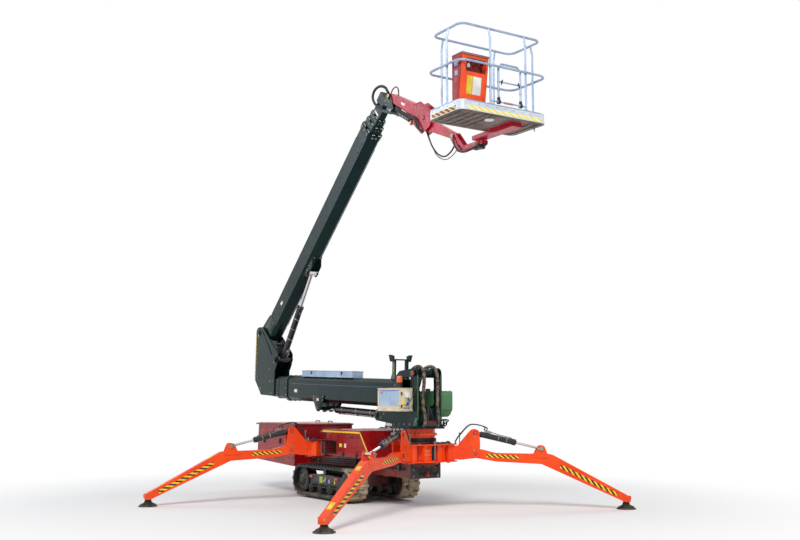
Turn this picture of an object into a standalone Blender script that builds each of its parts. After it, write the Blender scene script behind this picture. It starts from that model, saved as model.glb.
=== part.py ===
"""Spider lift on tracks, with four outriggers and two telescopic booms.

The model is built in metres, +Z up, about the slewing axis, with +X towards
the end that carries the turret and +Y towards the far side. The last lines
move the whole machine so that its origin is under the centre of its box.
Run with: blender --background --python part.py
"""

import math

import bmesh
import bpy
from mathutils import Matrix, Vector

# Clearances between pieces that touch, turn or slide
SEAT_GAP = 0.0003
PIN_GAP = 0.0004
SLIDE_GAP = 0.0005
SIDE_GAP = 0.0006
ROUND_STEPS = 16
CORNER_STEPS = 3

# Undercarriage
TRACK_LENGTH = 1.945
TRACK_HEIGHT = 0.500
TRACK_WIDTH = 0.300
TRACK_OUTER_Y = 0.615
TRACK_CENTRE_X = -1.860
TRACK_LIFT = 0.030
BELT_THICKNESS = 0.028
LUG_HEIGHT = 0.026
LUG_LENGTH = 0.050
LUG_COUNT = 44
ROLLER_RADIUS = 0.070
ROLLER_COUNT = 4
TRACK_BEAM_HEIGHT = 0.130

# Chassis
FRAME_HALF_WIDTH = 0.250
FRAME_BOTTOM = 0.440
FRAME_TOP = 0.690
FRAME_REAR_X = -3.500
BEAM_HALF_LENGTH = 0.450
BEAM_BOTTOM = 0.670
BEAM_TOP = 0.925
BEAM_PLATE = 0.014

# Hood over the engine
HOOD_REAR = -2.040
HOOD_FRONT = -0.300
HOOD_BOTTOM = 0.705
HOOD_TOP = 1.100
HOOD_HALF = 0.630
HOOD_WALL = 0.012

# Rear cover and valves
REAR_HALF = 0.550
VALVE_X = -2.480

# Outriggers: each row is name, pivot x, pivot y, azimuth of the leg in degrees
FRONT_PIVOT_X = 0.264
FRONT_PIVOT_Y = 0.330
REAR_PIVOT_X = -1.930
REAR_PIVOT_Y = 0.694
OUTRIGGERS = (
    ("front_near", FRONT_PIVOT_X, -FRONT_PIVOT_Y, -56.6),
    ("front_far", FRONT_PIVOT_X, FRONT_PIVOT_Y, 56.6),
    ("rear_near", REAR_PIVOT_X, -REAR_PIVOT_Y, -100.0),
    ("rear_far", REAR_PIVOT_X, REAR_PIVOT_Y, 148.0),
)
BRACKET_REACH = 0.390
BRACKET_HEAD_RADIUS = 0.105
CHEEK_INSIDE = 0.114
CHEEK_PLATE = 0.016
LEG_PIN_Z = 0.791
RAM_PIN_Z = 1.076
LEG_PIN_RADIUS = 0.020
LEG_KNEE = 0.951
LEG_KNEE_RISE = 0.063
LEG_REACH = 2.158
LEG_WIDTH = 0.110
LEG_DEPTH = 0.130
PAD_RADIUS = 0.135
PAD_HEIGHT = 0.075
LEG_RAM_RADIUS = 0.042
LEG_ROD_RADIUS = 0.019
LEG_ROD_START = 0.440

# Slewing ring and turret
SLEW_RADIUS = 0.235
SLEW_BOTTOM = 0.950
GEAR_HEIGHT = 0.060
SLEW_TOP = 1.140
TURRET_PLATE = 0.030
TURRET_CHEEK = 0.020
CHEEK_FRONT = 0.275
TURRET_DECK = 1.430
LUFF_PIVOT = (0.185, 1.933)
LUFF_PIN_RADIUS = 0.035
LIFT_BASE_PIN = (-0.840, 1.330)
LIFT_ROD_PIN = (-2.770, 1.410)
LIFT_RAM_RADIUS = 0.055
LIFT_ROD_RADIUS = 0.030
# Boxes beside the cheeks: first and last x, lowest and highest z
BOX_DEPTH = 0.220
CONTROL_X = (-0.445, 0.155)
CONTROL_Z = (1.390, 1.720)
TANK_X = (-0.360, 0.235)
TANK_Z = (1.305, 1.675)
TANK_SLOPE = (0.080, 0.115)
BEACON_X = -0.060
BEACON_TOP = 1.900

# Lower boom, along its own axis from the luffing pin
LOWER_RISE = 1.87
LOWER_DROP = 0.304
LOWER_HEIGHT = 0.420
LOWER_WIDTH = 0.350
LOWER_CHAMFER = 0.055
LOWER_START = 0.420
LOWER_END = 4.200
LOWER_STEPS = (4.600, 4.850)
TUBE_WALL = 0.007
TUBE_SPACE = 0.013
MOUTH_LENGTH = 0.090
COLLAR_RISE = 0.012
REST_X = 0.690
REST_TOP = 0.206
INNER_COLLAR = 0.004

# Elbow and upper boom
ELBOW_PIN = (-5.220, 2.820)
ELBOW_PIN_RADIUS = 0.032
ELBOW_LIP = 0.295
UPPER_RAM_PIN = (-4.500, 2.290)
UPPER_ANGLE = 41.0
UPPER_DROP = 0.205
UPPER_HEIGHT = 0.400
UPPER_WIDTH = 0.240
UPPER_CHAMFER = 0.055
UPPER_START = 0.200
UPPER_ENDS = (4.960, 5.090, 5.220, 5.580)
UPPER_ROD_PIN = (2.000, -0.475)
UPPER_RAM_RADIUS = 0.057
UPPER_ROD_RADIUS = 0.034
UPPER_BARREL = 1.150
UPPER_ROD_START = 0.780
UPPER_EAR_Y = 0.085
UPPER_EAR = 0.014

# Jib and basket
JIB_PIN = (-0.720, 6.300)
JIB_PIN_RADIUS = 0.022
JIB_MIDDLE = (0.030, 5.860)
JIB_WIDTH = 0.130
JIB_RAM_PIN = (-0.650, 6.051)
JIB_ROD_PIN = (-0.080, 5.725)
JIB_RAM_RADIUS = 0.032
JIB_ROD_RADIUS = 0.016
BASKET_PIN = (0.950, 5.290)
BASKET_PIN_RADIUS = 0.020
SWIVEL_X = 1.560
SWIVEL_RADIUS = 0.075
MOUNT_DROP = 0.190
BASKET_CENTRE = (2.139, -0.330)
BASKET_LENGTH = 1.420
BASKET_DEPTH = 0.740
BASKET_FLOOR_Z = 5.160
PAN_HEIGHT = 0.130
PAN_WALL = 0.004
RAIL_RADIUS = 0.016
RAIL_TOP_Z = 6.300
RAIL_MID_Z = 5.800
RAIL_BULGE = 0.024
RAIL_INSET = 0.020
TOP_INSET = 0.052
KINK_Z = 6.180
RAIL_CORNER = 0.100
BULGE_CORNER = 0.130
# Posts of the basket: each row is the side they stand on and their place along it
POSTS = (
    ("front", -0.550), ("front", 0.030), ("near", 2.190),
    ("back", -0.820), ("back", 0.050), ("far", 2.240),
)
GATE_FOOT = (2.476, -0.230)
GATE_FOOT_Z = 5.345
GATE_PIN_RADIUS = 0.010
GATE_WIDTH = 0.360
GATE_HEIGHT = 0.510
CONSOLE_Y = (-0.985, -0.570)
CONSOLE_TOP = 5.900

# Paint and bare finishes: base colour, metallic, roughness
FINISHES = {
    "orange_red": ((0.78, 0.07, 0.02), 0.0, 0.35),
    "dark_red": ((0.42, 0.02, 0.02), 0.0, 0.40),
    "crimson": ((0.55, 0.03, 0.06), 0.0, 0.35),
    "boom_green": ((0.02, 0.06, 0.05), 0.0, 0.30),
    "body_green": ((0.08, 0.20, 0.11), 0.0, 0.40),
    "cream": ((0.75, 0.70, 0.60), 0.0, 0.45),
    "black": ((0.02, 0.02, 0.02), 0.0, 0.45),
    "rubber": ((0.03, 0.03, 0.035), 0.0, 0.85),
    "chrome": ((0.80, 0.80, 0.80), 1.0, 0.12),
    "steel": ((0.45, 0.45, 0.45), 1.0, 0.40),
    "aluminium": ((0.72, 0.74, 0.76), 1.0, 0.35),
    "amber": ((0.90, 0.35, 0.02), 0.0, 0.20),
    "console": ((0.85, 0.14, 0.01), 0.0, 0.35),
}


def clear_scene():
    """Remove every object, so that the machine starts in an empty scene."""
    for item in list(bpy.data.objects):
        bpy.data.objects.remove(item, do_unlink=True)


def new_collection(name):
    """Make a collection in the scene."""
    made = bpy.data.collections.new(name)
    bpy.context.scene.collection.children.link(made)
    return made


clear_scene()
MACHINE = new_collection("spider_lift")
TOOLS = new_collection("cutters")


def finish_material(name):
    """Return the paint or bare finish of this name, made on its first use."""
    found = bpy.data.materials.get(name)
    if found:
        return found
    colour, metallic, roughness = FINISHES[name]
    made = bpy.data.materials.new(name)
    made.use_nodes = True
    shader = made.node_tree.nodes["Principled BSDF"]
    shader.inputs["Base Color"].default_value = (*colour, 1.0)
    shader.inputs["Metallic"].default_value = metallic
    shader.inputs["Roughness"].default_value = roughness
    return made


def to_object(mesh_maker, name="shape"):
    """Turn a bmesh into an object among the cutters."""
    mesh = bpy.data.meshes.new(name)
    bmesh.ops.recalc_face_normals(mesh_maker, faces=mesh_maker.faces)
    mesh_maker.to_mesh(mesh)
    mesh_maker.free()
    made = bpy.data.objects.new(name, mesh)
    TOOLS.objects.link(made)
    return made


def block(size, centre):
    """A box of this size about this centre."""
    shape = bmesh.new()
    bmesh.ops.create_cube(shape, size=1.0)
    bmesh.ops.scale(shape, vec=size, verts=shape.verts)
    bmesh.ops.translate(shape, vec=centre, verts=shape.verts)
    return to_object(shape)


def turned(axis):
    """The rotation that takes +Z to this axis."""
    return Vector((0, 0, 1)).rotation_difference(Vector(axis)).to_matrix().to_4x4()


def rod(radius, start, end, radius_end=None, steps=ROUND_STEPS):
    """A round bar, or a cone, from one point to another."""
    start, end = Vector(start), Vector(end)
    shape = bmesh.new()
    bmesh.ops.create_cone(shape, cap_ends=True, segments=steps, radius1=radius,
                          radius2=radius if radius_end is None else radius_end,
                          depth=(end - start).length)
    bmesh.ops.transform(shape, matrix=turned(end - start), verts=shape.verts)
    bmesh.ops.translate(shape, vec=(start + end) / 2, verts=shape.verts)
    return to_object(shape)


def pin(radius, x, z, half, y=0.0, steps=ROUND_STEPS):
    """A round bar across the machine, along Y."""
    return rod(radius, (x, y - half, z), (x, y + half, z), steps=steps)


def bore_radius(radius):
    """A faceted bore's corner radius, which clears a pin of this radius."""
    return (radius + PIN_GAP) / math.cos(math.pi / ROUND_STEPS)


def from_curve(curve):
    """Turn a curve into a closed mesh object among the cutters."""
    holder = bpy.data.objects.new("curve", curve)
    TOOLS.objects.link(holder)
    bpy.context.view_layer.update()
    mesh = bpy.data.meshes.new_from_object(
        holder.evaluated_get(bpy.context.evaluated_depsgraph_get()))
    bpy.data.objects.remove(holder, do_unlink=True)
    shape = bmesh.new()
    shape.from_mesh(mesh)
    bmesh.ops.remove_doubles(shape, verts=shape.verts, dist=1e-6)
    return to_object(shape)


def outline(points, thickness, centre=0.0, plane="XZ"):
    """A flat plate: an outline in a plane, given thickness about centre."""
    curve = bpy.data.curves.new("outline", "CURVE")
    curve.dimensions = "2D"
    curve.fill_mode = "BOTH"
    curve.extrude = thickness / 2
    line = curve.splines.new("POLY")
    line.points.add(len(points) - 1)
    for spot, (across, up) in zip(line.points, points):
        spot.co = (across, up, 0.0, 1.0)
    line.use_cyclic_u = True
    made = from_curve(curve)
    if plane == "XZ":
        made.data.transform(Matrix.Rotation(math.radians(90), 4, "X"))
        made.data.transform(Matrix.Translation((0, centre, 0)))
    elif plane == "YZ":
        turn = Matrix(((0, 0, 1, 0), (1, 0, 0, 0), (0, 1, 0, 0), (0, 0, 0, 1)))
        made.data.transform(turn)
        made.data.transform(Matrix.Translation((centre, 0, 0)))
    else:
        made.data.transform(Matrix.Translation((0, 0, centre)))
    return made


def rounded(corners, steps=CORNER_STEPS):
    """Points of an outline whose corners are (x, z, radius)."""
    points = []
    count = len(corners)
    for index, (x, z, radius) in enumerate(corners):
        here = Vector((x, z))
        if radius <= 0:
            points.append((x, z))
            continue
        back = (Vector(corners[index - 1][:2]) - here).normalized()
        ahead = (Vector(corners[(index + 1) % count][:2]) - here).normalized()
        half = back.angle(ahead) / 2
        reach = radius / math.tan(half)
        middle = here + (back + ahead).normalized() * (radius / math.sin(half))
        first = here + back * reach - middle
        turn = math.pi - 2 * half
        sign = 1.0 if back.x * ahead.y - back.y * ahead.x < 0 else -1.0
        for step in range(steps + 1):
            angle = sign * turn * step / steps
            spun = Vector((first.x * math.cos(angle) - first.y * math.sin(angle),
                           first.x * math.sin(angle) + first.y * math.cos(angle)))
            points.append(tuple(middle + spun))
    return points


def pipe(points, radius, closed=False):
    """A bent tube or wire through these points, with filled ends."""
    curve = bpy.data.curves.new("pipe", "CURVE")
    curve.dimensions = "3D"
    curve.bevel_depth = radius
    curve.bevel_resolution = 1
    curve.use_fill_caps = True
    line = curve.splines.new("POLY")
    line.points.add(len(points) - 1)
    for spot, place in zip(line.points, points):
        spot.co = (*place, 1.0)
    line.use_cyclic_u = closed
    return from_curve(curve)


def loop_points(half_x, half_y, radius, z, steps=4):
    """Points round a rectangle with rounded corners, at one height."""
    points = []
    corners = ((1, 1, 0), (-1, 1, 90), (-1, -1, 180), (1, -1, 270))
    for side_x, side_y, start in corners:
        for step in range(steps + 1):
            angle = math.radians(start + 90 * step / steps)
            points.append((side_x * (half_x - radius) + radius * math.cos(angle),
                           side_y * (half_y - radius) + radius * math.sin(angle), z))
    return points


def combine(base, others, operation):
    """Join or cut a shape with others, and leave one closed mesh."""
    for other in others:
        change = base.modifiers.new(operation.lower(), "BOOLEAN")
        change.operation = operation
        change.object = other
    bpy.context.view_layer.update()
    mesh = bpy.data.meshes.new_from_object(
        base.evaluated_get(bpy.context.evaluated_depsgraph_get()))
    base.modifiers.clear()
    base.data = mesh
    for other in others:
        bpy.data.objects.remove(other, do_unlink=True)
    return base


def fuse(base, *others):
    """Weld shapes into one solid."""
    return combine(base, others, "UNION")


def cut(base, *others):
    """Cut shapes out of a solid."""
    return combine(base, others, "DIFFERENCE")


def clear_bore(base, radius, x, z, half=0.5):
    """Cut a bore for a turning pin through a solid."""
    return cut(base, pin(bore_radius(radius), x, z, half))


def section(half_width, half_height, chamfer):
    """The eight corners of a box tube with cut corners, in Y and Z."""
    w, h, c = half_width, half_height, chamfer
    return ((w, h - c), (w - c, h), (-w + c, h), (-w, h - c),
            (-w, -h + c), (-w + c, -h), (w - c, -h), (w, -h + c))


def grown(size, distance):
    """A section's sizes after all its sides move out by a distance."""
    width, height, chamfer = size
    return (width + distance, height + distance,
            max(0.002, chamfer + distance * (2 - math.sqrt(2))))


def ring_solid(rings):
    """A tube that is skinned over rings of corners and closes on itself."""
    shape = bmesh.new()
    rows = [[shape.verts.new((x, y, z)) for y, z in corners] for x, corners in rings]
    for index, row in enumerate(rows):
        following = rows[(index + 1) % len(rows)]
        for step in range(len(row)):
            after = (step + 1) % len(row)
            shape.faces.new((row[step], row[after], following[after], following[step]))
    return to_object(shape)


def boom_tube(start, end, size, drop, inner=True, tail=True):
    """One telescopic tube with a mouth that carries the next tube.

    size holds the half width, half height and chamfer of the outer wall.
    """
    def corners(distance):
        return [(y, z - drop) for y, z in section(*grown(size, distance))]

    wall = -TUBE_WALL
    lip = -TUBE_WALL - TUBE_SPACE + SLIDE_GAP
    rings = []
    if tail:
        rings.append((start, corners(TUBE_SPACE - SLIDE_GAP)))
        rings.append((start + MOUTH_LENGTH, corners(TUBE_SPACE - SLIDE_GAP)))
        rings.append((start + MOUTH_LENGTH, corners(0.0)))
    else:
        rings.append((start, corners(0.0)))
    if inner:
        collar = INNER_COLLAR if tail else COLLAR_RISE
        rings.append((end - MOUTH_LENGTH, corners(0.0)))
        rings.append((end - MOUTH_LENGTH, corners(collar)))
        rings.append((end, corners(collar)))
    else:
        rings.append((end, corners(0.0)))
    if inner:
        rings.append((end, corners(lip)))
        rings.append((end - MOUTH_LENGTH, corners(lip)))
        rings.append((end - MOUTH_LENGTH, corners(wall)))
    else:
        rings.append((end, corners(wall)))
    rings.append((start, corners(wall)))
    return ring_solid(rings)


def nested(size):
    """The section of the tube that slides inside this one."""
    return grown(size, -TUBE_WALL - TUBE_SPACE)


class Rig:
    """The bodies of the machine, each an empty on its joint's axis."""

    def __init__(self):
        self.bodies = {}

    def add(self, name, parent, place, turn=(0.0, 0.0, 0.0)):
        """Add a body whose empty is at a place in its parent's frame."""
        empty = bpy.data.objects.new("body_" + name, None)
        empty.empty_display_size = 0.2
        MACHINE.objects.link(empty)
        if parent:
            empty.parent = self.bodies[parent]
        empty.location = place
        empty.rotation_euler = [math.radians(angle) for angle in turn]
        self.bodies[name] = empty
        return empty


RIG = Rig()


def keep(shape, name, body, finish, origin=(0.0, 0.0, 0.0), smooth=35.0):
    """Name a finished solid, paint it and hang it on its body.

    origin is the body's own place in the frame that the shape was drawn in.
    """
    shape.data.transform(Matrix.Translation(-Vector(origin)))
    triangulated = bmesh.new()
    triangulated.from_mesh(shape.data)
    bmesh.ops.dissolve_limit(triangulated, angle_limit=math.radians(0.05), use_dissolve_boundaries=False,
                             verts=triangulated.verts, edges=triangulated.edges)
    bmesh.ops.triangulate(triangulated, faces=triangulated.faces)
    bmesh.ops.recalc_face_normals(triangulated, faces=triangulated.faces)
    triangulated.to_mesh(shape.data)
    triangulated.free()
    shape.data.shade_smooth()
    shape.data.set_sharp_from_angle(angle=math.radians(smooth))
    shape.name = name
    shape.data.name = name
    shape.data.materials.clear()
    shape.data.materials.append(finish_material(finish))
    TOOLS.objects.unlink(shape)
    MACHINE.objects.link(shape)
    shape.parent = RIG.bodies[body]
    return shape


def build_bodies():
    """Set out the empties of every body, from the chassis to the basket."""
    RIG.add("chassis", None, (0, 0, 0))
    for name, x, y, azimuth in OUTRIGGERS:
        RIG.add("bracket_" + name, "chassis", (x, y, 0), (0, 0, azimuth))
        RIG.add("leg_" + name, "bracket_" + name, (BRACKET_REACH, 0, LEG_PIN_Z))
        knee = math.degrees(math.atan2(RAM_PIN_Z - LEG_PIN_Z - LEG_KNEE_RISE, LEG_KNEE))
        RIG.add("barrel_" + name, "bracket_" + name, (BRACKET_REACH, 0, RAM_PIN_Z), (0, knee, 0))
        RIG.add("rod_" + name, "barrel_" + name, (0, 0, 0))
    RIG.add("turret", "chassis", (0, 0, 0))
    luff_x, luff_z = LUFF_PIVOT
    RIG.add("lower_boom", "turret", (luff_x, 0, luff_z), (0, -LOWER_RISE, 180))
    RIG.add("lower_mid", "lower_boom", (0, 0, 0))
    RIG.add("lower_inner", "lower_mid", (0, 0, 0))


def in_lower(x, z):
    """A machine place in the lower boom's frame."""
    along = Vector((-math.cos(math.radians(LOWER_RISE)), math.sin(math.radians(LOWER_RISE))))
    upward = Vector((math.sin(math.radians(LOWER_RISE)), math.cos(math.radians(LOWER_RISE))))
    offset = Vector((x - LUFF_PIVOT[0], z - LUFF_PIVOT[1]))
    return offset.dot(along), offset.dot(upward)


def build_track(side, name):
    """One rubber track: a closed belt with its lugs, round its wheels."""
    low = TRACK_LIFT
    end_radius = (TRACK_HEIGHT - 2 * LUG_HEIGHT) / 2
    straight = TRACK_LENGTH - 2 * LUG_HEIGHT - 2 * end_radius
    middle_z = low + LUG_HEIGHT + end_radius
    centre_y = side * (TRACK_OUTER_Y - TRACK_WIDTH / 2)

    def belt_point(distance, lift):
        """A point of the oval at a distance round it, lifted off its face."""
        arc = math.pi * end_radius
        distance %= 2 * (straight + arc)
        if distance < straight:
            return TRACK_CENTRE_X - straight / 2 + distance, middle_z - end_radius - lift
        distance -= straight
        if distance < arc:
            angle = -math.pi / 2 + distance / end_radius
            return (TRACK_CENTRE_X + straight / 2 + (end_radius + lift) * math.cos(angle),
                    middle_z + (end_radius + lift) * math.sin(angle))
        distance -= arc
        if distance < straight:
            return TRACK_CENTRE_X + straight / 2 - distance, middle_z + end_radius + lift
        angle = math.pi / 2 + (distance - straight) / end_radius
        return (TRACK_CENTRE_X - straight / 2 + (end_radius + lift) * math.cos(angle),
                middle_z + (end_radius + lift) * math.sin(angle))

    length = 2 * (straight + math.pi * end_radius)
    pitch = length / LUG_COUNT
    shape = bmesh.new()
    rows = []
    for index in range(LUG_COUNT):
        start = index * pitch
        for offset, lift in ((0.0, 0.0), (0.2, LUG_HEIGHT), (0.2 + LUG_LENGTH / pitch * 0.55, LUG_HEIGHT),
                             (0.4 + LUG_LENGTH / pitch * 0.55, 0.0)):
            outer = belt_point(start + offset * pitch, lift)
            inner = belt_point(start + offset * pitch, -BELT_THICKNESS)
            rows.append([shape.verts.new((outer[0], centre_y - TRACK_WIDTH / 2, outer[1])),
                         shape.verts.new((outer[0], centre_y + TRACK_WIDTH / 2, outer[1])),
                         shape.verts.new((inner[0], centre_y + TRACK_WIDTH / 2, inner[1])),
                         shape.verts.new((inner[0], centre_y - TRACK_WIDTH / 2, inner[1]))])
    for index, row in enumerate(rows):
        after = rows[(index + 1) % len(rows)]
        for step in range(4):
            shape.faces.new((row[step], row[(step + 1) % 4], after[(step + 1) % 4], after[step]))
    keep(to_object(shape), "track_" + name, "chassis", "rubber")
    return track_frame(centre_y, middle_z, end_radius, straight)


def track_frame(centre_y, middle_z, end_radius, straight):
    """The beam, the end wheels and the rollers inside one track."""
    inner = end_radius - BELT_THICKNESS - SEAT_GAP
    wheel = inner * math.cos(math.pi / 40)
    half = TRACK_WIDTH / 2 - 0.070
    beam = block((straight - 0.10, 0.110, TRACK_BEAM_HEIGHT), (TRACK_CENTRE_X, centre_y, middle_z))
    ends = [rod(wheel, (TRACK_CENTRE_X + side * straight / 2, centre_y - half, middle_z),
                (TRACK_CENTRE_X + side * straight / 2, centre_y + half, middle_z), steps=40)
            for side in (-1, 1)]
    rollers = []
    floor_z = middle_z - end_radius + BELT_THICKNESS + SEAT_GAP
    for index in range(ROLLER_COUNT):
        x = TRACK_CENTRE_X + straight * (index / (ROLLER_COUNT - 1) - 0.5) * 0.62
        rollers.append(rod(ROLLER_RADIUS, (x, centre_y - half, floor_z + ROLLER_RADIUS),
                           (x, centre_y + half, floor_z + ROLLER_RADIUS), steps=16))
    carrier_z = middle_z + end_radius - BELT_THICKNESS - SEAT_GAP - 0.045
    rollers.append(rod(0.045, (TRACK_CENTRE_X, centre_y - half, carrier_z),
                       (TRACK_CENTRE_X, centre_y + half, carrier_z), steps=16))
    post = block((0.05, 0.05, carrier_z - middle_z), (TRACK_CENTRE_X, centre_y, (carrier_z + middle_z) / 2))
    return fuse(beam, *ends, *rollers, post)


def build_chassis(track_frames):
    """The welded frame between the tracks, with its cross members."""
    middle_z = TRACK_LIFT + TRACK_HEIGHT / 2
    inner_y = TRACK_OUTER_Y - TRACK_WIDTH / 2
    frame = block((0.16 - FRAME_REAR_X, 2 * FRAME_HALF_WIDTH, FRAME_TOP - FRAME_BOTTOM),
                  ((0.16 + FRAME_REAR_X) / 2, 0, (FRAME_TOP + FRAME_BOTTOM) / 2))
    crosses = [block((0.16, 2 * inner_y, 0.12), (TRACK_CENTRE_X + offset, 0, middle_z + 0.02))
               for offset in (-0.45, 0.45)]
    webs = [block((0.16, 0.30, FRAME_BOTTOM - middle_z + 0.10), (TRACK_CENTRE_X + offset, 0,
                                                             (FRAME_BOTTOM + middle_z) / 2))
            for offset in (-0.45, 0.45)]
    pedestal = rod(SLEW_RADIUS + 0.03, (0, 0, FRAME_TOP - 0.10), (0, 0, SLEW_BOTTOM - SEAT_GAP), steps=32)
    frame = fuse(frame, *crosses, *webs, pedestal, *track_frames)
    keep(frame, "chassis_frame", "chassis", "dark_red")


def swing_pin(x, y):
    """The upright pin that a bracket swings on."""
    return rod(0.024, (x, y, BEAM_BOTTOM - 0.02), (x, y, BEAM_TOP + 0.03))


def build_beams():
    """The cross beams that carry the four swing brackets."""
    front = block((0.02, 0.02, 0.02), (FRONT_PIVOT_X, 0, BEAM_TOP - 0.01))
    inside = BEAM_TOP - BEAM_BOTTOM - 2 * BEAM_PLATE
    middle_z = (BEAM_TOP + BEAM_BOTTOM) / 2
    for z in (BEAM_BOTTOM + BEAM_PLATE / 2, BEAM_TOP - BEAM_PLATE / 2):
        plate = outline(rounded(((FRONT_PIVOT_X - 0.17, -BEAM_HALF_LENGTH, 0.03),
                                 (FRONT_PIVOT_X + 0.11, -BEAM_HALF_LENGTH, 0.09),
                                 (FRONT_PIVOT_X + 0.17, 0.0, 0.0),
                                 (FRONT_PIVOT_X + 0.11, BEAM_HALF_LENGTH, 0.09),
                                 (FRONT_PIVOT_X - 0.17, BEAM_HALF_LENGTH, 0.03))),
                        BEAM_PLATE, z, "XY")
        front = fuse(front, plate)
    core = block((0.24, 2 * (FRONT_PIVOT_Y - 0.15), inside + 0.01), (FRONT_PIVOT_X - 0.02, 0, middle_z))
    pins = [swing_pin(FRONT_PIVOT_X, side * FRONT_PIVOT_Y) for side in (-1, 1)]
    front = fuse(front, core, *pins)
    clear = rod(SLEW_RADIUS + 0.03 + SEAT_GAP * 2, (0, 0, 0.5), (0, 0, 1.2), steps=32)
    frame_clear = block((0.5, 2 * FRAME_HALF_WIDTH + 2 * SEAT_GAP, 0.1),
                        (0.16 + SEAT_GAP - 0.25, 0, FRAME_TOP - 0.05 + SEAT_GAP))
    front = cut(front, clear, frame_clear)
    keep(front, "front_beam", "chassis", "orange_red")

    rear = block((0.20, 2 * (REAR_PIVOT_Y - 0.16), BEAM_TOP - FRAME_TOP - SEAT_GAP),
                 (REAR_PIVOT_X, 0, (BEAM_TOP + FRAME_TOP + SEAT_GAP) / 2))
    for side in (-1, 1):
        for z in (BEAM_BOTTOM + BEAM_PLATE / 2, BEAM_TOP - BEAM_PLATE / 2):
            plate = block((0.20, 0.38, BEAM_PLATE), (REAR_PIVOT_X, side * (REAR_PIVOT_Y - 0.09), z))
            rear = fuse(rear, plate)
        rear = fuse(rear, swing_pin(REAR_PIVOT_X, side * REAR_PIVOT_Y),
                    block((0.20, 0.10, BEAM_TOP - BEAM_BOTTOM - 0.01),
                          (REAR_PIVOT_X, side * (REAR_PIVOT_Y - 0.20), middle_z)))
    rear = cut(rear, block((0.5, 2 * FRAME_HALF_WIDTH + 2 * SEAT_GAP, 0.2),
                           (REAR_PIVOT_X, 0, FRAME_TOP - 0.1 + SEAT_GAP)))
    keep(rear, "rear_beam", "chassis", "dark_red")


def build_covers():
    """The body panels over the engine and the hydraulics."""
    profile = rounded(((HOOD_REAR, HOOD_BOTTOM, 0.0), (HOOD_FRONT, HOOD_BOTTOM, 0.03),
                       (HOOD_FRONT - 0.32, HOOD_TOP, 0.06), (HOOD_REAR + 0.27, HOOD_TOP, 0.05),
                       (HOOD_REAR, HOOD_TOP - 0.12, 0.05)))
    inside = rounded(((HOOD_REAR - 0.05, HOOD_BOTTOM - 0.05, 0.0), (HOOD_FRONT - 0.01, HOOD_BOTTOM - 0.05, 0.0),
                      (HOOD_FRONT - 0.33, HOOD_TOP - HOOD_WALL, 0.05),
                      (HOOD_REAR - 0.05, HOOD_TOP - HOOD_WALL, 0.0)))
    hood = cut(outline(profile, 2 * HOOD_HALF), outline(inside, 2 * (HOOD_HALF - HOOD_WALL)),
               block((0.45, 3.0, 0.21), (-1.555, 0, 0.835)),
               block((0.50, 3.0, 0.40), (HOOD_REAR + 0.14, 0, 0.85)))
    bulkheads = [block((0.010, 2 * HOOD_HALF - HOOD_WALL, HOOD_TOP - 0.006 - FRAME_TOP - SEAT_GAP),
                       (x, 0, (HOOD_TOP - 0.006 + FRAME_TOP + SEAT_GAP) / 2)) for x in (-1.705, -0.66)]
    keep(fuse(hood, *bulkheads), "hood", "chassis", "dark_red")
    engine = block((0.95, 0.46, 0.32), (-1.20, 0, FRAME_TOP + 0.16 + SEAT_GAP))
    keep(engine, "engine_block", "chassis", "black")
    profile = rounded(((-4.36, 0.52, 0.04), (-2.90, 0.46, 0.04), (-2.90, 1.16, 0.05), (-4.30, 1.16, 0.05)))
    lip = outline(rounded(((-4.385, 1.125, 0.0), (-2.88, 1.125, 0.0), (-2.88, 1.152, 0.01), (-4.385, 1.152, 0.01))),
                  2 * REAR_HALF + 0.030)
    rear = cut(fuse(outline(profile, 2 * REAR_HALF), lip),
               block((0.80, 2 * FRAME_HALF_WIDTH + 2 * SEAT_GAP, FRAME_TOP - FRAME_BOTTOM + 2 * SEAT_GAP),
                     (-3.11, 0, (FRAME_TOP + FRAME_BOTTOM) / 2)))
    keep(rear, "rear_cover", "chassis", "dark_red")
    build_valves()


def build_valves():
    """The hydraulic valve block between the covers, with its spools and its dump valve."""
    floor_z = FRAME_TOP + SEAT_GAP
    body = block((0.46, 0.30, 0.13), (VALVE_X, 0, floor_z + 0.065))
    spools = [rod(0.024, (VALVE_X + offset, -0.06, floor_z + 0.12), (VALVE_X + offset, -0.06, floor_z + 0.27), steps=10)
              for offset in (-0.17, -0.085, 0.0, 0.085, 0.17)]
    bank = block((0.42, 0.07, 0.05), (VALVE_X, -0.06, floor_z + 0.20))
    dump = rod(0.045, (VALVE_X + 0.05, 0.08, floor_z + 0.12), (VALVE_X + 0.05, 0.08, floor_z + 0.34), steps=12)
    keep(fuse(body, bank, dump, *spools), "valve_block", "chassis", "steel")


def build_outrigger(name):
    """One bracket, leg, pad, barrel and rod, drawn outwards along X."""
    build_bracket(name)
    build_leg(name)
    build_leg_ram(name)


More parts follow.
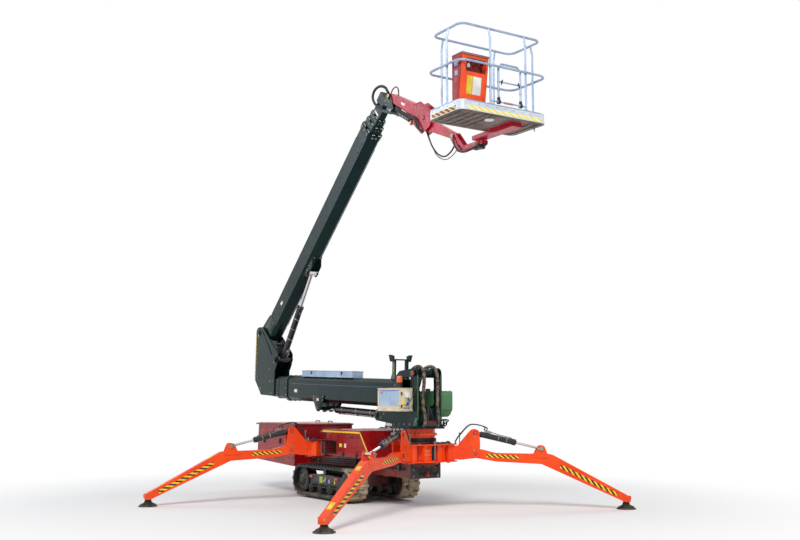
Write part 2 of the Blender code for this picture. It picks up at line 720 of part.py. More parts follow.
def build_bracket(name):
    """The swing bracket, from its head in the beam to its two pins."""
    body = "bracket_" + name
    low = BEAM_BOTTOM + BEAM_PLATE + SIDE_GAP
    high = BEAM_TOP - BEAM_PLATE - SIDE_GAP
    head = rod(BRACKET_HEAD_RADIUS, (0, 0, low), (0, 0, high), steps=6)
    neck = block((0.20, 0.130, high - low - 0.03), (0.13, 0, (low + high) / 2))
    plates = []
    profile = rounded(((0.14, low + 0.01, 0.02), (0.44, 0.725, 0.05), (0.46, 0.90, 0.10),
                       (0.45, 1.13, 0.055), (0.34, 1.13, 0.055), (0.14, high - 0.01, 0.03)))
    for side in (-1, 1):
        plates.append(outline(profile, CHEEK_PLATE, side * (CHEEK_INSIDE + CHEEK_PLATE) / 2))
    bracket = fuse(head, neck, *plates)
    slot = block((0.60, CHEEK_INSIDE, 0.60), (0.235 + 0.30, 0, 0.9))
    upright = rod(bore_radius(0.024), (0, 0, 0.5), (0, 0, 1.3))
    bracket = cut(bracket, slot, upright)
    half = CHEEK_INSIDE / 2 + CHEEK_PLATE + 0.012
    bracket = fuse(bracket, pin(LEG_PIN_RADIUS, BRACKET_REACH, LEG_PIN_Z, half),
                   pin(LEG_PIN_RADIUS, BRACKET_REACH, RAM_PIN_Z, half))
    keep(bracket, "bracket_" + name, body, "orange_red")


def build_leg(name):
    """The cranked leg with its ears for the ram, and its pad."""
    body = "leg_" + name
    foot_top = PAD_HEIGHT + 0.045 - LEG_PIN_Z
    profile = rounded(((-0.052, -0.060, 0.03), (0.30, -0.120, 0.0), (0.95, -0.155, 0.10),
                       (LEG_REACH - 0.02, foot_top - 0.02, 0.0), (LEG_REACH + 0.055, foot_top - 0.02, 0.0),
                       (LEG_REACH + 0.055, foot_top + 0.055, 0.02),
                       (1.10, -0.015, 0.15), (0.30, 0.0, 0.0), (0.10, 0.052, 0.02), (-0.052, 0.052, 0.03)))
    arm = outline(profile, LEG_WIDTH)
    ear = rounded(((LEG_KNEE - 0.13, -0.06, 0.01), (LEG_KNEE + 0.11, -0.07, 0.01),
                   (LEG_KNEE + 0.04, LEG_KNEE_RISE + 0.045, 0.035),
                   (LEG_KNEE - 0.04, LEG_KNEE_RISE + 0.045, 0.035)))
    ears = [outline(ear, 0.014, side * (LEG_WIDTH / 2 + 0.004)) for side in (-1, 1)]
    heads = [rod(0.024, (LEG_KNEE, side * (LEG_WIDTH / 2 + 0.004), LEG_KNEE_RISE),
                 (LEG_KNEE, side * (LEG_WIDTH / 2 + 0.024), LEG_KNEE_RISE)) for side in (-1, 1)]
    arm = fuse(arm, *ears, *heads)
    arm = clear_bore(arm, LEG_PIN_RADIUS, 0, 0)
    stem = rod(0.024, (LEG_REACH, 0, foot_top - 0.045), (LEG_REACH, 0, foot_top))
    arm = fuse(arm, stem)
    keep(arm, "leg_" + name, body, "orange_red")
    ground = -LEG_PIN_Z
    pad = rod(PAD_RADIUS, (LEG_REACH, 0, ground), (LEG_REACH, 0, ground + 0.016), steps=32)
    cone = rod(PAD_RADIUS * 0.86, (LEG_REACH, 0, ground + 0.012),
               (LEG_REACH, 0, foot_top - 0.045 - SEAT_GAP), radius_end=0.045, steps=32)
    keep(fuse(pad, cone), "pad_" + name, body, "black")


def build_leg_ram(name):
    """The leg's hydraulic ram: its frame runs along X from the upper pin."""
    length = math.hypot(LEG_KNEE, RAM_PIN_Z - LEG_PIN_Z - LEG_KNEE_RISE)
    barrel = build_barrel(0.60, LEG_RAM_RADIUS, LEG_ROD_RADIUS, LEG_PIN_RADIUS, CHEEK_INSIDE - 2 * SIDE_GAP)
    keep(barrel, "barrel_" + name, "barrel_" + name, "black")
    bar = build_rod(LEG_ROD_START, length, LEG_ROD_RADIUS, 0.028, LEG_WIDTH - 0.006 - 2 * SIDE_GAP)
    keep(bar, "rod_" + name, "rod_" + name, "chrome")


def build_barrel(length, radius, rod_radius, pin_radius, eye_width):
    """A ram's barrel along +X, with an eye at its foot and a hollow for the rod."""
    eye = pin(pin_radius + 0.024, 0, 0, eye_width / 2)
    neck = rod(radius * 0.7, (pin_radius + 0.006, 0, 0), (0.10, 0, 0))
    tube = cut(rod(radius, (0.075, 0, 0), (length - 0.010, 0, 0)),
               rod(radius - 0.010, (0.115, 0, 0), (length + 0.02, 0, 0)))
    gland = cut(rod(radius + 0.003, (length - 0.050, 0, 0), (length, 0, 0)),
                rod(bore_radius(rod_radius), (length - 0.08, 0, 0), (length + 0.02, 0, 0)))
    eye = clear_bore(fuse(eye, neck), pin_radius, 0, 0)
    return fuse(eye, tube, gland)


def build_rod(start, length, radius, eye_radius, eye_width):
    """A ram's rod along +X, from its piston to the eye at its end."""
    bar = rod(radius, (start, 0, 0), (length - eye_radius * 0.5, 0, 0))
    eye = pin(eye_radius, length, 0, eye_width / 2)
    return fuse(bar, eye)


def build_turret():
    """The slewing ring and the turret frame with its boxes."""
    gear = rod(SLEW_RADIUS, (0, 0, SLEW_BOTTOM), (0, 0, SLEW_BOTTOM + GEAR_HEIGHT), steps=48)
    keep(gear, "slew_gear", "chassis", "steel")
    ring_low = SLEW_BOTTOM + GEAR_HEIGHT + SEAT_GAP
    ring = rod(SLEW_RADIUS, (0, 0, ring_low), (0, 0, SLEW_TOP), steps=48)
    keep(ring, "slew_ring", "turret", "orange_red")
    base_low = SLEW_TOP + SEAT_GAP
    base = outline(rounded(((-0.40, -0.30, 0.10), (CHEEK_FRONT + 0.02, -0.30, 0.10),
                            (CHEEK_FRONT + 0.02, 0.30, 0.10), (-0.40, 0.30, 0.10))),
                   TURRET_PLATE, base_low + TURRET_PLATE / 2, "XY")
    luff_x, luff_z = LUFF_PIVOT
    lift_x, lift_z = LIFT_BASE_PIN
    cheek = rounded(((-0.38, base_low, 0.0), (CHEEK_FRONT, base_low, 0.0), (CHEEK_FRONT, luff_z + 0.08, 0.08),
                     (luff_x - 0.09, luff_z + 0.08, 0.08), (luff_x - 0.08, TURRET_DECK + 0.04, 0.05),
                     (-0.30, TURRET_DECK, 0.08), (lift_x - 0.04, lift_z + 0.08, 0.06),
                     (lift_x - 0.06, lift_z - 0.08, 0.06), (-0.38, base_low + 0.06, 0.05)))
    inner_y = LOWER_WIDTH / 2 + COLLAR_RISE + 0.006
    cheeks = [outline(cheek, TURRET_CHEEK, side * (inner_y + TURRET_CHEEK / 2)) for side in (-1, 1)]
    cross_height = TURRET_DECK - base_low - 0.010
    cross = block((0.05, 2 * inner_y + 0.01, cross_height),
                  (CHEEK_FRONT - 0.035, 0, TURRET_DECK - 0.005 - cross_height / 2))
    lift_tie = block((0.05, 2 * inner_y + 0.01, 0.10), (-0.40, 0, base_low + 0.09))
    frame = fuse(base, *cheeks, cross, lift_tie)
    frame = fuse(frame, pin(LUFF_PIN_RADIUS, luff_x, luff_z, inner_y + TURRET_CHEEK + 0.02),
                 pin(0.028, lift_x, lift_z, inner_y + TURRET_CHEEK + 0.012))
    keep(frame, "turret_frame", "turret", "boom_green")
    build_turret_boxes(inner_y + TURRET_CHEEK + SEAT_GAP)


def build_turret_boxes(cheek_y):
    """The control box on the near cheek with its beacon, and the tank on the far cheek."""
    middle = cheek_y + BOX_DEPTH / 2
    box = block((CONTROL_X[1] - CONTROL_X[0], BOX_DEPTH, CONTROL_Z[1] - CONTROL_Z[0]),
                (sum(CONTROL_X) / 2, -middle, sum(CONTROL_Z) / 2))
    keep(box, "control_box", "turret", "cream")
    beacon_low = (BEACON_X, -cheek_y - 0.087, CONTROL_Z[1] + SEAT_GAP)
    beacon = rod(0.045, beacon_low, (*beacon_low[:2], BEACON_TOP), radius_end=0.036)
    keep(beacon, "beacon", "turret", "amber")
    slope_x, slope_z = TANK_SLOPE
    profile = rounded(((TANK_X[0], TANK_Z[0], 0.03), (TANK_X[1] - slope_x, TANK_Z[0], 0.02),
                       (TANK_X[1], TANK_Z[0] + slope_z, 0.02), (TANK_X[1], TANK_Z[1], 0.015),
                       (TANK_X[0], TANK_Z[1], 0.015)))
    corner = block((1.0, 0.10, 0.10), (0, 0, 0))
    corner.data.transform(Matrix.Rotation(math.radians(45), 4, "X"))
    corner.data.transform(Matrix.Translation((0, middle + BOX_DEPTH / 2 + 0.020, TANK_Z[0] - 0.020)))
    keep(cut(outline(profile, BOX_DEPTH, middle), corner), "tank_box", "turret", "body_green")


def boom_rest():
    """The cradle on the lower boom that the folded upper boom lies in."""
    top = -LOWER_DROP + LOWER_HEIGHT / 2
    posts = [block((0.05, 0.03, REST_TOP - top), (REST_X, side * 0.105, (REST_TOP + top - 0.01) / 2))
             for side in (-1, 1)]
    saddle = block((0.10, 0.30, 0.02), (REST_X, 0, REST_TOP - 0.010))
    horns = [block((0.10, 0.012, 0.07), (REST_X, side * 0.144, REST_TOP + 0.015)) for side in (-1, 1)]
    return [*posts, saddle, *horns]


def build_lower_boom():
    """The lower boom's three tubes, the tool tray and the lift ram."""
    size = (LOWER_WIDTH / 2, LOWER_HEIGHT / 2, LOWER_CHAMFER)
    outer = boom_tube(LOWER_START, LOWER_END, size, LOWER_DROP, tail=False)
    lug_profile = rounded(((-0.065, -0.055, 0.05), (LOWER_START - 0.08, -0.060, 0.03),
                           (LOWER_START + 0.03, 0.004 - LOWER_DROP, 0.03),
                           (LOWER_START + 0.25, -0.096 - LOWER_DROP, 0.02),
                           (LOWER_START + 0.25, LOWER_HEIGHT / 2 - LOWER_CHAMFER - LOWER_DROP, 0.02),
                           (LOWER_START + 0.03, 0.030, 0.06), (0.04, 0.075, 0.05), (-0.065, 0.060, 0.05)))
    lugs = [outline(lug_profile, 0.030, side * (LOWER_WIDTH / 2 - 0.019)) for side in (-1, 1)]
    eye = pin(LUFF_PIN_RADIUS + 0.030, 0, 0, LOWER_WIDTH / 2)
    outer = fuse(outer, *lugs, eye)
    rod_x, rod_z = in_lower(*LIFT_ROD_PIN)
    under = -LOWER_DROP - LOWER_HEIGHT / 2
    ear = rounded(((rod_x - 0.16, under + 0.004, 0.0), (rod_x + 0.16, under + 0.004, 0.0),
                   (rod_x + 0.05, rod_z - 0.06, 0.05), (rod_x - 0.05, rod_z - 0.06, 0.05)))
    ears = [outline(ear, 0.016, side * 0.062) for side in (-1, 1)]
    outer = fuse(outer, *ears, *boom_rest())
    outer = clear_bore(outer, LUFF_PIN_RADIUS, 0, 0)
    keep(outer, "lower_boom_outer", "lower_boom", "boom_green")
    mid = boom_tube(LOWER_START + 0.30, LOWER_STEPS[0], nested(size), LOWER_DROP)
    keep(mid, "lower_boom_mid", "lower_mid", "boom_green")
    inner = boom_tube(LOWER_START + 0.45, LOWER_STEPS[1], nested(nested(size)), LOWER_DROP, inner=False)
    keep(inner, "lower_boom_inner", "lower_inner", "boom_green")
    tray = block((1.75, 0.20, 0.10), (2.75, 0.05, -LOWER_DROP + LOWER_HEIGHT / 2 + 0.05 + SEAT_GAP))
    keep(tray, "tool_tray", "lower_boom", "aluminium")


def elbow_half():
    """Half the distance between the elbow's cheek plates, which hug the last tube."""
    return nested(nested((LOWER_WIDTH / 2, LOWER_HEIGHT / 2, LOWER_CHAMFER)))[0] + SEAT_GAP


def build_elbow():
    """The elbow's two cheek plates, which join the booms."""
    pin_x, pin_z = in_lower(*ELBOW_PIN)
    ram_x, ram_z = in_lower(*UPPER_RAM_PIN)
    size = nested(nested((LOWER_WIDTH / 2, LOWER_HEIGHT / 2, LOWER_CHAMFER)))
    inner_half = elbow_half()
    low = -LOWER_DROP - size[1]
    profile = rounded(((LOWER_STEPS[1] - 0.13, low + 0.01, 0.03), (pin_x - 0.16, low + 0.02, 0.08),
                       (pin_x + 0.14, low + 0.30, 0.10), (pin_x + 0.13, pin_z + 0.10, 0.11),
                       (pin_x - 0.14, pin_z + 0.10, 0.11), (ram_x - 0.10, ram_z + 0.10, 0.08),
                       (ram_x - 0.06, ram_z - 0.09, 0.08), (LOWER_STEPS[1] - 0.13, ELBOW_LIP - LOWER_DROP, 0.05)))
    plates = [outline(profile, 0.018, side * (inner_half + 0.009)) for side in (-1, 1)]
    tie_x = LOWER_STEPS[1] + 0.06
    tie = block((0.05, 2 * inner_half + 0.01, 2 * size[1] - 0.04), (tie_x, 0, -LOWER_DROP))
    back = block((0.04, 2 * inner_half + 0.01, 0.55), (pin_x + 0.06, 0, low + 0.55))
    heads = [pin(0.045, ram_x, ram_z, 0.014, side * (inner_half + 0.030)) for side in (-1, 1)]
    elbow = fuse(tie, back, *plates, *heads, pin(ELBOW_PIN_RADIUS, pin_x, pin_z, inner_half + 0.035))
    keep(elbow, "elbow", "lower_inner", "boom_green")


def build_upper_bodies():
    """The bodies beyond the elbow, from its pin to the basket's gate."""
    pin_x, pin_z = in_lower(*ELBOW_PIN)
    turn = -(180 - UPPER_ANGLE - LOWER_RISE)
    RIG.add("upper_boom", "lower_inner", (pin_x, 0, pin_z), (180, turn, 0))
    RIG.add("upper_second", "upper_boom", (0, 0, 0))
    RIG.add("upper_third", "upper_second", (0, 0, 0))
    RIG.add("upper_fourth", "upper_third", (0, 0, 0))
    jib_x, jib_z = in_upper(*JIB_PIN)
    RIG.add("jib", "upper_fourth", (jib_x, 0, jib_z), (0, UPPER_ANGLE, 0))
    step = Vector(BASKET_PIN) - Vector(JIB_PIN)
    RIG.add("basket_mount", "jib", (step.x, 0, step.y))
    RIG.add("basket", "basket_mount", (SWIVEL_X - BASKET_PIN[0], 0, 0))
    gate = Vector((*GATE_FOOT, GATE_FOOT_Z)) - Vector((SWIVEL_X, 0, BASKET_PIN[1]))
    RIG.add("gate", "basket", gate)
    build_ram_bodies()


def aim(from_point, to_point):
    """The turn about Y that points +X from one place in X and Z to another."""
    step = Vector(to_point) - Vector(from_point)
    return (0, math.degrees(math.atan2(-step.y, step.x)), 0)


def build_ram_bodies():
    """The bodies of the three boom rams, each aimed along its own rod."""
    lift_x, lift_z = LIFT_BASE_PIN
    step = Vector(LIFT_ROD_PIN) - Vector(LIFT_BASE_PIN)
    rise = math.degrees(math.atan2(step.y, -step.x))
    RIG.add("lift_barrel", "turret", (lift_x, 0, lift_z), (0, -rise, 180))
    RIG.add("lift_rod", "lift_barrel", (0, 0, 0))
    foot = in_upper(*UPPER_RAM_PIN)
    RIG.add("upper_rod", "upper_boom", (UPPER_ROD_PIN[0], 0, UPPER_ROD_PIN[1]), aim(UPPER_ROD_PIN, foot))
    RIG.add("upper_barrel", "upper_rod", (0, 0, 0))
    base = in_upper(*JIB_RAM_PIN)
    RIG.add("jib_barrel", "upper_fourth", (base[0], 0, base[1]), aim(base, in_upper(*JIB_ROD_PIN)))
    RIG.add("jib_rod", "jib_barrel", (0, 0, 0))


def in_upper(x, z):
    """A machine place in the upper boom's frame."""
    angle = math.radians(UPPER_ANGLE)
    offset = Vector((x - ELBOW_PIN[0], z - ELBOW_PIN[1]))
    return (offset.dot(Vector((math.cos(angle), math.sin(angle)))),
            offset.dot(Vector((-math.sin(angle), math.cos(angle)))))


def build_upper_boom():
    """The upper boom's four tubes, its tail, its head and the ram's bracket."""
    size = (UPPER_WIDTH / 2, UPPER_HEIGHT / 2, UPPER_CHAMFER)
    outer = boom_tube(UPPER_START, UPPER_ENDS[0], size, UPPER_DROP, tail=False)
    tail_profile = rounded(((-0.055, 0.050, 0.04), (UPPER_START + 0.30, -0.020, 0.02),
                            (UPPER_START + 0.30, -0.360, 0.02), (0.02, -0.300, 0.08),
                            (-0.055, -0.055, 0.04)))
    tails = [outline(tail_profile, 0.020, side * (UPPER_WIDTH / 2 - 0.013)) for side in (-1, 1)]
    eye = pin(ELBOW_PIN_RADIUS + 0.024, 0, 0, UPPER_WIDTH / 2)
    under = -UPPER_DROP - UPPER_HEIGHT / 2
    rod_x, rod_z = UPPER_ROD_PIN
    ear = rounded(((rod_x - 0.10, under - 0.001, 0.0), (rod_x + 0.30, under - 0.001, 0.0),
                   (rod_x + 0.20, rod_z - 0.04, 0.03), (rod_x - 0.05, rod_z - 0.055, 0.04)))
    ears = [outline(ear, UPPER_EAR, side * UPPER_EAR_Y) for side in (-1, 1)]
    doubler = block((0.46, 2 * UPPER_EAR_Y + UPPER_EAR + 0.010, 0.008), (rod_x + 0.10, 0, under - 0.001))
    outer = fuse(outer, *tails, eye, doubler, *ears)
    outer = clear_bore(outer, ELBOW_PIN_RADIUS, 0, 0)
    outer = fuse(outer, pin(0.026, rod_x, rod_z, UPPER_EAR_Y + 0.022))
    keep(outer, "upper_boom_outer", "upper_boom", "boom_green")
    names = ("second", "third", "fourth")
    for index, name in enumerate(names):
        size = nested(size)
        start = UPPER_START + 0.40 + 0.15 * index
        tube = boom_tube(start, UPPER_ENDS[index + 1], size, UPPER_DROP, inner=name != "fourth")
        if name == "fourth":
            tube = fuse(tube, *head_shapes(size))
        keep(tube, "upper_boom_" + name, "upper_" + name, "boom_green")


def head_shapes(size):
    """The plates at the boom's tip that carry the jib and its ram."""
    jib_x, jib_z = in_upper(*JIB_PIN)
    ram_x, ram_z = in_upper(*JIB_RAM_PIN)
    end = UPPER_ENDS[3]
    profile = rounded(((end - 0.16, -UPPER_DROP, 0.02), (jib_x + 0.035, jib_z + 0.050, 0.03),
                       (jib_x + 0.045, jib_z - 0.045, 0.03), (ram_x + 0.05, ram_z - 0.04, 0.03),
                       (ram_x - 0.05, ram_z - 0.045, 0.03), (end - 0.20, -UPPER_DROP - size[1] + 0.01, 0.02)))
    reach = JIB_WIDTH / 2 + SIDE_GAP + 0.006
    plates = [outline(profile, 0.012, side * reach) for side in (-1, 1)]
    cap = block((0.17, 2 * reach + 0.006, 2 * size[1] + 0.012), (end - 0.085, 0, -UPPER_DROP))
    pins = [pin(JIB_PIN_RADIUS, jib_x, jib_z, reach + 0.02),
            pin(0.018, ram_x, ram_z, reach + 0.016)]
    return [cap, *plates, *pins]


def build_jib():
    """The jib: an upper arm, the bracket at its bend and a lower arm."""
    root, bend, end = Vector(JIB_PIN), Vector(JIB_MIDDLE), Vector(BASKET_PIN)
    along = (bend - root).normalized()
    across = Vector((along.y, -along.x))
    start = root - along * 0.035
    arm_points = [start - across * 0.045, bend + along * 0.10 - across * 0.115,
                  bend + along * 0.10 + across * 0.10, root + along * 0.10 + across * 0.065,
                  start + across * 0.045]
    arm = outline(rounded([(p.x, p.y, 0.03) for p in arm_points]), JIB_WIDTH)
    rod_x, rod_z = JIB_ROD_PIN
    plate = rounded(((bend.x - 0.02, bend.y + 0.13, 0.03), (bend.x + 0.14, bend.y + 0.13, 0.05),
                     (bend.x + 0.40, bend.y - 0.06, 0.04), (bend.x + 0.40, bend.y - 0.30, 0.05),
                     (bend.x + 0.16, bend.y - 0.38, 0.04), (rod_x + 0.05, rod_z - 0.045, 0.03),
                     (rod_x - 0.045, rod_z - 0.045, 0.03), (rod_x - 0.045, rod_z + 0.05, 0.02)))
    sides = [outline(plate, 0.012, side * (JIB_WIDTH / 2 + 0.004)) for side in (-1, 1)]
    low = Vector((bend.x + 0.22, bend.y - 0.22))
    down = (end - low).normalized()
    flat = Vector((down.y, -down.x))
    lower_points = [low - down * 0.05 - flat * 0.09, end + down * 0.035 - flat * 0.045,
                    end + down * 0.035 + flat * 0.045, low - down * 0.05 + flat * 0.10]
    lower = outline(rounded([(p.x, p.y, 0.03) for p in lower_points]), 0.080)
    core = block((0.18, JIB_WIDTH + 0.004, 0.16), (bend.x + 0.20, 0, bend.y - 0.14))
    jib = fuse(arm, *sides, lower, core)
    jib = clear_bore(jib, JIB_PIN_RADIUS, *JIB_PIN)
    jib = clear_bore(jib, BASKET_PIN_RADIUS, *BASKET_PIN)
    keep(jib, "jib_arm", "jib", "crimson", (JIB_PIN[0], 0, JIB_PIN[1]))


def build_mount():
    """The levelling fork under the basket and its swivel post."""
    x, z = BASKET_PIN
    top = z - MOUNT_DROP
    low = rounded(((x - 0.045, z - 0.045, 0.03), (x + 0.12, top - 0.075, 0.04),
                   (SWIVEL_X + 0.08, top - 0.075, 0.02), (SWIVEL_X + 0.08, top - 0.012, 0.01),
                   (x + 0.26, top - 0.012, 0.05), (x + 0.045, z + 0.045, 0.03), (x - 0.045, z + 0.045, 0.03)))
    forks = [outline(low, 0.012, side * (0.040 + SIDE_GAP + 0.006)) for side in (-1, 1)]
    table = rod(SWIVEL_RADIUS, (SWIVEL_X, 0, top - 0.06), (SWIVEL_X, 0, top))
    post = rod(0.024, (SWIVEL_X, 0, top - 0.06), (SWIVEL_X, 0, BASKET_FLOOR_Z - 0.002))
    mount = fuse(*forks, table, post, pin(BASKET_PIN_RADIUS, x, z, 0.070))
    keep(mount, "basket_mount", "basket_mount", "crimson", (x, 0, z))


def build_basket():
    """The basket's pan, its carrier, its rails, its console and its gate."""
    here = (SWIVEL_X, 0, BASKET_PIN[1])
    x, y = BASKET_CENTRE
    half_x, half_y = BASKET_DEPTH / 2, BASKET_LENGTH / 2
    carrier_top = BASKET_FLOOR_Z - SEAT_GAP
    carrier_low = BASKET_PIN[1] - MOUNT_DROP + SEAT_GAP
    arm = block((x - SWIVEL_X + 0.30, 0.16, carrier_top - carrier_low),
                ((x + SWIVEL_X + 0.14) / 2, -0.02, (carrier_top + carrier_low) / 2))
    arm = cut(arm, rod(bore_radius(0.024), (SWIVEL_X, 0, 4.5), (SWIVEL_X, 0, 5.6)))
    keep(arm, "basket_carrier", "basket", "crimson", here)

    def ring(inset, radius):
        return [(px + x, py + y) for px, py, _ in loop_points(half_x - inset, half_y - inset, radius, 0)]

    pan = outline(ring(0.0, 0.10), PAN_HEIGHT, BASKET_FLOOR_Z + PAN_HEIGHT / 2, "XY")
    hollow = outline(ring(0.045, 0.07), 0.2, BASKET_FLOOR_Z + PAN_WALL + 0.1, "XY")
    under = outline(ring(PAN_WALL, 0.096), PAN_HEIGHT - 2 * PAN_WALL, BASKET_FLOOR_Z + PAN_HEIGHT / 2, "XY")
    pan = cut(pan, hollow, under)
    keep(pan, "basket_pan", "basket", "aluminium", here)
    build_rails(x, y, half_x, half_y, here)


def post_line(side, place, x, y, half_x, half_y):
    """A post's points: up from the pan's rim, then in to the top rail."""
    foot = BASKET_FLOOR_Z + PAN_HEIGHT + SEAT_GAP
    out_x, out_y = half_x - RAIL_INSET, half_y - RAIL_INSET
    top_x, top_y = half_x - TOP_INSET, half_y - TOP_INSET
    if side in ("front", "back"):
        sign = 1 if side == "front" else -1
        low, high = (x + sign * out_x, place), (x + sign * top_x, place)
    else:
        sign = 1 if side == "far" else -1
        low, high = (place, y + sign * out_y), (place, y + sign * top_y)
    return [(*low, foot), (*low, KINK_Z), (*high, RAIL_TOP_Z)]


def build_rails(x, y, half_x, half_y, here):
    """The two rails and the posts of the basket, as one welded frame."""
    top = [(px + x, py + y, pz) for px, py, pz in
           loop_points(half_x - TOP_INSET, half_y - TOP_INSET, RAIL_CORNER, RAIL_TOP_Z)]
    reach = RAIL_BULGE - RAIL_INSET
    middle = [(px + x, py + y, pz) for px, py, pz in
              loop_points(half_x + reach, half_y + reach, BULGE_CORNER, RAIL_MID_Z)]
    frame = fuse(pipe(top, RAIL_RADIUS, closed=True), pipe(middle, RAIL_RADIUS, closed=True))
    for side, place in POSTS:
        frame = fuse(frame, pipe(post_line(side, place, x, y, half_x, half_y), RAIL_RADIUS * 0.93))
    gate_x, gate_y = GATE_FOOT
    ends = [place for side, place in POSTS if side == "front"]
    axle = rod(GATE_PIN_RADIUS, (gate_x, min(ends), GATE_FOOT_Z), (gate_x, max(ends), GATE_FOOT_Z), steps=12)
    keep(fuse(frame, axle), "basket_rails", "basket", "aluminium", here)
    build_console(here)
    build_gate(gate_x, gate_y)


def build_console(here):
    """The control console: it stands on the floor and leans out over the rim."""
    floor_z = BASKET_FLOOR_Z + PAN_WALL + SEAT_GAP
    front = ((2.385, floor_z), (2.400, 5.340), (2.478, CONSOLE_TOP))
    profile = rounded(((2.270, floor_z, 0.0), (*front[0], 0.0), (*front[1], 0.05), (*front[2], 0.015),
                       (2.270, CONSOLE_TOP, 0.015)))
    middle, width = sum(CONSOLE_Y) / 2, CONSOLE_Y[1] - CONSOLE_Y[0]
    lean = math.atan2(front[2][0] - front[1][0], front[2][1] - front[1][1])
    recess = block((0.10, width - 0.13, 0.15), (0, 0, 0))
    recess.data.transform(Matrix.Rotation(lean, 4, "Y"))
    recess.data.transform(Matrix.Translation((2.462, middle + 0.02, CONSOLE_TOP - 0.135)))
    keep(cut(outline(profile, width, middle), recess), "console", "basket", "console", here)


def build_gate(x, y):
    """The inverted U that closes the way in, on two knuckles round its axle."""
    half = GATE_WIDTH / 2
    top = GATE_FOOT_Z + GATE_HEIGHT
    hoop = pipe([(x, y - half, GATE_FOOT_Z + 0.016), (x, y - half, top - 0.05), (x, y - half + 0.05, top),
                 (x, y + half - 0.05, top), (x, y + half, top - 0.05), (x, y + half, GATE_FOOT_Z + 0.016)], 0.015)
    knuckles = [pin(0.022, x, GATE_FOOT_Z, 0.022, y + side * half) for side in (-1, 1)]
    bar = rod(0.010, (x, y - half, top - 0.24), (x, y + half, top - 0.24), steps=10)
    hoop = clear_bore(fuse(hoop, bar, *knuckles), GATE_PIN_RADIUS, x, GATE_FOOT_Z)
    keep(hoop, "basket_gate", "gate", "aluminium", (x, y, GATE_FOOT_Z))


def build_boom_rams():
    """The rams that lift the lower boom, the upper boom and the jib."""
    length = (Vector(LIFT_ROD_PIN) - Vector(LIFT_BASE_PIN)).length
    barrel = build_barrel(1.62, LIFT_RAM_RADIUS, LIFT_ROD_RADIUS, 0.028, 0.16)
    keep(barrel, "lift_ram_barrel", "lift_barrel", "black")
    keep(build_rod(0.14, length, LIFT_ROD_RADIUS, 0.040, 0.124 - 0.016 - 2 * SIDE_GAP),
         "lift_ram_rod", "lift_rod", "chrome")
    length = (Vector(in_upper(*UPPER_RAM_PIN)) - Vector(UPPER_ROD_PIN)).length
    bar = rod(UPPER_ROD_RADIUS, (0, 0, 0), (length - UPPER_ROD_START, 0, 0))
    eye = pin(0.046, 0, 0, UPPER_EAR_Y - UPPER_EAR / 2 - SIDE_GAP)
    bar = clear_bore(fuse(bar, eye), 0.026, 0, 0)
    keep(bar, "upper_ram_rod", "upper_rod", "chrome")
    barrel = build_barrel(UPPER_BARREL, UPPER_RAM_RADIUS, UPPER_ROD_RADIUS, 0.030,
                          2 * (elbow_half() - SIDE_GAP))
    barrel.data.transform(Matrix.Rotation(math.pi, 4, "Z"))
    barrel.data.transform(Matrix.Translation((length, 0, 0)))
    keep(barrel, "upper_ram_barrel", "upper_barrel", "black")
    length = (Vector(JIB_ROD_PIN) - Vector(JIB_RAM_PIN)).length
    barrel = build_barrel(0.50, JIB_RAM_RADIUS, JIB_ROD_RADIUS, 0.018, JIB_WIDTH - SIDE_GAP)
    keep(barrel, "jib_ram_barrel", "jib_barrel", "black")
    keep(build_rod(0.20, length, JIB_ROD_RADIUS, 0.024, JIB_WIDTH - 0.006 - SIDE_GAP),
         "jib_ram_rod", "jib_rod", "chrome")


def set_over_origin():
    """Move the root body so that the box of the machine stands on its origin."""
    bpy.context.view_layer.update()
    places = [item.matrix_world @ vertex.co for item in MACHINE.objects if item.type == "MESH"
              for vertex in item.data.vertices]
    low = [min(place[axis] for place in places) for axis in range(3)]
    high = [max(place[axis] for place in places) for axis in range(3)]
    RIG.bodies["chassis"].location = (-(low[0] + high[0]) / 2, -(low[1] + high[1]) / 2, -low[2])
    bpy.context.view_layer.update()


def main():
    """Build the machine and set it over its origin."""
    build_bodies()
    build_upper_bodies()
    frames = [build_track(side, name) for side, name in ((-1, "near"), (1, "far"))]
    build_chassis(frames)
    build_beams()
    build_covers()
    for name, _, _, _ in OUTRIGGERS:
        build_outrigger(name)
    build_turret()
    build_lower_boom()
    build_elbow()
    build_upper_boom()
    build_jib()
    build_mount()
    build_basket()
    build_boom_rams()
    set_over_origin()


main()
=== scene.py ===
"""Looks of the tracked spider lift: finishes, trim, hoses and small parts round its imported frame.

Every piece is drawn in the frame of the body that carries it and then set in place in metres.
"""

from __future__ import annotations

import logging
import math
from dataclasses import dataclass, field
from enum import Enum
from typing import Iterable, Sequence

import bmesh
import bpy
import numpy as np
from mathutils import Matrix, Vector

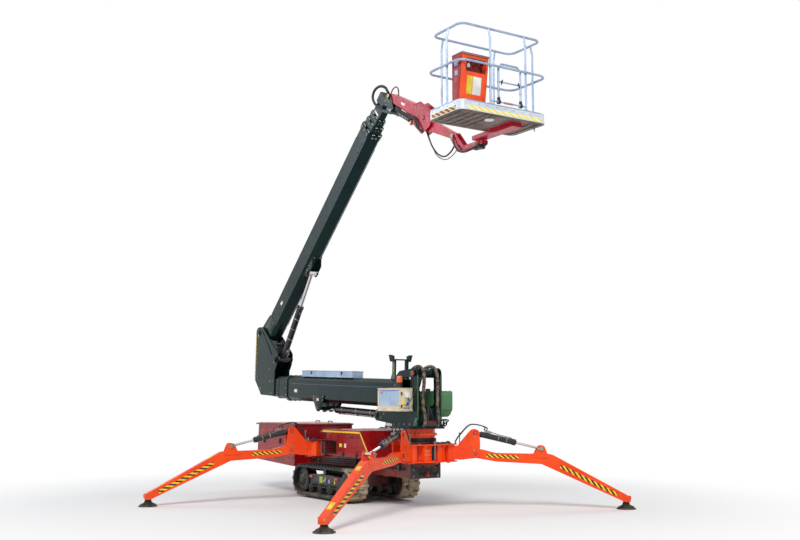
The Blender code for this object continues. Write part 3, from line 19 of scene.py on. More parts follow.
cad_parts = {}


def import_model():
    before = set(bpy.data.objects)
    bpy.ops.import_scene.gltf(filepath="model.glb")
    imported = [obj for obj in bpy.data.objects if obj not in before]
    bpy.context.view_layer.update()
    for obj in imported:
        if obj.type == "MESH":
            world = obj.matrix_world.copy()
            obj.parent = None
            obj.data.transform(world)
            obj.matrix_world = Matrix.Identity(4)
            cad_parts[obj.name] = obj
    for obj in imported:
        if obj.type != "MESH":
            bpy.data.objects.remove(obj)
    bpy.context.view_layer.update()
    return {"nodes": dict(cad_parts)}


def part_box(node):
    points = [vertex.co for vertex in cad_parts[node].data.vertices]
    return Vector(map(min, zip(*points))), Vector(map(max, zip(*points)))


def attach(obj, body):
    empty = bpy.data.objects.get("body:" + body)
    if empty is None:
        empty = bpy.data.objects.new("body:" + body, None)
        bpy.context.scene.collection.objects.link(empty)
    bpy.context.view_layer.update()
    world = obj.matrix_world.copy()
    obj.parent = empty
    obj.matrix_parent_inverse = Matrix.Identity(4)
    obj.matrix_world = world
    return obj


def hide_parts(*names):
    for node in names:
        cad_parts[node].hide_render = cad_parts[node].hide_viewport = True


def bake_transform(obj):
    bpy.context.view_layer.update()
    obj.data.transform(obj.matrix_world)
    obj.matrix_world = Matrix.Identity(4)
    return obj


LOG = logging.getLogger("spider_lift")
Point = Sequence[float]
NEAR, FAR = -1, 1


def tone(red: float, green: float, blue: float) -> tuple[float, float, float, float]:
    """Turn a screen colour of 0 to 255 into the linear colour that a shader takes.

    Args:
        red: red on screen.
        green: green on screen.
        blue: blue on screen.

    Returns:
        The linear colour with a full alpha.
    """
    parts = []
    for part in (red, green, blue):
        share = part / 255
        parts.append(share / 12.92 if share <= 0.04045 else ((share + 0.055) / 1.055) ** 2.4)
    return (*parts, 1.0)


class Graph:
    """A small helper that adds and links the nodes of one tree."""

    def __init__(self, tree: bpy.types.NodeTree) -> None:
        """Keep the tree and where the next node goes."""
        self.tree = tree
        self.column = 0

    def add(self, kind: str, links: dict | None = None, **settings) -> bpy.types.Node:
        """Add a node, set its values and join its inputs.

        Args:
            kind: the node's type.
            links: values or output sockets by input name or index.
            settings: attributes of the node itself.

        Returns:
            The new node.
        """
        node = self.tree.nodes.new(kind)
        node.location = (self.column * 180, 0)
        self.column += 1
        for name, value in settings.items():
            setattr(node, name, value)
        for key, value in (links or {}).items():
            if isinstance(value, bpy.types.NodeSocket):
                self.tree.links.new(value, node.inputs[key])
            else:
                node.inputs[key].default_value = value
        return node

    def maths(self, kind: str, *values: float | bpy.types.NodeSocket,
              clamp: bool = False) -> bpy.types.NodeSocket:
        """Add a Math node over numbers and sockets and return its result."""
        kinds = "ShaderNodeMath"
        node = self.add(kinds, dict(enumerate(values)), operation=kind, use_clamp=clamp)
        return node.outputs[0]

    def blend(self, share: bpy.types.NodeSocket, low: object, high: object) -> bpy.types.NodeSocket:
        """Mix two colours by a share and return the mixed colour."""
        node = self.add("ShaderNodeMix", {0: share, 6: low, 7: high}, data_type="RGBA")
        return node.outputs[2]

    def spread(self, value: bpy.types.NodeSocket, low: float, high: float,
               new_low: float = 0.0, new_high: float = 1.0) -> bpy.types.NodeSocket:
        """Stretch a value from one range to another, smoothly, and return it."""
        node = self.add("ShaderNodeMapRange", {0: value, 1: low, 2: high, 3: new_low, 4: new_high},
                        interpolation_type="SMOOTHSTEP")
        return node.outputs[0]

    def speckle(self, place: bpy.types.NodeSocket, scale: float, detail: float = 3.0) -> bpy.types.NodeSocket:
        """Add a noise over a place and return its value."""
        node = self.add("ShaderNodeTexNoise", {"Vector": place, "Scale": scale, "Detail": detail})
        return node.outputs[0]


@dataclass(frozen=True)
class Finish:
    """A finish of one piece: its colour, its gloss, its dust, its chips and its skin.

    dust is how much of it lies at the ground and dust_top the height where it ends.
    """

    name: str
    colour: tuple[float, float, float]
    second: tuple[float, float, float]
    rough: float = 0.35
    metal: float = 0.0
    coat: float = 0.0
    gloss: float = 0.5
    gloss_tint: tuple[float, float, float] = (255, 255, 255)
    dust: float = 0.0
    dust_top: float = 0.9
    dust_colour: tuple[float, float, float] = (168, 150, 122)
    chips: float = 0.0
    chip_colour: tuple[float, float, float] = (120, 116, 110)
    skin: float = 0.0
    skin_scale: float = 260.0
    grain: float = 3.0
    soft_edge: float = 0.0

    def material(self) -> bpy.types.Material:
        """Return the finish as a material, made once."""
        found = bpy.data.materials.get(self.name)
        return found if found else self._make()

    def _make(self) -> bpy.types.Material:
        """Build the material's nodes.

        Returns:
            The new material.
        """
        made = bpy.data.materials.new(self.name)
        made.use_nodes = True
        made.node_tree.nodes.clear()
        graph = Graph(made.node_tree)
        place = graph.add("ShaderNodeTexCoord").outputs["Object"]
        shader = graph.add("ShaderNodeBsdfPrincipled")
        colour = self.paint(graph, place)
        colour, rough = self._soil(graph, place, colour)
        normal = self._skin(graph, place)
        tree = made.node_tree
        tree.links.new(colour, shader.inputs["Base Color"])
        tree.links.new(rough, shader.inputs["Roughness"])
        if normal:
            tree.links.new(normal, shader.inputs["Normal"])
        shader.inputs["Metallic"].default_value = self.metal
        shader.inputs["Coat Weight"].default_value = self.coat
        shader.inputs["Coat Roughness"].default_value = 0.08
        shader.inputs["Specular IOR Level"].default_value = self.gloss
        shader.inputs["Specular Tint"].default_value = tone(*self.gloss_tint)
        self.shade(shader)
        out = graph.add("ShaderNodeOutputMaterial")
        tree.links.new(shader.outputs[0], out.inputs[0])
        return made

    def shade(self, shader: bpy.types.Node) -> None:
        """Set what only some finishes have, such as light that goes through."""

    def paint(self, graph: Graph, place: bpy.types.NodeSocket) -> bpy.types.NodeSocket:
        """Return the colour before dust and chips: two tones in broad clouds."""
        cloud = graph.spread(graph.speckle(place, self.grain), 0.35, 0.65)
        return graph.blend(cloud, tone(*self.colour), tone(*self.second))

    def _soil(self, graph: Graph, place: bpy.types.NodeSocket,
              colour: bpy.types.NodeSocket) -> tuple[bpy.types.NodeSocket, bpy.types.NodeSocket]:
        """Lay dust and chips over a colour.

        Args:
            graph: the material's tree.
            place: where each point lies.
            colour: the colour under the dust.

        Returns:
            The soiled colour and the roughness.
        """
        mottle = graph.speckle(place, 14.0, 4.0)
        rough = graph.spread(mottle, 0.3, 0.7, max(0.02, self.rough - 0.06), min(1.0, self.rough + 0.10))
        if self.dust > 0:
            height = graph.add("ShaderNodeSeparateXYZ", {0: place}).outputs[2]
            low = graph.spread(height, 0.0, self.dust_top, 1.0, 0.0)
            patch = graph.spread(graph.speckle(place, 7.0, 5.0), 0.38, 0.68)
            share = graph.maths("MULTIPLY", graph.maths("MULTIPLY", low, patch), self.dust, clamp=True)
            colour = graph.blend(share, colour, tone(*self.dust_colour))
            rough = graph.maths("ADD", rough, graph.maths("MULTIPLY", share, 0.45), clamp=True)
        if self.chips > 0:
            bevel = graph.add("ShaderNodeBevel", {0: 0.007}, samples=4).outputs[0]
            flat = graph.add("ShaderNodeNewGeometry").outputs["Normal"]
            near = graph.add("ShaderNodeVectorMath", {0: bevel, 1: flat},
                             operation="DOT_PRODUCT").outputs["Value"]
            edge = graph.spread(near, 0.992, 0.90, 0.0, 1.0)
            flake = graph.spread(graph.speckle(place, 32.0, 5.0), 0.53, 0.60)
            share = graph.maths("MULTIPLY", graph.maths("MULTIPLY", edge, flake), self.chips, clamp=True)
            colour = graph.blend(share, colour, tone(*self.chip_colour))
        return colour, rough

    def _skin(self, graph: Graph, place: bpy.types.NodeSocket) -> bpy.types.NodeSocket | None:
        """Return the normal of the fine skin over softened edges, or None where there is neither.

        Args:
            graph: the material's tree.
            place: where each point lies.

        Returns:
            The normal, or None.
        """
        base = None
        if self.soft_edge > 0:
            base = graph.add("ShaderNodeBevel", {0: self.soft_edge}, samples=4).outputs[0]
        if self.skin <= 0:
            return base
        height = graph.speckle(place, self.skin_scale, 2.0)
        links = {"Strength": 0.16, "Distance": self.skin, "Height": height}
        if base:
            links["Normal"] = base
        return graph.add("ShaderNodeBump", links).outputs[0]


@dataclass(frozen=True)
class FrameFinish(Finish):
    """The chassis paint, which is black on the track frames outside the middle."""

    middle_y: float = 0.0
    black_from: float = 0.300
    black: tuple[float, float, float] = (26, 25, 26)

    def paint(self, graph: Graph, place: bpy.types.NodeSocket) -> bpy.types.NodeSocket:
        """Return the paint in the middle and black outside it."""
        plain = super().paint(graph, place)
        side = graph.add("ShaderNodeSeparateXYZ", {0: place}).outputs[1]
        out = graph.maths("ABSOLUTE", graph.maths("SUBTRACT", side, self.middle_y))
        return graph.blend(graph.maths("GREATER_THAN", out, self.black_from), plain, tone(*self.black))


@dataclass(frozen=True)
class TreadFinish(Finish):
    """Track rubber that dried mud covers towards the end that the turret is over."""

    mud_from: float = 0.0
    mud_to: float = 1.0
    mud: tuple[float, float, float] = (186, 170, 140)

    def paint(self, graph: Graph, place: bpy.types.NodeSocket) -> bpy.types.NodeSocket:
        """Return the rubber with mud on it in patches.

        Args:
            graph: the material's tree.
            place: where each point lies.

        Returns:
            The colour.
        """
        plain = super().paint(graph, place)
        along = graph.add("ShaderNodeSeparateXYZ", {0: place}).outputs[0]
        reach = graph.spread(along, self.mud_from, self.mud_to)
        patch = graph.spread(graph.speckle(place, 11.0, 6.0), 0.30, 0.52)
        share = graph.maths("MULTIPLY", reach, patch, clamp=True)
        return graph.blend(share, plain, tone(*self.mud))


@dataclass(frozen=True)
class HazardFinish(Finish):
    """Slanted stripes in two colours along a strip's own length."""

    other: tuple[float, float, float] = (22, 22, 24)
    slant: float = 0.9

    def paint(self, graph: Graph, place: bpy.types.NodeSocket) -> bpy.types.NodeSocket:
        """Return the stripes, which follow the strip's own map.

        Args:
            graph: the material's tree.
            place: where each point lies.

        Returns:
            The colour.
        """
        chart = graph.add("ShaderNodeUVMap").outputs[0]
        parts = graph.add("ShaderNodeSeparateXYZ", {0: chart})
        lean = graph.maths("MULTIPLY", parts.outputs[1], self.slant)
        phase = graph.maths("FRACT", graph.maths("ADD", parts.outputs[0], lean))
        dark = graph.maths("GREATER_THAN", phase, 0.5)
        worn = graph.spread(graph.speckle(place, 60.0, 4.0), 0.30, 0.42)
        base = graph.blend(worn, tone(*self.second), tone(*self.colour))
        return graph.blend(dark, base, tone(*self.other))


@dataclass(frozen=True)
class SignFinish(Finish):
    """A blank sign: a plain field with a frame line and a plain bar along its head."""

    bar: tuple[float, float, float] = (60, 96, 170)
    bar_from: float = 0.93

    def paint(self, graph: Graph, place: bpy.types.NodeSocket) -> bpy.types.NodeSocket:
        """Return the field, its frame line and its bar, by the sign's own map.

        Args:
            graph: the material's tree.
            place: where each point lies.

        Returns:
            The colour.
        """
        chart = graph.add("ShaderNodeUVMap").outputs[0]
        parts = graph.add("ShaderNodeSeparateXYZ", {0: chart})
        cloud = graph.spread(graph.speckle(place, 5.0), 0.3, 0.7)
        field_colour = graph.blend(cloud, tone(*self.colour), tone(*self.second))
        head = graph.maths("GREATER_THAN", parts.outputs[1], self.bar_from)
        topped = graph.blend(head, field_colour, tone(*self.bar))
        off_x = graph.maths("ABSOLUTE", graph.maths("SUBTRACT", parts.outputs[0], 0.5))
        off_y = graph.maths("ABSOLUTE", graph.maths("SUBTRACT", parts.outputs[1], 0.5))
        rim = graph.maths("GREATER_THAN", graph.maths("MAXIMUM", off_x, off_y), 0.485)
        return graph.blend(rim, topped, tone(*self.second))


@dataclass(frozen=True)
class LampFinish(Finish):
    """Clear coloured plastic that some light goes through."""

    through: float = 0.35
    glow: float = 0.0

    def shade(self, shader: bpy.types.Node) -> None:
        """Let light through the plastic."""
        shader.inputs["Transmission Weight"].default_value = self.through
        if self.glow > 0:
            shader.inputs["Emission Color"].default_value = tone(*self.colour)
            shader.inputs["Emission Strength"].default_value = self.glow


class Finishes(Enum):
    """The finishes that do not depend on where the machine stands."""

    ORANGE = Finish("outrigger_orange", (250, 80, 14), (240, 64, 8), 0.32, coat=0.10, gloss=0.3, dust=0.06,
                    dust_top=0.5, chips=0.8, chip_colour=(150, 60, 30), skin=0.0002, soft_edge=0.004)
    RED = Finish("cover_red", (150, 8, 14), (128, 4, 10), 0.30, coat=0.15, gloss=0.3, dust=0.07, dust_top=0.8,
                 chips=0.5, chip_colour=(120, 60, 50), skin=0.0002, soft_edge=0.005)
    CRIMSON = Finish("jib_crimson", (186, 22, 54), (168, 14, 42), 0.32, coat=0.10, gloss=0.3, chips=0.5,
                     chip_colour=(230, 150, 90), skin=0.0002, soft_edge=0.004)
    BOOM = Finish("boom_green", (12, 34, 30), (8, 24, 24), 0.22, coat=0.05, gloss=0.22,
                  gloss_tint=(150, 205, 225),
                  skin=0.0002, chips=0.4, chip_colour=(70, 92, 70), soft_edge=0.004, grain=1.2)
    BODY_GREEN = Finish("weight_green", (88, 138, 96), (74, 122, 82), 0.38, coat=0.1, gloss=0.3, dust=0.0,
                        chips=0.5, chip_colour=(60, 84, 60), skin=0.001, skin_scale=70.0, soft_edge=0.004)
    POST_GREEN = Finish("post_green", (44, 84, 56), (34, 70, 46), 0.35, coat=0.2, chips=0.7,
                        chip_colour=(110, 130, 100), skin=0.0006, soft_edge=0.003)
    CREAM = Finish("box_cream", (226, 214, 188), (208, 194, 166), 0.42, chips=0.5, chip_colour=(120, 112, 98),
                   skin=0.0005, soft_edge=0.003)
    BLACK = Finish("satin_black", (24, 24, 27), (34, 33, 34), 0.42, dust=0.12, skin=0.0006, soft_edge=0.002)
    BARREL = Finish("ram_black", (20, 21, 25), (30, 31, 36), 0.20, coat=0.3, gloss=0.4, skin=0.0002,
                    soft_edge=0.002)
    ENGINE = Finish("engine_iron", (40, 40, 42), (56, 52, 48), 0.55, metal=0.3, skin=0.003, skin_scale=90.0)
    CHROME = Finish("chromed_rod", (214, 216, 220), (198, 200, 206), 0.10, metal=1.0)
    STEEL = Finish("bright_steel", (150, 150, 150), (120, 118, 116), 0.34, metal=1.0, skin=0.0004)
    DARK_STEEL = Finish("dark_steel", (66, 66, 68), (48, 48, 50), 0.42, metal=0.9, skin=0.0006)
    ALUMINIUM = Finish("rail_aluminium", (166, 184, 208), (146, 166, 194), 0.38, metal=0.5, skin=0.0002,
                       grain=6.0, soft_edge=0.002)
    PAN = Finish("pan_aluminium", (214, 222, 232), (194, 204, 216), 0.42, metal=0.25, skin=0.0003,
                 skin_scale=160.0, grain=5.0, soft_edge=0.003)
    # A darker, browner copy of the pan's aluminium: painted shade for the underside of the basket's floor.
    PAN_SHADE = Finish("pan_painted_shade", (128, 114, 104), (96, 84, 78), 0.50, metal=0.3, skin=0.0008,
                       skin_scale=160.0, grain=4.0, soft_edge=0.003)
    CONSOLE_RED = Finish("console_red", (150, 10, 18), (128, 6, 14), 0.34, gloss=0.3, skin=0.0002,
                         soft_edge=0.003)
    CONSOLE = Finish("console_orange", (250, 84, 12), (238, 70, 8), 0.34, coat=0.2, chips=0.5,
                     chip_colour=(150, 70, 40), skin=0.0006, soft_edge=0.004)
    HOSE = Finish("hose_rubber", (22, 23, 26), (32, 32, 35), 0.55, skin=0.0005, skin_scale=400.0)
    GUARD = Finish("hose_guard", (124, 108, 86), (34, 30, 28), 0.66, skin=0.0012, skin_scale=160.0,
                   grain=16.0)
    CABLE = Finish("thin_cable", (28, 28, 32), (38, 38, 42), 0.45)
    GRILLE = Finish("grille_black", (18, 18, 20), (30, 28, 28), 0.50, skin=0.0006)
    WHITE = Finish("white_plastic", (232, 232, 230), (214, 214, 214), 0.35, skin=0.0003)
    YELLOW = Finish("yellow_line", (240, 206, 30), (228, 188, 20), 0.40, chips=0.3, chip_colour=(170, 40, 30))
    BLUE_LINE = Finish("blue_line", (38, 66, 112), (30, 54, 96), 0.30)
    BLUE = Finish("blue_plastic", (40, 130, 220), (30, 110, 200), 0.35)
    RED_CAP = Finish("red_plastic", (206, 26, 22), (184, 18, 16), 0.30)
    RUBBER = Finish("foot_rubber", (26, 26, 28), (40, 38, 37), 0.80, dust=0.35, dust_top=0.10, skin=0.001)
    ZINC = Finish("zinc_bolts", (172, 168, 150), (140, 134, 118), 0.36, metal=0.9, skin=0.0003)
    BRASS = Finish("brass_fittings", (190, 160, 90), (160, 130, 70), 0.30, metal=1.0)
    TAPE = HazardFinish("hazard_tape", (246, 206, 22), (214, 168, 30), 0.42, skin=0.0002)
    PAN_TAPE = HazardFinish("basket_tape", (236, 170, 40), (220, 150, 30), 0.42, other=(28, 36, 58))
    PALE_TAPE = HazardFinish("pale_tape", (250, 226, 60), (244, 214, 40), 0.42, other=(232, 232, 230))
    # The box sign's grey-blue field and frame line paint the shade of the control box's near side.
    SIGN = SignFinish("box_sign", (176, 200, 226), (150, 176, 206), 0.30)
    SMALL_SIGN = SignFinish("side_sign", (150, 160, 208), (130, 140, 190), 0.30, bar_from=2.0)
    WHITE_SIGN = SignFinish("white_sign", (240, 240, 238), (214, 212, 208), 0.30, bar_from=2.0)
    YELLOW_SIGN = SignFinish("yellow_sign", (238, 226, 60), (206, 190, 40), 0.32, bar_from=2.0)
    GREEN_SIGN = SignFinish("green_sign", (190, 210, 50), (150, 170, 36), 0.34, bar_from=2.0)
    AMBER = LampFinish("amber_lamp", (250, 120, 12), (240, 100, 8), 0.12, coat=0.5, through=0.25, glow=0.12)
    RED_LAMP = LampFinish("red_lamp", (230, 30, 14), (214, 22, 10), 0.14, coat=0.5, through=0.2, glow=0.10)


@dataclass(frozen=True)
class Bridge:
    """Two bodies that one joint joins and two places on either side of it; a hose over it rides on neither
    body.
    """

    first: str
    second: str
    start: tuple[float, float, float]
    end: tuple[float, float, float]


class Draft:
    """A mesh that is drawn shape by shape in the frame of one body."""

    def __init__(self, frame: Matrix | None = None) -> None:
        """Start an empty mesh in a frame, or in the machine's own."""
        self.frame = frame.copy() if frame else Matrix.Identity(4)
        self.shape = bmesh.new()
        self.chart = self.shape.loops.layers.uv.new("UVMap")

    def _soften(self, verts: Iterable[bmesh.types.BMVert], soft: float, steps: int = 2) -> None:
        """Round the edges between the given points.

        Args:
            verts: the points.
            soft: how wide the rounding is.
            steps: how many steps it has.
        """
        if soft <= 0:
            return
        chosen = set(verts)
        edges = [e for e in self.shape.edges if e.verts[0] in chosen and e.verts[1] in chosen]
        sharp = [e for e in edges if len(e.link_faces) == 2 and e.calc_face_angle(0) > 0.5]
        bmesh.ops.bevel(self.shape, geom=sharp, offset=soft, segments=steps, profile=0.5, affect="EDGES",
                        clamp_overlap=True)

    def box(self, size: Point, centre: Point, turn: Matrix | None = None, soft: float = 0.003) -> "Draft":
        """Add a box with rounded edges.

        Args:
            size: its three sides.
            centre: its middle.
            turn: how it is turned about its middle.
            soft: the radius of its edges.

        Returns:
            The draft.
        """
        grow = Matrix.Diagonal((*size, 1.0))
        turned = turn.to_4x4() if turn else Matrix.Identity(4)
        matrix = Matrix.Translation(centre) @ turned @ grow
        made = bmesh.ops.create_cube(self.shape, size=1.0, matrix=matrix)
        self._soften(made["verts"], min(soft, min(size) * 0.4))
        return self

    def rod(self, start: Point, end: Point, radius: float, end_radius: float | None = None,
            steps: int = 20, soft: float = 0.0) -> "Draft":
        """Add a round bar or cone between two places.

        Args:
            start: the middle of one end.
            end: the middle of the other end.
            radius: its radius at the start.
            end_radius: its radius at the end, where that differs.
            steps: its sides.
            soft: the radius of its rims.

        Returns:
            The draft.
        """
        low, high = Vector(start), Vector(end)
        along = high - low
        turn = Vector((0, 0, 1)).rotation_difference(along.normalized()).to_matrix().to_4x4()
        matrix = Matrix.Translation((low + high) / 2) @ turn
        made = bmesh.ops.create_cone(self.shape, cap_ends=True, segments=steps, radius1=radius,
                                     radius2=radius if end_radius is None else end_radius,
                                     depth=along.length, matrix=matrix)
        if soft > 0:
            chosen = set(made["verts"])
            rims = [e for e in self.shape.edges if e.verts[0] in chosen and e.verts[1] in chosen
                    and any(len(f.verts) > 4 for f in e.link_faces)]
            bmesh.ops.bevel(self.shape, geom=rims, offset=soft, segments=2, profile=0.5, affect="EDGES")
        return self

    def plate(self, outline: Sequence[Point], thickness: float, middle: float, plane: str = "XZ",
              soft: float = 0.002) -> "Draft":
        """Add a flat plate with a given outline.

        Args:
            outline: its corners in order, in the plane's own two axes.
            thickness: how thick it is.
            middle: where its middle lies on the third axis.
            plane: the two axes of the outline, as XZ, XY or YZ.
            soft: the radius of its edges.

        Returns:
            The draft.
        """
        rows = []
        for side in (-0.5, 0.5):
            level = middle + side * thickness
            row = []
            for a, b in outline:
                place = {"XZ": (a, level, b), "XY": (a, b, level), "YZ": (level, a, b)}[plane]
                row.append(self.shape.verts.new(place))
            rows.append(row)
        count = len(outline)
        faces = [self.shape.faces.new(rows[0]), self.shape.faces.new(rows[1][::-1])]
        for index in range(count):
            after = (index + 1) % count
            faces.append(self.shape.faces.new((rows[0][index], rows[1][index], rows[1][after],
                                               rows[0][after])))
        bmesh.ops.recalc_face_normals(self.shape, faces=faces)
        if soft > 0:
            chosen = {v for row in rows for v in row}
            rims = [e for face in faces[:2] for e in face.edges if set(e.verts) <= chosen]
            bmesh.ops.bevel(self.shape, geom=list(set(rims)), offset=min(soft, thickness * 0.4), segments=2,
                            profile=0.5, affect="EDGES", clamp_overlap=True)
        return self

    def lathe(self, profile: Sequence[Point], base: Point, axis: Point = (0, 0, 1),
              steps: int = 28) -> "Draft":
        """Add a turned shape: a ring where its first and last radius are equal, else closed at both ends.

        Args:
            profile: radius and height of each ring, from the base upwards.
            base: where the axis starts.
            axis: which way it goes.
            steps: its sides.

        Returns:
            The draft.
        """
        turn = Vector((0, 0, 1)).rotation_difference(Vector(axis).normalized()).to_matrix().to_4x4()
        matrix = Matrix.Translation(base) @ turn
        rings = []
        for radius, height in profile:
            ring = []
            for step in range(steps):
                angle = 2 * math.pi * step / steps
                point = Vector((max(radius, 1e-4) * math.cos(angle), max(radius, 1e-4) * math.sin(angle),
                                height))
                ring.append(self.shape.verts.new(matrix @ point))
            rings.append(ring)
        for low, high in zip(rings, rings[1:]):
            for step in range(steps):
                after = (step + 1) % steps
                self.shape.faces.new((low[step], low[after], high[after], high[step]))
        if len(profile) > 2 and profile[0][0] == profile[-1][0]:
            for step in range(steps):
                after = (step + 1) % steps
                self.shape.faces.new((rings[-1][step], rings[-1][after], rings[0][after], rings[0][step]))
            return self
        self.shape.faces.new(rings[0][::-1])
        self.shape.faces.new(rings[-1])
        return self

    def strip(self, corners: Sequence[Point], lift: float, stripes: float) -> "Draft":
        """Add a thin strip over four corners, with a map of its own for stripes or a sign.

        Args:
            corners: the four corners in order, seen from outside, along the strip first.
            lift: how thick it is.
            stripes: how many times its map repeats along it.

        Returns:
            The draft.
        """
        points = [Vector(corner) for corner in corners]
        out = (points[1] - points[0]).cross(points[3] - points[0]).normalized() * lift
        low = [self.shape.verts.new(p) for p in points]
        high = [self.shape.verts.new(p + out) for p in points]
        chart = {}
        for index, (u, v) in enumerate(((0, 0), (stripes, 0), (stripes, 1), (0, 1))):
            chart[low[index]] = (u, v)
            chart[high[index]] = (u, v)
        faces = [self.shape.faces.new(high), self.shape.faces.new(low[::-1])]
        for index in range(4):
            after = (index + 1) % 4
            faces.append(self.shape.faces.new((low[index], low[after], high[after], high[index])))
        for face in faces:
            for loop in face.loops:
                loop[self.chart].uv = chart[loop.vert]
        return self

    def label(self, centre: Point, right: Point, up: Point, width: float, height: float, lift: float = 0.0008,
              stripes: float = 1.0) -> "Draft":
        """Add a thin upright strip about a place on a face.

        Args:
            centre: its middle, on the face.
            right: its own rightward direction, seen from outside.
            up: its own upward direction.
            width: how wide it is.
            height: how high it is.
            lift: how thick it is.
            stripes: how many times its map repeats along it.

        Returns:
            The draft.
        """
        across = Vector(right).normalized() * width / 2
        rise = Vector(up).normalized() * height / 2
        middle = Vector(centre)
        corners = [middle - across - rise, middle + across - rise, middle + across + rise,
                   middle - across + rise]
        return self.strip(corners, lift, stripes)

    def keep(self, name: str, body: str | Bridge, finish: Finishes | Finish, slot: str = "",
             smooth: float = 32.0) -> bpy.types.Object:
        """Name the drawn piece, finish it and hang it on its body.

        Args:
            name: the piece's name.
            body: the body that it rides on.
            finish: its finish.
            slot: the record's material slot, where it has one; not used.
            smooth: the angle in degrees above which an edge stays sharp.

        Returns:
            The finished piece.
        """
        mesh = bpy.data.meshes.new(name)
        self.shape.transform(self.frame)
        bmesh.ops.recalc_face_normals(self.shape, faces=self.shape.faces)
        self.shape.to_mesh(mesh)
        self.shape.free()
        made = bpy.data.objects.new(name, mesh)
        bpy.context.scene.collection.objects.link(made)
        return settle(made, body, finish, smooth)


def settle(piece: bpy.types.Object, body: str | Bridge, finish: Finishes | Finish,
           smooth: float = 32.0) -> bpy.types.Object:
    """Give a piece its finish, shade it and let it ride on its body.

    Args:
        piece: a mesh object at the origin.
        body: the body that it rides on, or a bridge between two, where it is only set in place and rides on
            neither.
        finish: its finish.
        smooth: the angle in degrees above which an edge stays sharp.

    Returns:
        The piece.
    """
    chosen = finish.value if isinstance(finish, Finishes) else finish
    piece.data.materials.clear()
    piece.data.materials.append(chosen.material())
    piece.data.shade_smooth()
    piece.data.set_sharp_from_angle(angle=math.radians(smooth))
    if isinstance(body, Bridge):
        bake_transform(piece)
    else:
        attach(piece, body)
    LOG.info("piece %s: %d faces", piece.name, len(piece.data.polygons))
    return piece


def smooth_path(points: Sequence[Point], steps: int = 8) -> list[Vector]:
    """Round a line through its points with an even curve.

    Args:
        points: the places that the curve goes through.
        steps: how many pieces each part of it gets.

    Returns:
        The points of the curve.
    """
    held = [Vector(p) for p in points]
    row = [held[0] * 2 - held[1], *held, held[-1] * 2 - held[-2]]
    made = []
    for index in range(len(held) - 1):
        a, b, c, d = row[index:index + 4]
        for step in range(steps):
            t = step / steps
            made.append(0.5 * ((2 * b) + (c - a) * t + (2 * a - 5 * b + 4 * c - d) * t * t
                               + (3 * b - a - 3 * c + d) * t ** 3))
    made.append(held[-1])
    return made


def path_length(points: Sequence[Vector]) -> float:
    """Return the length of a line of points."""
    return sum((b - a).length for a, b in zip(points, points[1:]))


class Tree:
    """A Geometry Nodes tree with named inputs that ends in Realize Instances and Set Material."""

    def __init__(self, name: str, inputs: Sequence[tuple[str, str, object]]) -> None:
        """Make the tree with its geometry socket and its named inputs.

        Args:
            name: the tree's name.
            inputs: the name, socket type and first value of each input.
        """
        self.group = bpy.data.node_groups.new(name, "GeometryNodeTree")
        face = self.group.interface
        face.new_socket(name="Geometry", in_out="INPUT", socket_type="NodeSocketGeometry")
        for label, kind, value in inputs:
            socket = face.new_socket(name=label, in_out="INPUT", socket_type=kind)
            if value is not None:
                socket.default_value = value
        face.new_socket(name="Material", in_out="INPUT", socket_type="NodeSocketMaterial")
        face.new_socket(name="Geometry", in_out="OUTPUT", socket_type="NodeSocketGeometry")
        self.graph = Graph(self.group)
        self.given = self.graph.add("NodeGroupInput")

    def value(self, name: str) -> bpy.types.NodeSocket:
        """Return the socket of a named input."""
        return self.given.outputs[name]

    def close(self, shapes: bpy.types.NodeSocket) -> "Tree":
        """End the tree in real faces with their material.

        Args:
            shapes: the geometry that the tree has made.

        Returns:
            The tree.
        """
        real = self.graph.add("GeometryNodeRealizeInstances", {0: shapes})
        dressed = self.graph.add("GeometryNodeSetMaterial", {"Geometry": real.outputs[0],
                                                             "Material": self.value("Material")})
        out = self.graph.add("NodeGroupOutput")
        self.group.links.new(dressed.outputs[0], out.inputs[0])
        return self

    def apply(self, seed: bpy.types.Object, name: str, body: str | Bridge, finish: Finishes | Finish,
              values: dict[str, object], slot: str = "", smooth: float = 32.0,
              frame: Matrix | None = None) -> bpy.types.Object:
        """Run the tree on a mesh and keep its result as a plain piece.

        Args:
            seed: the mesh that the tree starts from. It is removed.
            name: the new piece's name.
            body: the body that it rides on.
            finish: its finish.
            values: the tree's inputs by name.
            slot: the record's material slot, where it has one; not used.
            smooth: the angle in degrees above which an edge stays sharp.
            frame: where the result is set, if the tree made it about the origin.

        Returns:
            The finished piece.
        """
        chosen = finish.value if isinstance(finish, Finishes) else finish
        modifier = seed.modifiers.new(self.group.name, "NODES")
        modifier.node_group = self.group
        for item in self.group.interface.items_tree:
            if item.item_type != "SOCKET" or item.in_out != "INPUT":
                continue
            if item.name == "Material":
                modifier[item.identifier] = chosen.material()
            elif item.name in values:
                modifier[item.identifier] = values[item.name]
        shown = bpy.context.evaluated_depsgraph_get()
        mesh = bpy.data.meshes.new_from_object(seed.evaluated_get(shown))
        seed.modifiers.clear()
        bpy.data.objects.remove(seed)
        mesh.name = name
        if frame:
            mesh.transform(frame)
        made = bpy.data.objects.new(name, mesh)
        bpy.context.scene.collection.objects.link(made)
        tidy = bmesh.new()
        tidy.from_mesh(mesh)
        bmesh.ops.recalc_face_normals(tidy, faces=tidy.faces)
        tidy.to_mesh(mesh)
        tidy.free()
        return settle(made, body, chosen, smooth)


def line_seed(points: Sequence[Point], closed: bool = False) -> bpy.types.Object:
    """Make a mesh of edges along points, for a tree to follow.

    Args:
        points: the places in order.
        closed: whether the line comes back to its start.

    Returns:
        The mesh object.
    """
    mesh = bpy.data.meshes.new("seed")
    edges = [(i, i + 1) for i in range(len(points) - 1)]
    if closed:
        edges.append((len(points) - 1, 0))
    mesh.from_pydata([tuple(p) for p in points], edges, [])
    made = bpy.data.objects.new("seed", mesh)
    bpy.context.scene.collection.objects.link(made)
    return made


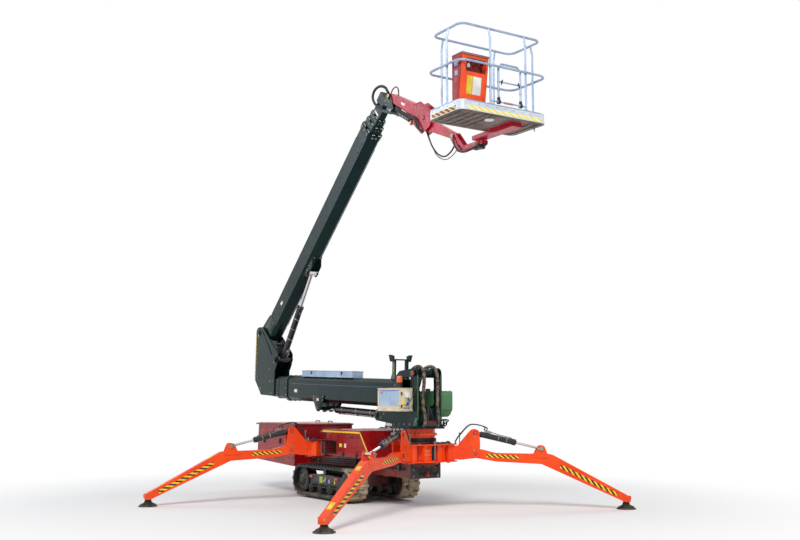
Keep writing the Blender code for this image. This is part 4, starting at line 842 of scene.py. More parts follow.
def spot_seed(spots: Sequence[tuple[Point, Point]]) -> bpy.types.Object:
    """Make a mesh of loose points that each carry the way they face.

    Args:
        spots: the place and the direction of each.

    Returns:
        The mesh object.
    """
    mesh = bpy.data.meshes.new("seed")
    mesh.from_pydata([tuple(place) for place, _ in spots], [], [])
    aim = mesh.attributes.new("aim", "FLOAT_VECTOR", "POINT")
    aim.data.foreach_set("vector", [part for _, way in spots for part in Vector(way).normalized()])
    made = bpy.data.objects.new("seed", mesh)
    bpy.context.scene.collection.objects.link(made)
    return made


class Bolts:
    """Hexagon bolts with washers, one on each given spot."""

    tree: Tree | None = None

    @classmethod
    def _build(cls) -> Tree:
        """Build the tree: a washer, a hexagon and a short domed thread end on each spot.

        Returns:
            The tree.
        """
        made = Tree("bolts", (("Radius", "NodeSocketFloat", 0.01), ("Height", "NodeSocketFloat", 0.007),
                              ("Turn", "NodeSocketFloat", 1.0), ("Seed", "NodeSocketInt", 3)))
        graph = made.graph
        radius, height = made.value("Radius"), made.value("Height")
        head = graph.add("GeometryNodeMeshCylinder", {"Vertices": 6, "Radius": radius, "Depth": height})
        washer = graph.add("GeometryNodeMeshCylinder", {
            "Vertices": 14, "Radius": graph.maths("MULTIPLY", radius, 1.45),
            "Depth": graph.maths("MULTIPLY", height, 0.35)})
        thread = graph.add("GeometryNodeMeshCone", {
            "Vertices": 10, "Radius Top": graph.maths("MULTIPLY", radius, 0.34),
            "Radius Bottom": graph.maths("MULTIPLY", radius, 0.48),
            "Depth": graph.maths("MULTIPLY", height, 0.45)})
        parts = []
        for node, share in ((head, 0.65), (washer, 0.10), (thread, 1.12)):
            lift = graph.add("ShaderNodeCombineXYZ", {2: graph.maths("MULTIPLY", height, share)})
            moved = graph.add("GeometryNodeTransform", {"Geometry": node.outputs[0],
                                                        "Translation": lift.outputs[0]})
            parts.append(moved.outputs[0])
        joined = graph.add("GeometryNodeJoinGeometry")
        for part in parts:
            graph.tree.links.new(part, joined.inputs[0])
        aim = graph.add("GeometryNodeInputNamedAttribute", {"Name": "aim"}, data_type="FLOAT_VECTOR")
        facing = graph.add("FunctionNodeAlignRotationToVector", {"Vector": aim.outputs[0]}, axis="Z")
        spin = graph.add("FunctionNodeRandomValue", {2: 0.0, 3: made.value("Turn"),
                                                     "Seed": made.value("Seed")},
                         data_type="FLOAT")
        axis = graph.add("FunctionNodeAxisAngleToRotation", {"Axis": (0.0, 0.0, 1.0),
                                                             "Angle": spin.outputs[1]})
        turned = graph.add("FunctionNodeRotateRotation", {0: facing.outputs[0], 1: axis.outputs[0]},
                           rotation_space="LOCAL")
        placed = graph.add("GeometryNodeInstanceOnPoints", {
            "Points": made.value("Geometry"), "Instance": joined.outputs[0], "Rotation": turned.outputs[0]})
        return made.close(placed.outputs[0])

    @classmethod
    def on(cls, name: str, body: str, frame: Matrix, spots: Sequence[tuple[Point, Point]],
           radius: float = 0.010,
           height: float = 0.008, finish: Finishes = Finishes.ZINC) -> bpy.types.Object:
        """Put a bolt on each spot of a body.

        Args:
            name: the piece's name.
            body: the body that it rides on.
            frame: the frame that the spots are given in.
            spots: the place and the direction of each bolt.
            radius: half the width of a head.
            height: the height of a head.
            finish: the finish.

        Returns:
            The bolts as one piece.
        """
        if cls.tree is None:
            cls.tree = cls._build()
        turn = frame.to_3x3()
        placed = [(frame @ Vector(place), turn @ Vector(way)) for place, way in spots]
        return cls.tree.apply(spot_seed(placed), name, body, finish,
                              {"Radius": radius, "Height": height, "Turn": 1.0, "Seed": 3}, smooth=20.0)


class Blocks:
    """Blocks along a line, such as lugs, teeth and links, each turned along it."""

    tree: Tree | None = None

    @classmethod
    def _build(cls) -> Tree:
        """Build the tree: resample the line, put a tapered block on each point and stagger them.

        Returns:
            The tree.
        """
        made = Tree("blocks", (("Count", "NodeSocketInt", 10), ("Length", "NodeSocketFloat", 0.05),
                               ("Width", "NodeSocketFloat", 0.05), ("Height", "NodeSocketFloat", 0.02),
                               ("Taper", "NodeSocketFloat", 0.8), ("Stagger", "NodeSocketFloat", 0.0),
                               ("Across", "NodeSocketVector", (0.0, 1.0, 0.0)),
                               ("Spread", "NodeSocketFloat", 0.0), ("Seed", "NodeSocketInt", 5)))
        graph = made.graph
        line = graph.add("GeometryNodeMeshToCurve", {"Mesh": made.value("Geometry")})
        points = graph.add("GeometryNodeCurveToPoints", {"Curve": line.outputs[0],
                                                         "Count": made.value("Count")},
                           mode="COUNT")
        half = graph.maths("MULTIPLY", made.value("Width"), 0.7071)
        block = graph.add("GeometryNodeMeshCone", {
            "Vertices": 4, "Radius Bottom": half,
            "Radius Top": graph.maths("MULTIPLY", half, made.value("Taper")), "Depth": made.value("Height")})
        stretch = graph.add("ShaderNodeCombineXYZ", {
            0: graph.maths("DIVIDE", made.value("Length"), made.value("Width")), 1: 1.0, 2: 1.0})
        squared = graph.add("GeometryNodeTransform", {"Geometry": block.outputs[0],
                                                      "Rotation": (0.0, 0.0, math.pi / 4)})
        sized = graph.add("GeometryNodeTransform", {"Geometry": squared.outputs[0],
                                                    "Scale": stretch.outputs[0]})
        along = graph.add("FunctionNodeAlignRotationToVector", {"Vector": points.outputs["Tangent"]},
                          axis="X")
        level = graph.add("FunctionNodeAlignRotationToVector", {
            "Rotation": along.outputs[0], "Vector": made.value("Across")}, axis="Y", pivot_axis="X")
        grow = graph.add("FunctionNodeRandomValue", {
            2: graph.maths("SUBTRACT", 1.0, made.value("Spread")), 3: 1.0, "Seed": made.value("Seed")},
            data_type="FLOAT")
        scale = graph.add("ShaderNodeCombineXYZ", {0: 1.0, 1: 1.0, 2: grow.outputs[1]})
        placed = graph.add("GeometryNodeInstanceOnPoints", {
            "Points": points.outputs[0], "Instance": sized.outputs[0], "Rotation": level.outputs[0],
            "Scale": scale.outputs[0]})
        place = graph.add("GeometryNodeInputIndex")
        odd = graph.maths("MODULO", place.outputs[0], 2.0)
        sway = graph.maths("MULTIPLY", graph.maths("SUBTRACT", graph.maths("MULTIPLY", odd, 2.0), 1.0),
                           made.value("Stagger"))
        aside = graph.add("ShaderNodeCombineXYZ", {1: sway})
        moved = graph.add("GeometryNodeTranslateInstances", {
            "Instances": placed.outputs[0], "Translation": aside.outputs[0], "Local Space": True})
        return made.close(moved.outputs[0])

    @classmethod
    def along(cls, name: str, body: str, finish: Finishes | Finish, points: Sequence[Point], count: int,
              size: Point, closed: bool = False, taper: float = 0.8, stagger: float = 0.0,
              across: Point = (0.0, 1.0, 0.0), spread: float = 0.0) -> bpy.types.Object:
        """Put blocks along a line that is given in the machine's frame.

        Args:
            name: the piece's name.
            body: the body that it rides on.
            finish: the finish.
            points: the line.
            count: how many blocks there are.
            size: length along the line, width across it and height.
            closed: whether the line comes back to its start.
            taper: how wide the top is, as a share of the foot.
            stagger: how far every other block lies to one side.
            across: the direction that stays across every block.
            spread: how much the heights differ, as a share.

        Returns:
            The blocks as one piece.
        """
        if cls.tree is None:
            cls.tree = cls._build()
        return cls.tree.apply(line_seed(points, closed), name, body, finish, {
            "Count": count, "Length": size[0], "Width": size[1], "Height": size[2], "Taper": taper,
            "Stagger": stagger, "Across": tuple(across), "Spread": spread, "Seed": 5}, smooth=20.0)


class Pipes:
    """Hoses and pipes that follow a line, with a wound guard where one is wanted."""

    tree: Tree | None = None

    @classmethod
    def _build(cls) -> Tree:
        """Build the tree: a round profile swept along the line, and rings for the guard's turns.

        Returns:
            The tree.
        """
        made = Tree("pipes", (("Radius", "NodeSocketFloat", 0.01), ("Sides", "NodeSocketInt", 12),
                              ("Rings", "NodeSocketInt", 0), ("Ring width", "NodeSocketFloat", 0.008),
                              ("Ring rise", "NodeSocketFloat", 0.0015), ("Lean", "NodeSocketFloat", 0.25)))
        graph = made.graph
        line = graph.add("GeometryNodeMeshToCurve", {"Mesh": made.value("Geometry")})
        circle = graph.add("GeometryNodeCurvePrimitiveCircle", {"Resolution": made.value("Sides"),
                                                               "Radius": made.value("Radius")})
        tube = graph.add("GeometryNodeCurveToMesh", {"Curve": line.outputs[0],
                                                     "Profile Curve": circle.outputs[0], "Fill Caps": True})
        points = graph.add("GeometryNodeCurveToPoints", {"Curve": line.outputs[0],
                                                         "Count": made.value("Rings")},
                           mode="COUNT")
        ring = graph.add("GeometryNodeMeshCylinder", {
            "Vertices": 12, "Radius": graph.maths("ADD", made.value("Radius"), made.value("Ring rise")),
            "Depth": made.value("Ring width")})
        tilt = graph.add("FunctionNodeAxisAngleToRotation", {"Axis": (1.0, 0.0, 0.0),
                                                             "Angle": made.value("Lean")})
        turned = graph.add("FunctionNodeRotateRotation", {0: points.outputs["Rotation"], 1: tilt.outputs[0]},
                           rotation_space="LOCAL")
        placed = graph.add("GeometryNodeInstanceOnPoints", {
            "Points": points.outputs[0], "Instance": ring.outputs[0], "Rotation": turned.outputs[0]})
        some = graph.maths("GREATER_THAN", made.value("Rings"), 0.5)
        chosen = graph.add("GeometryNodeSwitch", {0: some, "True": placed.outputs[0]}, input_type="GEOMETRY")
        joined = graph.add("GeometryNodeJoinGeometry")
        graph.tree.links.new(tube.outputs[0], joined.inputs[0])
        graph.tree.links.new(chosen.outputs[0], joined.inputs[0])
        return made.close(joined.outputs[0])

    @classmethod
    def run(cls, name: str, body: str | Bridge, points: Sequence[Point], radius: float,
            finish: Finishes = Finishes.HOSE, rings: int = 0, ring_width: float = 0.008,
            sides: int = 12) -> bpy.types.Object:
        """Lay a hose along points that are given in the machine's frame.

        Args:
            name: the piece's name.
            body: the body that it rides on.
            points: its centre line.
            radius: its radius.
            finish: the finish.
            rings: how many turns its guard has.
            ring_width: how wide each turn is.
            sides: the sides of its section.

        Returns:
            The hose as one piece.
        """
        if cls.tree is None:
            cls.tree = cls._build()
        return cls.tree.apply(line_seed(points), name, body, finish, {
            "Radius": radius, "Sides": sides, "Rings": rings, "Ring width": ring_width,
            "Ring rise": radius * 0.07,
            "Lean": 0.28}, smooth=50.0)


class Grid:
    """A plate's raised pattern or a row of slats: the same small shape in rows over a rectangle."""

    tree: Tree | None = None

    @classmethod
    def _build(cls) -> Tree:
        """Build the tree: a grid of points, a block on each and every other row turned the other way.

        Returns:
            The tree.
        """
        made = Tree("pattern", (("Long", "NodeSocketFloat", 1.0), ("Wide", "NodeSocketFloat", 1.0),
                                ("Columns", "NodeSocketInt", 10), ("Rows", "NodeSocketInt", 10),
                                ("Length", "NodeSocketFloat", 0.03), ("Width", "NodeSocketFloat", 0.006),
                                ("Height", "NodeSocketFloat", 0.0015), ("Turn", "NodeSocketFloat", 0.785)))
        graph = made.graph
        grid = graph.add("GeometryNodeMeshGrid", {
            "Size X": made.value("Long"), "Size Y": made.value("Wide"),
            "Vertices X": made.value("Columns"), "Vertices Y": made.value("Rows")})
        block = graph.add("GeometryNodeMeshCone", {
            "Vertices": 6, "Radius Bottom": graph.maths("MULTIPLY", made.value("Length"), 0.5),
            "Radius Top": graph.maths("MULTIPLY", made.value("Length"), 0.36), "Depth": made.value("Height")})
        share = graph.maths("DIVIDE", made.value("Width"), made.value("Length"))
        thin = graph.add("ShaderNodeCombineXYZ", {0: 1.0, 1: share, 2: 1.0})
        slim = graph.add("GeometryNodeTransform", {"Geometry": block.outputs[0], "Scale": thin.outputs[0]})
        index = graph.add("GeometryNodeInputIndex")
        row = graph.maths("FLOOR", graph.maths("DIVIDE", index.outputs[0], made.value("Rows")))
        odd = graph.maths("MODULO", graph.maths("ADD", row, index.outputs[0]), 2.0)
        angle = graph.maths("MULTIPLY", graph.maths("SUBTRACT", graph.maths("MULTIPLY", odd, 2.0), 1.0),
                            made.value("Turn"))
        spin = graph.add("FunctionNodeAxisAngleToRotation", {"Axis": (0.0, 0.0, 1.0), "Angle": angle})
        placed = graph.add("GeometryNodeInstanceOnPoints", {
            "Points": grid.outputs[0], "Instance": slim.outputs[0], "Rotation": spin.outputs[0]})
        return made.close(placed.outputs[0])

    @classmethod
    def on(cls, name: str, body: str, finish: Finishes | Finish, frame: Matrix, size: Point,
           counts: tuple[int, int], bump: Point, turn: float = math.pi / 4,
           slot: str = "") -> bpy.types.Object:
        """Lay a pattern over a rectangle in the X and Y of a frame.

        Args:
            name: the piece's name.
            body: the body that it rides on.
            finish: the finish.
            frame: where the rectangle's middle is and how it is turned.
            size: the rectangle's two sides.
            counts: how many shapes there are along each.
            bump: the length, width and height of one shape.
            turn: how far each shape is turned, every other one the other way.
            slot: the record's material slot, where it has one; not used.

        Returns:
            The pattern as one piece.
        """
        if cls.tree is None:
            cls.tree = cls._build()
        return cls.tree.apply(line_seed([(0, 0, 0), (0.001, 0, 0)]), name, body, finish, {
            "Long": size[0], "Wide": size[1], "Columns": counts[0], "Rows": counts[1],
            "Length": bump[0], "Width": bump[1], "Height": bump[2], "Turn": turn}, slot, 20.0, frame)


@dataclass(frozen=True)
class Outrigger:
    """Where one outrigger swings and which way its leg points."""

    name: str
    pivot: tuple[float, float]
    azimuth: float


OUTRIGGERS = (
    Outrigger("front_near", (0.264, -0.330), -56.6),
    Outrigger("front_far", (0.264, 0.330), 56.6),
    Outrigger("rear_near", (-1.930, -0.694), -100.0),
    Outrigger("rear_far", (-1.930, 0.694), 148.0),
)


@dataclass
class Layout:
    """The frame of each body at rest, about the slewing axis that the CAD gives."""

    slew: Vector
    reach: float = 0.390
    leg_pin_z: float = 0.791
    ram_pin_z: float = 1.076
    knee: tuple[float, float] = (0.951, 0.063)
    luff: tuple[float, float] = (0.185, 1.933)
    lower_rise: float = 1.87
    elbow: tuple[float, float] = (-5.220, 2.820)
    upper_angle: float = 41.0
    lift_foot: tuple[float, float] = (-0.840, 1.330)
    lift_eye: tuple[float, float] = (-2.770, 1.410)
    upper_foot: tuple[float, float] = (-4.500, 2.290)
    upper_eye: tuple[float, float] = (2.000, -0.475)
    jib_foot: tuple[float, float] = (-0.650, 6.051)
    jib_eye: tuple[float, float] = (-0.080, 5.725)

    @classmethod
    def from_frame(cls) -> "Layout":
        """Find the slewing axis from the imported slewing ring.

        Returns:
            The layout.
        """
        low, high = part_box("slew_gear")
        return cls(slew=Vector(((low.x + high.x) / 2, (low.y + high.y) / 2, 0)))

    def machine(self) -> Matrix:
        """Return the machine's own frame, which the turret shares at rest."""
        return Matrix.Translation(self.slew)

    @staticmethod
    def aimed(origin: Point, along: Point, upward: Point) -> Matrix:
        """Return a frame with X along one direction and Z near another.

        Args:
            origin: where the frame stands.
            along: its X direction.
            upward: about where its Z points.

        Returns:
            The frame.
        """
        first = Vector(along).normalized()
        second = Vector(upward).cross(first).normalized()
        third = first.cross(second)
        turn = Matrix((first, second, third)).transposed().to_4x4()
        return Matrix.Translation(origin) @ turn

    def bracket(self, rig: Outrigger) -> Matrix:
        """Return the frame of a swing bracket, on its upright pin."""
        place = Matrix.Translation((*rig.pivot, 0))
        return self.machine() @ place @ Matrix.Rotation(math.radians(rig.azimuth), 4, "Z")

    def leg(self, rig: Outrigger) -> Matrix:
        """Return the frame of a leg, on its pin."""
        return self.bracket(rig) @ Matrix.Translation((self.reach, 0, self.leg_pin_z))

    def leg_ram(self, rig: Outrigger) -> Matrix:
        """Return the frame of a leg's ram, on its upper pin and along its rod."""
        drop = math.atan2(self.ram_pin_z - self.leg_pin_z - self.knee[1], self.knee[0])
        return (self.bracket(rig) @ Matrix.Translation((self.reach, 0, self.ram_pin_z))
                @ Matrix.Rotation(drop, 4, "Y"))

    def lower(self) -> Matrix:
        """Return the lower boom's frame, with X towards the elbow and Y to the near side."""
        rise = math.radians(self.lower_rise)
        return self.aimed(self.slew + Vector((self.luff[0], 0, self.luff[1])),
                          (-math.cos(rise), 0, math.sin(rise)), (math.sin(rise), 0, math.cos(rise)))

    def upper(self) -> Matrix:
        """Return the upper boom's frame, with X towards the jib and Y to the far side."""
        rise = math.radians(self.upper_angle)
        return self.aimed(self.slew + Vector((self.elbow[0], 0, self.elbow[1])),
                          (math.cos(rise), 0, math.sin(rise)), (-math.sin(rise), 0, math.cos(rise)))

    def lift_ram(self) -> Matrix:
        """Return the lift ram's frame, from its foot towards its eye."""
        foot, eye = self.slew + self.flat(self.lift_foot), self.slew + self.flat(self.lift_eye)
        return self.aimed(foot, eye - foot, (0, 0, 1))

    def upper_ram(self) -> Matrix:
        """Return the upper ram's frame, from its eye on the boom towards its foot at the elbow."""
        eye = self.upper() @ Vector((self.upper_eye[0], 0, self.upper_eye[1]))
        foot = self.slew + self.flat(self.upper_foot)
        return self.aimed(eye, foot - eye, (-1, 0, 1))

    def jib_ram(self) -> Matrix:
        """Return the jib ram's frame, from its foot towards its eye."""
        foot, eye = self.slew + self.flat(self.jib_foot), self.slew + self.flat(self.jib_eye)
        return self.aimed(foot, eye - foot, (0, 0, 1))

    @staticmethod
    def flat(place: tuple[float, float]) -> Vector:
        """Return a place in X and Z as a point in the middle plane."""
        return Vector((place[0], 0, place[1]))

    def spots(self, points: Sequence[Point]) -> list[Vector]:
        """Return points of the machine's own frame in the shared frame."""
        return [self.slew + Vector(p) for p in points]


@dataclass
class PinCap:
    """A joint pin's visible end: a turned head, a keeper plate and its two screws."""

    radius: float
    finish: Finishes = Finishes.DARK_STEEL
    keeper: Finishes = Finishes.ZINC

    def add(self, name: str, body: str, frame: Matrix, place: Point, way: Point,
            along: Point = (1, 0, 0)) -> None:
        """Put a pin's head on a side of a body.

        Args:
            name: the piece's name.
            body: the body that it rides on.
            frame: the frame of place and way.
            place: the middle of the pin where it leaves the side.
            way: the direction outwards.
            along: the direction of the keeper plate.
        """
        out = Vector(way).normalized()
        r = self.radius
        head = Draft(frame).lathe(((r, 0), (r, 0.006), (r * 0.92, 0.009), (r * 0.5, 0.010), (r * 0.42, 0.007),
                                   (r * 0.14, 0.006)), place, out, 24)
        head.keep(name, body, self.finish)
        side = Vector(along).normalized()
        across = out.cross(side)
        base = Vector(place) + out * 0.0045
        corners = [base + side * a + across * b for a, b in ((r * 0.75, -0.011), (r * 2.3, -0.011),
                                                              (r * 2.3, 0.011), (r * 0.75, 0.011))]
        plate = Draft(frame)
        low = [plate.shape.verts.new(c - out * 0.004) for c in corners]
        high = [plate.shape.verts.new(c) for c in corners]
        plate.shape.faces.new(low[::-1])
        plate.shape.faces.new(high)
        for index in range(4):
            after = (index + 1) % 4
            plate.shape.faces.new((low[index], low[after], high[after], high[index]))
        plate.keep(name + "_keeper", body, self.keeper)
        spots = [(Vector(place) + out * 0.004 + side * (r * share), out) for share in (1.25, 1.95)]
        Bolts.on(name + "_screws", body, frame, spots, 0.006, 0.005)


@dataclass
class Tracks:
    """The two rubber tracks: their lugs, teeth, wheels, side plates and guards."""

    layout: Layout
    centre_x: float = -1.860
    length: float = 1.945
    height: float = 0.500
    lift: float = 0.030
    lug: float = 0.026
    belt: float = 0.028
    width: float = 0.300
    outer_y: float = 0.615
    wheel_half: float = 0.080

    def __post_init__(self) -> None:
        """Work out the oval that the belt follows."""
        self.end = (self.height - 2 * self.lug) / 2
        self.straight = self.length - 2 * self.lug - 2 * self.end
        self.middle_z = self.lift + self.lug + self.end

    def oval(self, lift: float, y: float, steps: int = 14) -> list[Vector]:
        """Return the oval at a height over the belt's face, in the shared frame.

        Args:
            lift: how far outside the belt's face it runs.
            y: how far to the side it lies.
            steps: the pieces of each end.

        Returns:
            The closed line's points.
        """
        points = []
        half = self.straight / 2
        for index in range(12):
            points.append((self.centre_x - half + self.straight * index / 12, y,
                           self.middle_z - self.end - lift))
        for index in range(steps):
            angle = -math.pi / 2 + math.pi * index / steps
            points.append((self.centre_x + half + (self.end + lift) * math.cos(angle), y,
                           self.middle_z + (self.end + lift) * math.sin(angle)))
        for index in range(12):
            points.append((self.centre_x + half - self.straight * index / 12, y,
                           self.middle_z + self.end + lift))
        for index in range(steps):
            angle = math.pi / 2 + math.pi * index / steps
            points.append((self.centre_x - half + (self.end + lift) * math.cos(angle), y,
                           self.middle_z + (self.end + lift) * math.sin(angle)))
        return self.layout.spots(points)

    def build(self, tread: TreadFinish) -> None:
        """Dress both tracks."""
        for side, name in ((NEAR, "near"), (FAR, "far")):
            self._belt(side, name, tread)
            self._wheels(side, name)
            self._frame(side, name)

    def _belt(self, side: int, name: str, tread: TreadFinish) -> None:
        """Add the lugs outside the belt and the guide teeth inside it.

        Args:
            side: which side it is on.
            name: its name.
            tread: the tracks' finish.
        """
        y = side * (self.outer_y - self.width / 2)
        for place, label in ((-0.078, "inner"), (0.078, "outer")):
            line = self.oval(self.lug * 0.55, y + place)
            Blocks.along(f"tread_lugs_{label}_{name}", "chassis", tread, line, 44,
                         (0.062, 0.092, self.lug * 1.02), closed=True, taper=0.78, stagger=0.026, spread=0.08)
        for edge in (-1, 1):
            Blocks.along(f"tread_edge_{'inner' if edge < 0 else 'outer'}_{name}", "chassis", tread,
                         self.oval(0.004, y + edge * (self.width / 2 - 0.016)), 88, (0.024, 0.026, 0.016),
                         closed=True, taper=0.7)
        Blocks.along(f"guide_teeth_{name}", "chassis", tread, self.oval(-self.belt - 0.012, y, 14), 44,
                     (0.040, 0.030, 0.032), closed=True, taper=1.6)

    def _wheels(self, side: int, name: str) -> None:
        """Add the sprocket, the idler and the caps of the rollers.

        Args:
            side: which side it is on.
            name: its name.
        """
        y = side * (self.outer_y - self.width / 2)
        face = y + side * self.wheel_half
        out = (0, side, 0)
        frame = self.layout.machine()
        rim = self.end - self.belt
        for end, label in ((-1, "sprocket"), (1, "idler")):
            x = self.centre_x + end * self.straight / 2
            wheel = Draft(frame).lathe(((rim * 0.88, 0.0), (rim * 0.88, 0.006), (rim * 0.80, 0.010),
                                        (rim * 0.62, -0.002 + 0.006), (rim * 0.55, 0.004),
                                        (rim * 0.40, 0.018),
                                        (rim * 0.32, 0.030), (rim * 0.14, 0.034), (rim * 0.10, 0.030)),
                                       (x, face, self.middle_z), out, 36)
            wheel.keep(f"{label}_{name}", "chassis", Finishes.BLACK)
            spots = [((x + rim * 0.47 * math.cos(a), face + side * 0.011,
                       self.middle_z + rim * 0.47 * math.sin(a)), out)
                     for a in (math.pi * 2 * k / 8 for k in range(8))]
            Bolts.on(f"{label}_bolts_{name}", "chassis", frame, spots, 0.009, 0.008, Finishes.DARK_STEEL)
        floor_z = self.middle_z - self.end + self.belt
        for index in range(4):
            x = self.centre_x + self.straight * (index / 3 - 0.5) * 0.62
            Draft(frame).lathe(((0.066, 0), (0.066, 0.004), (0.050, 0.006), (0.046, 0.002), (0.030, 0.002),
                                (0.026, 0.014), (0.012, 0.016)), (x, face, floor_z + 0.070), out, 24
                               ).keep(f"roller_cap_{index}_{name}", "chassis", Finishes.DARK_STEEL)

    def _frame(self, side: int, name: str) -> None:
        """Add the outer side plate of the track frame with its signs, lamps and bolts.

        Args:
            side: which side it is on.
            name: its name.
        """
        frame = self.layout.machine()
        face = side * (self.outer_y - self.width / 2 + 0.055)
        half = self.straight / 2 - 0.10
        z = self.middle_z
        x = self.centre_x
        outline = ((x - half, z - 0.060), (x + half, z - 0.060), (x + half + 0.03, z), (x + half, z + 0.085),
                   (x + 0.20, z + 0.105), (x - 0.25, z + 0.105), (x - half, z + 0.085), (x - half - 0.03, z))
        Draft(frame).plate(outline, 0.010, face + side * 0.005, soft=0.003).keep(
            f"track_side_{name}", "chassis", Finishes.BLACK)
        spots = [((x + a, face + side * 0.010, z + b), (0, side, 0))
                 for a in (-half + 0.05, -half / 2, half / 2, half - 0.05) for b in (-0.038, 0.066)]
        Bolts.on(f"track_side_bolts_{name}", "chassis", frame, spots, 0.009, 0.008, Finishes.DARK_STEEL)
        rail = [(x + a, face + side * 0.010, z - 0.100) for a in np.linspace(-half * 0.9, half * 0.9, 26)]
        Blocks.along(f"guide_shoe_{name}", "chassis", Finishes.DARK_STEEL, self.layout.spots(rail), 24,
                     (0.030, 0.030, 0.030), taper=0.6)
        outer = face + side * 0.011
        order = 1 if side < 0 else -1

        def sign(label: str, middle: float, low: float, wide: float, high: float, finish: Finishes) -> None:
            """Add one blank sign on the side plate."""
            corners = [(middle - order * wide / 2, outer, low), (middle + order * wide / 2, outer, low),
                       (middle + order * wide / 2, outer, low + high),
                       (middle - order * wide / 2, outer, low + high)]
            Draft(frame).strip(corners, 0.0008, 1.0).keep(f"{label}_{name}", "chassis", finish)

        sign("track_sign_green", x - 0.14, z - 0.030, 0.105, 0.100, Finishes.GREEN_SIGN)
        sign("track_sign_pale", x + 0.12, z - 0.020, 0.050, 0.055, Finishes.SMALL_SIGN)
        sign("track_sign_yellow", x + 0.30, z - 0.025, 0.030, 0.060, Finishes.YELLOW_SIGN)
        for offset, label in ((-0.46, "rear"), (0.36, "front")):
            Draft(frame).box((0.105, 0.016, 0.034), (x + offset, outer + side * 0.006, z + 0.055),
                             soft=0.006).keep(
                f"side_lamp_{label}_{name}", "chassis", Finishes.RED_LAMP)
            Draft(frame).box((0.125, 0.008, 0.050), (x + offset, outer, z + 0.055), soft=0.004).keep(
                f"side_lamp_seat_{label}_{name}", "chassis", Finishes.GRILLE)
        hub = Draft(frame).lathe(((0.048, 0), (0.048, 0.010), (0.040, 0.014), (0.036, 0.006), (0.020, 0.006),
                                  (0.016, 0.016), (0.006, 0.018)), (x, outer - side * 0.002, z + 0.022),
                                 (0, side, 0), 28)
        hub.keep(f"tension_cap_{name}", "chassis", Finishes.STEEL)


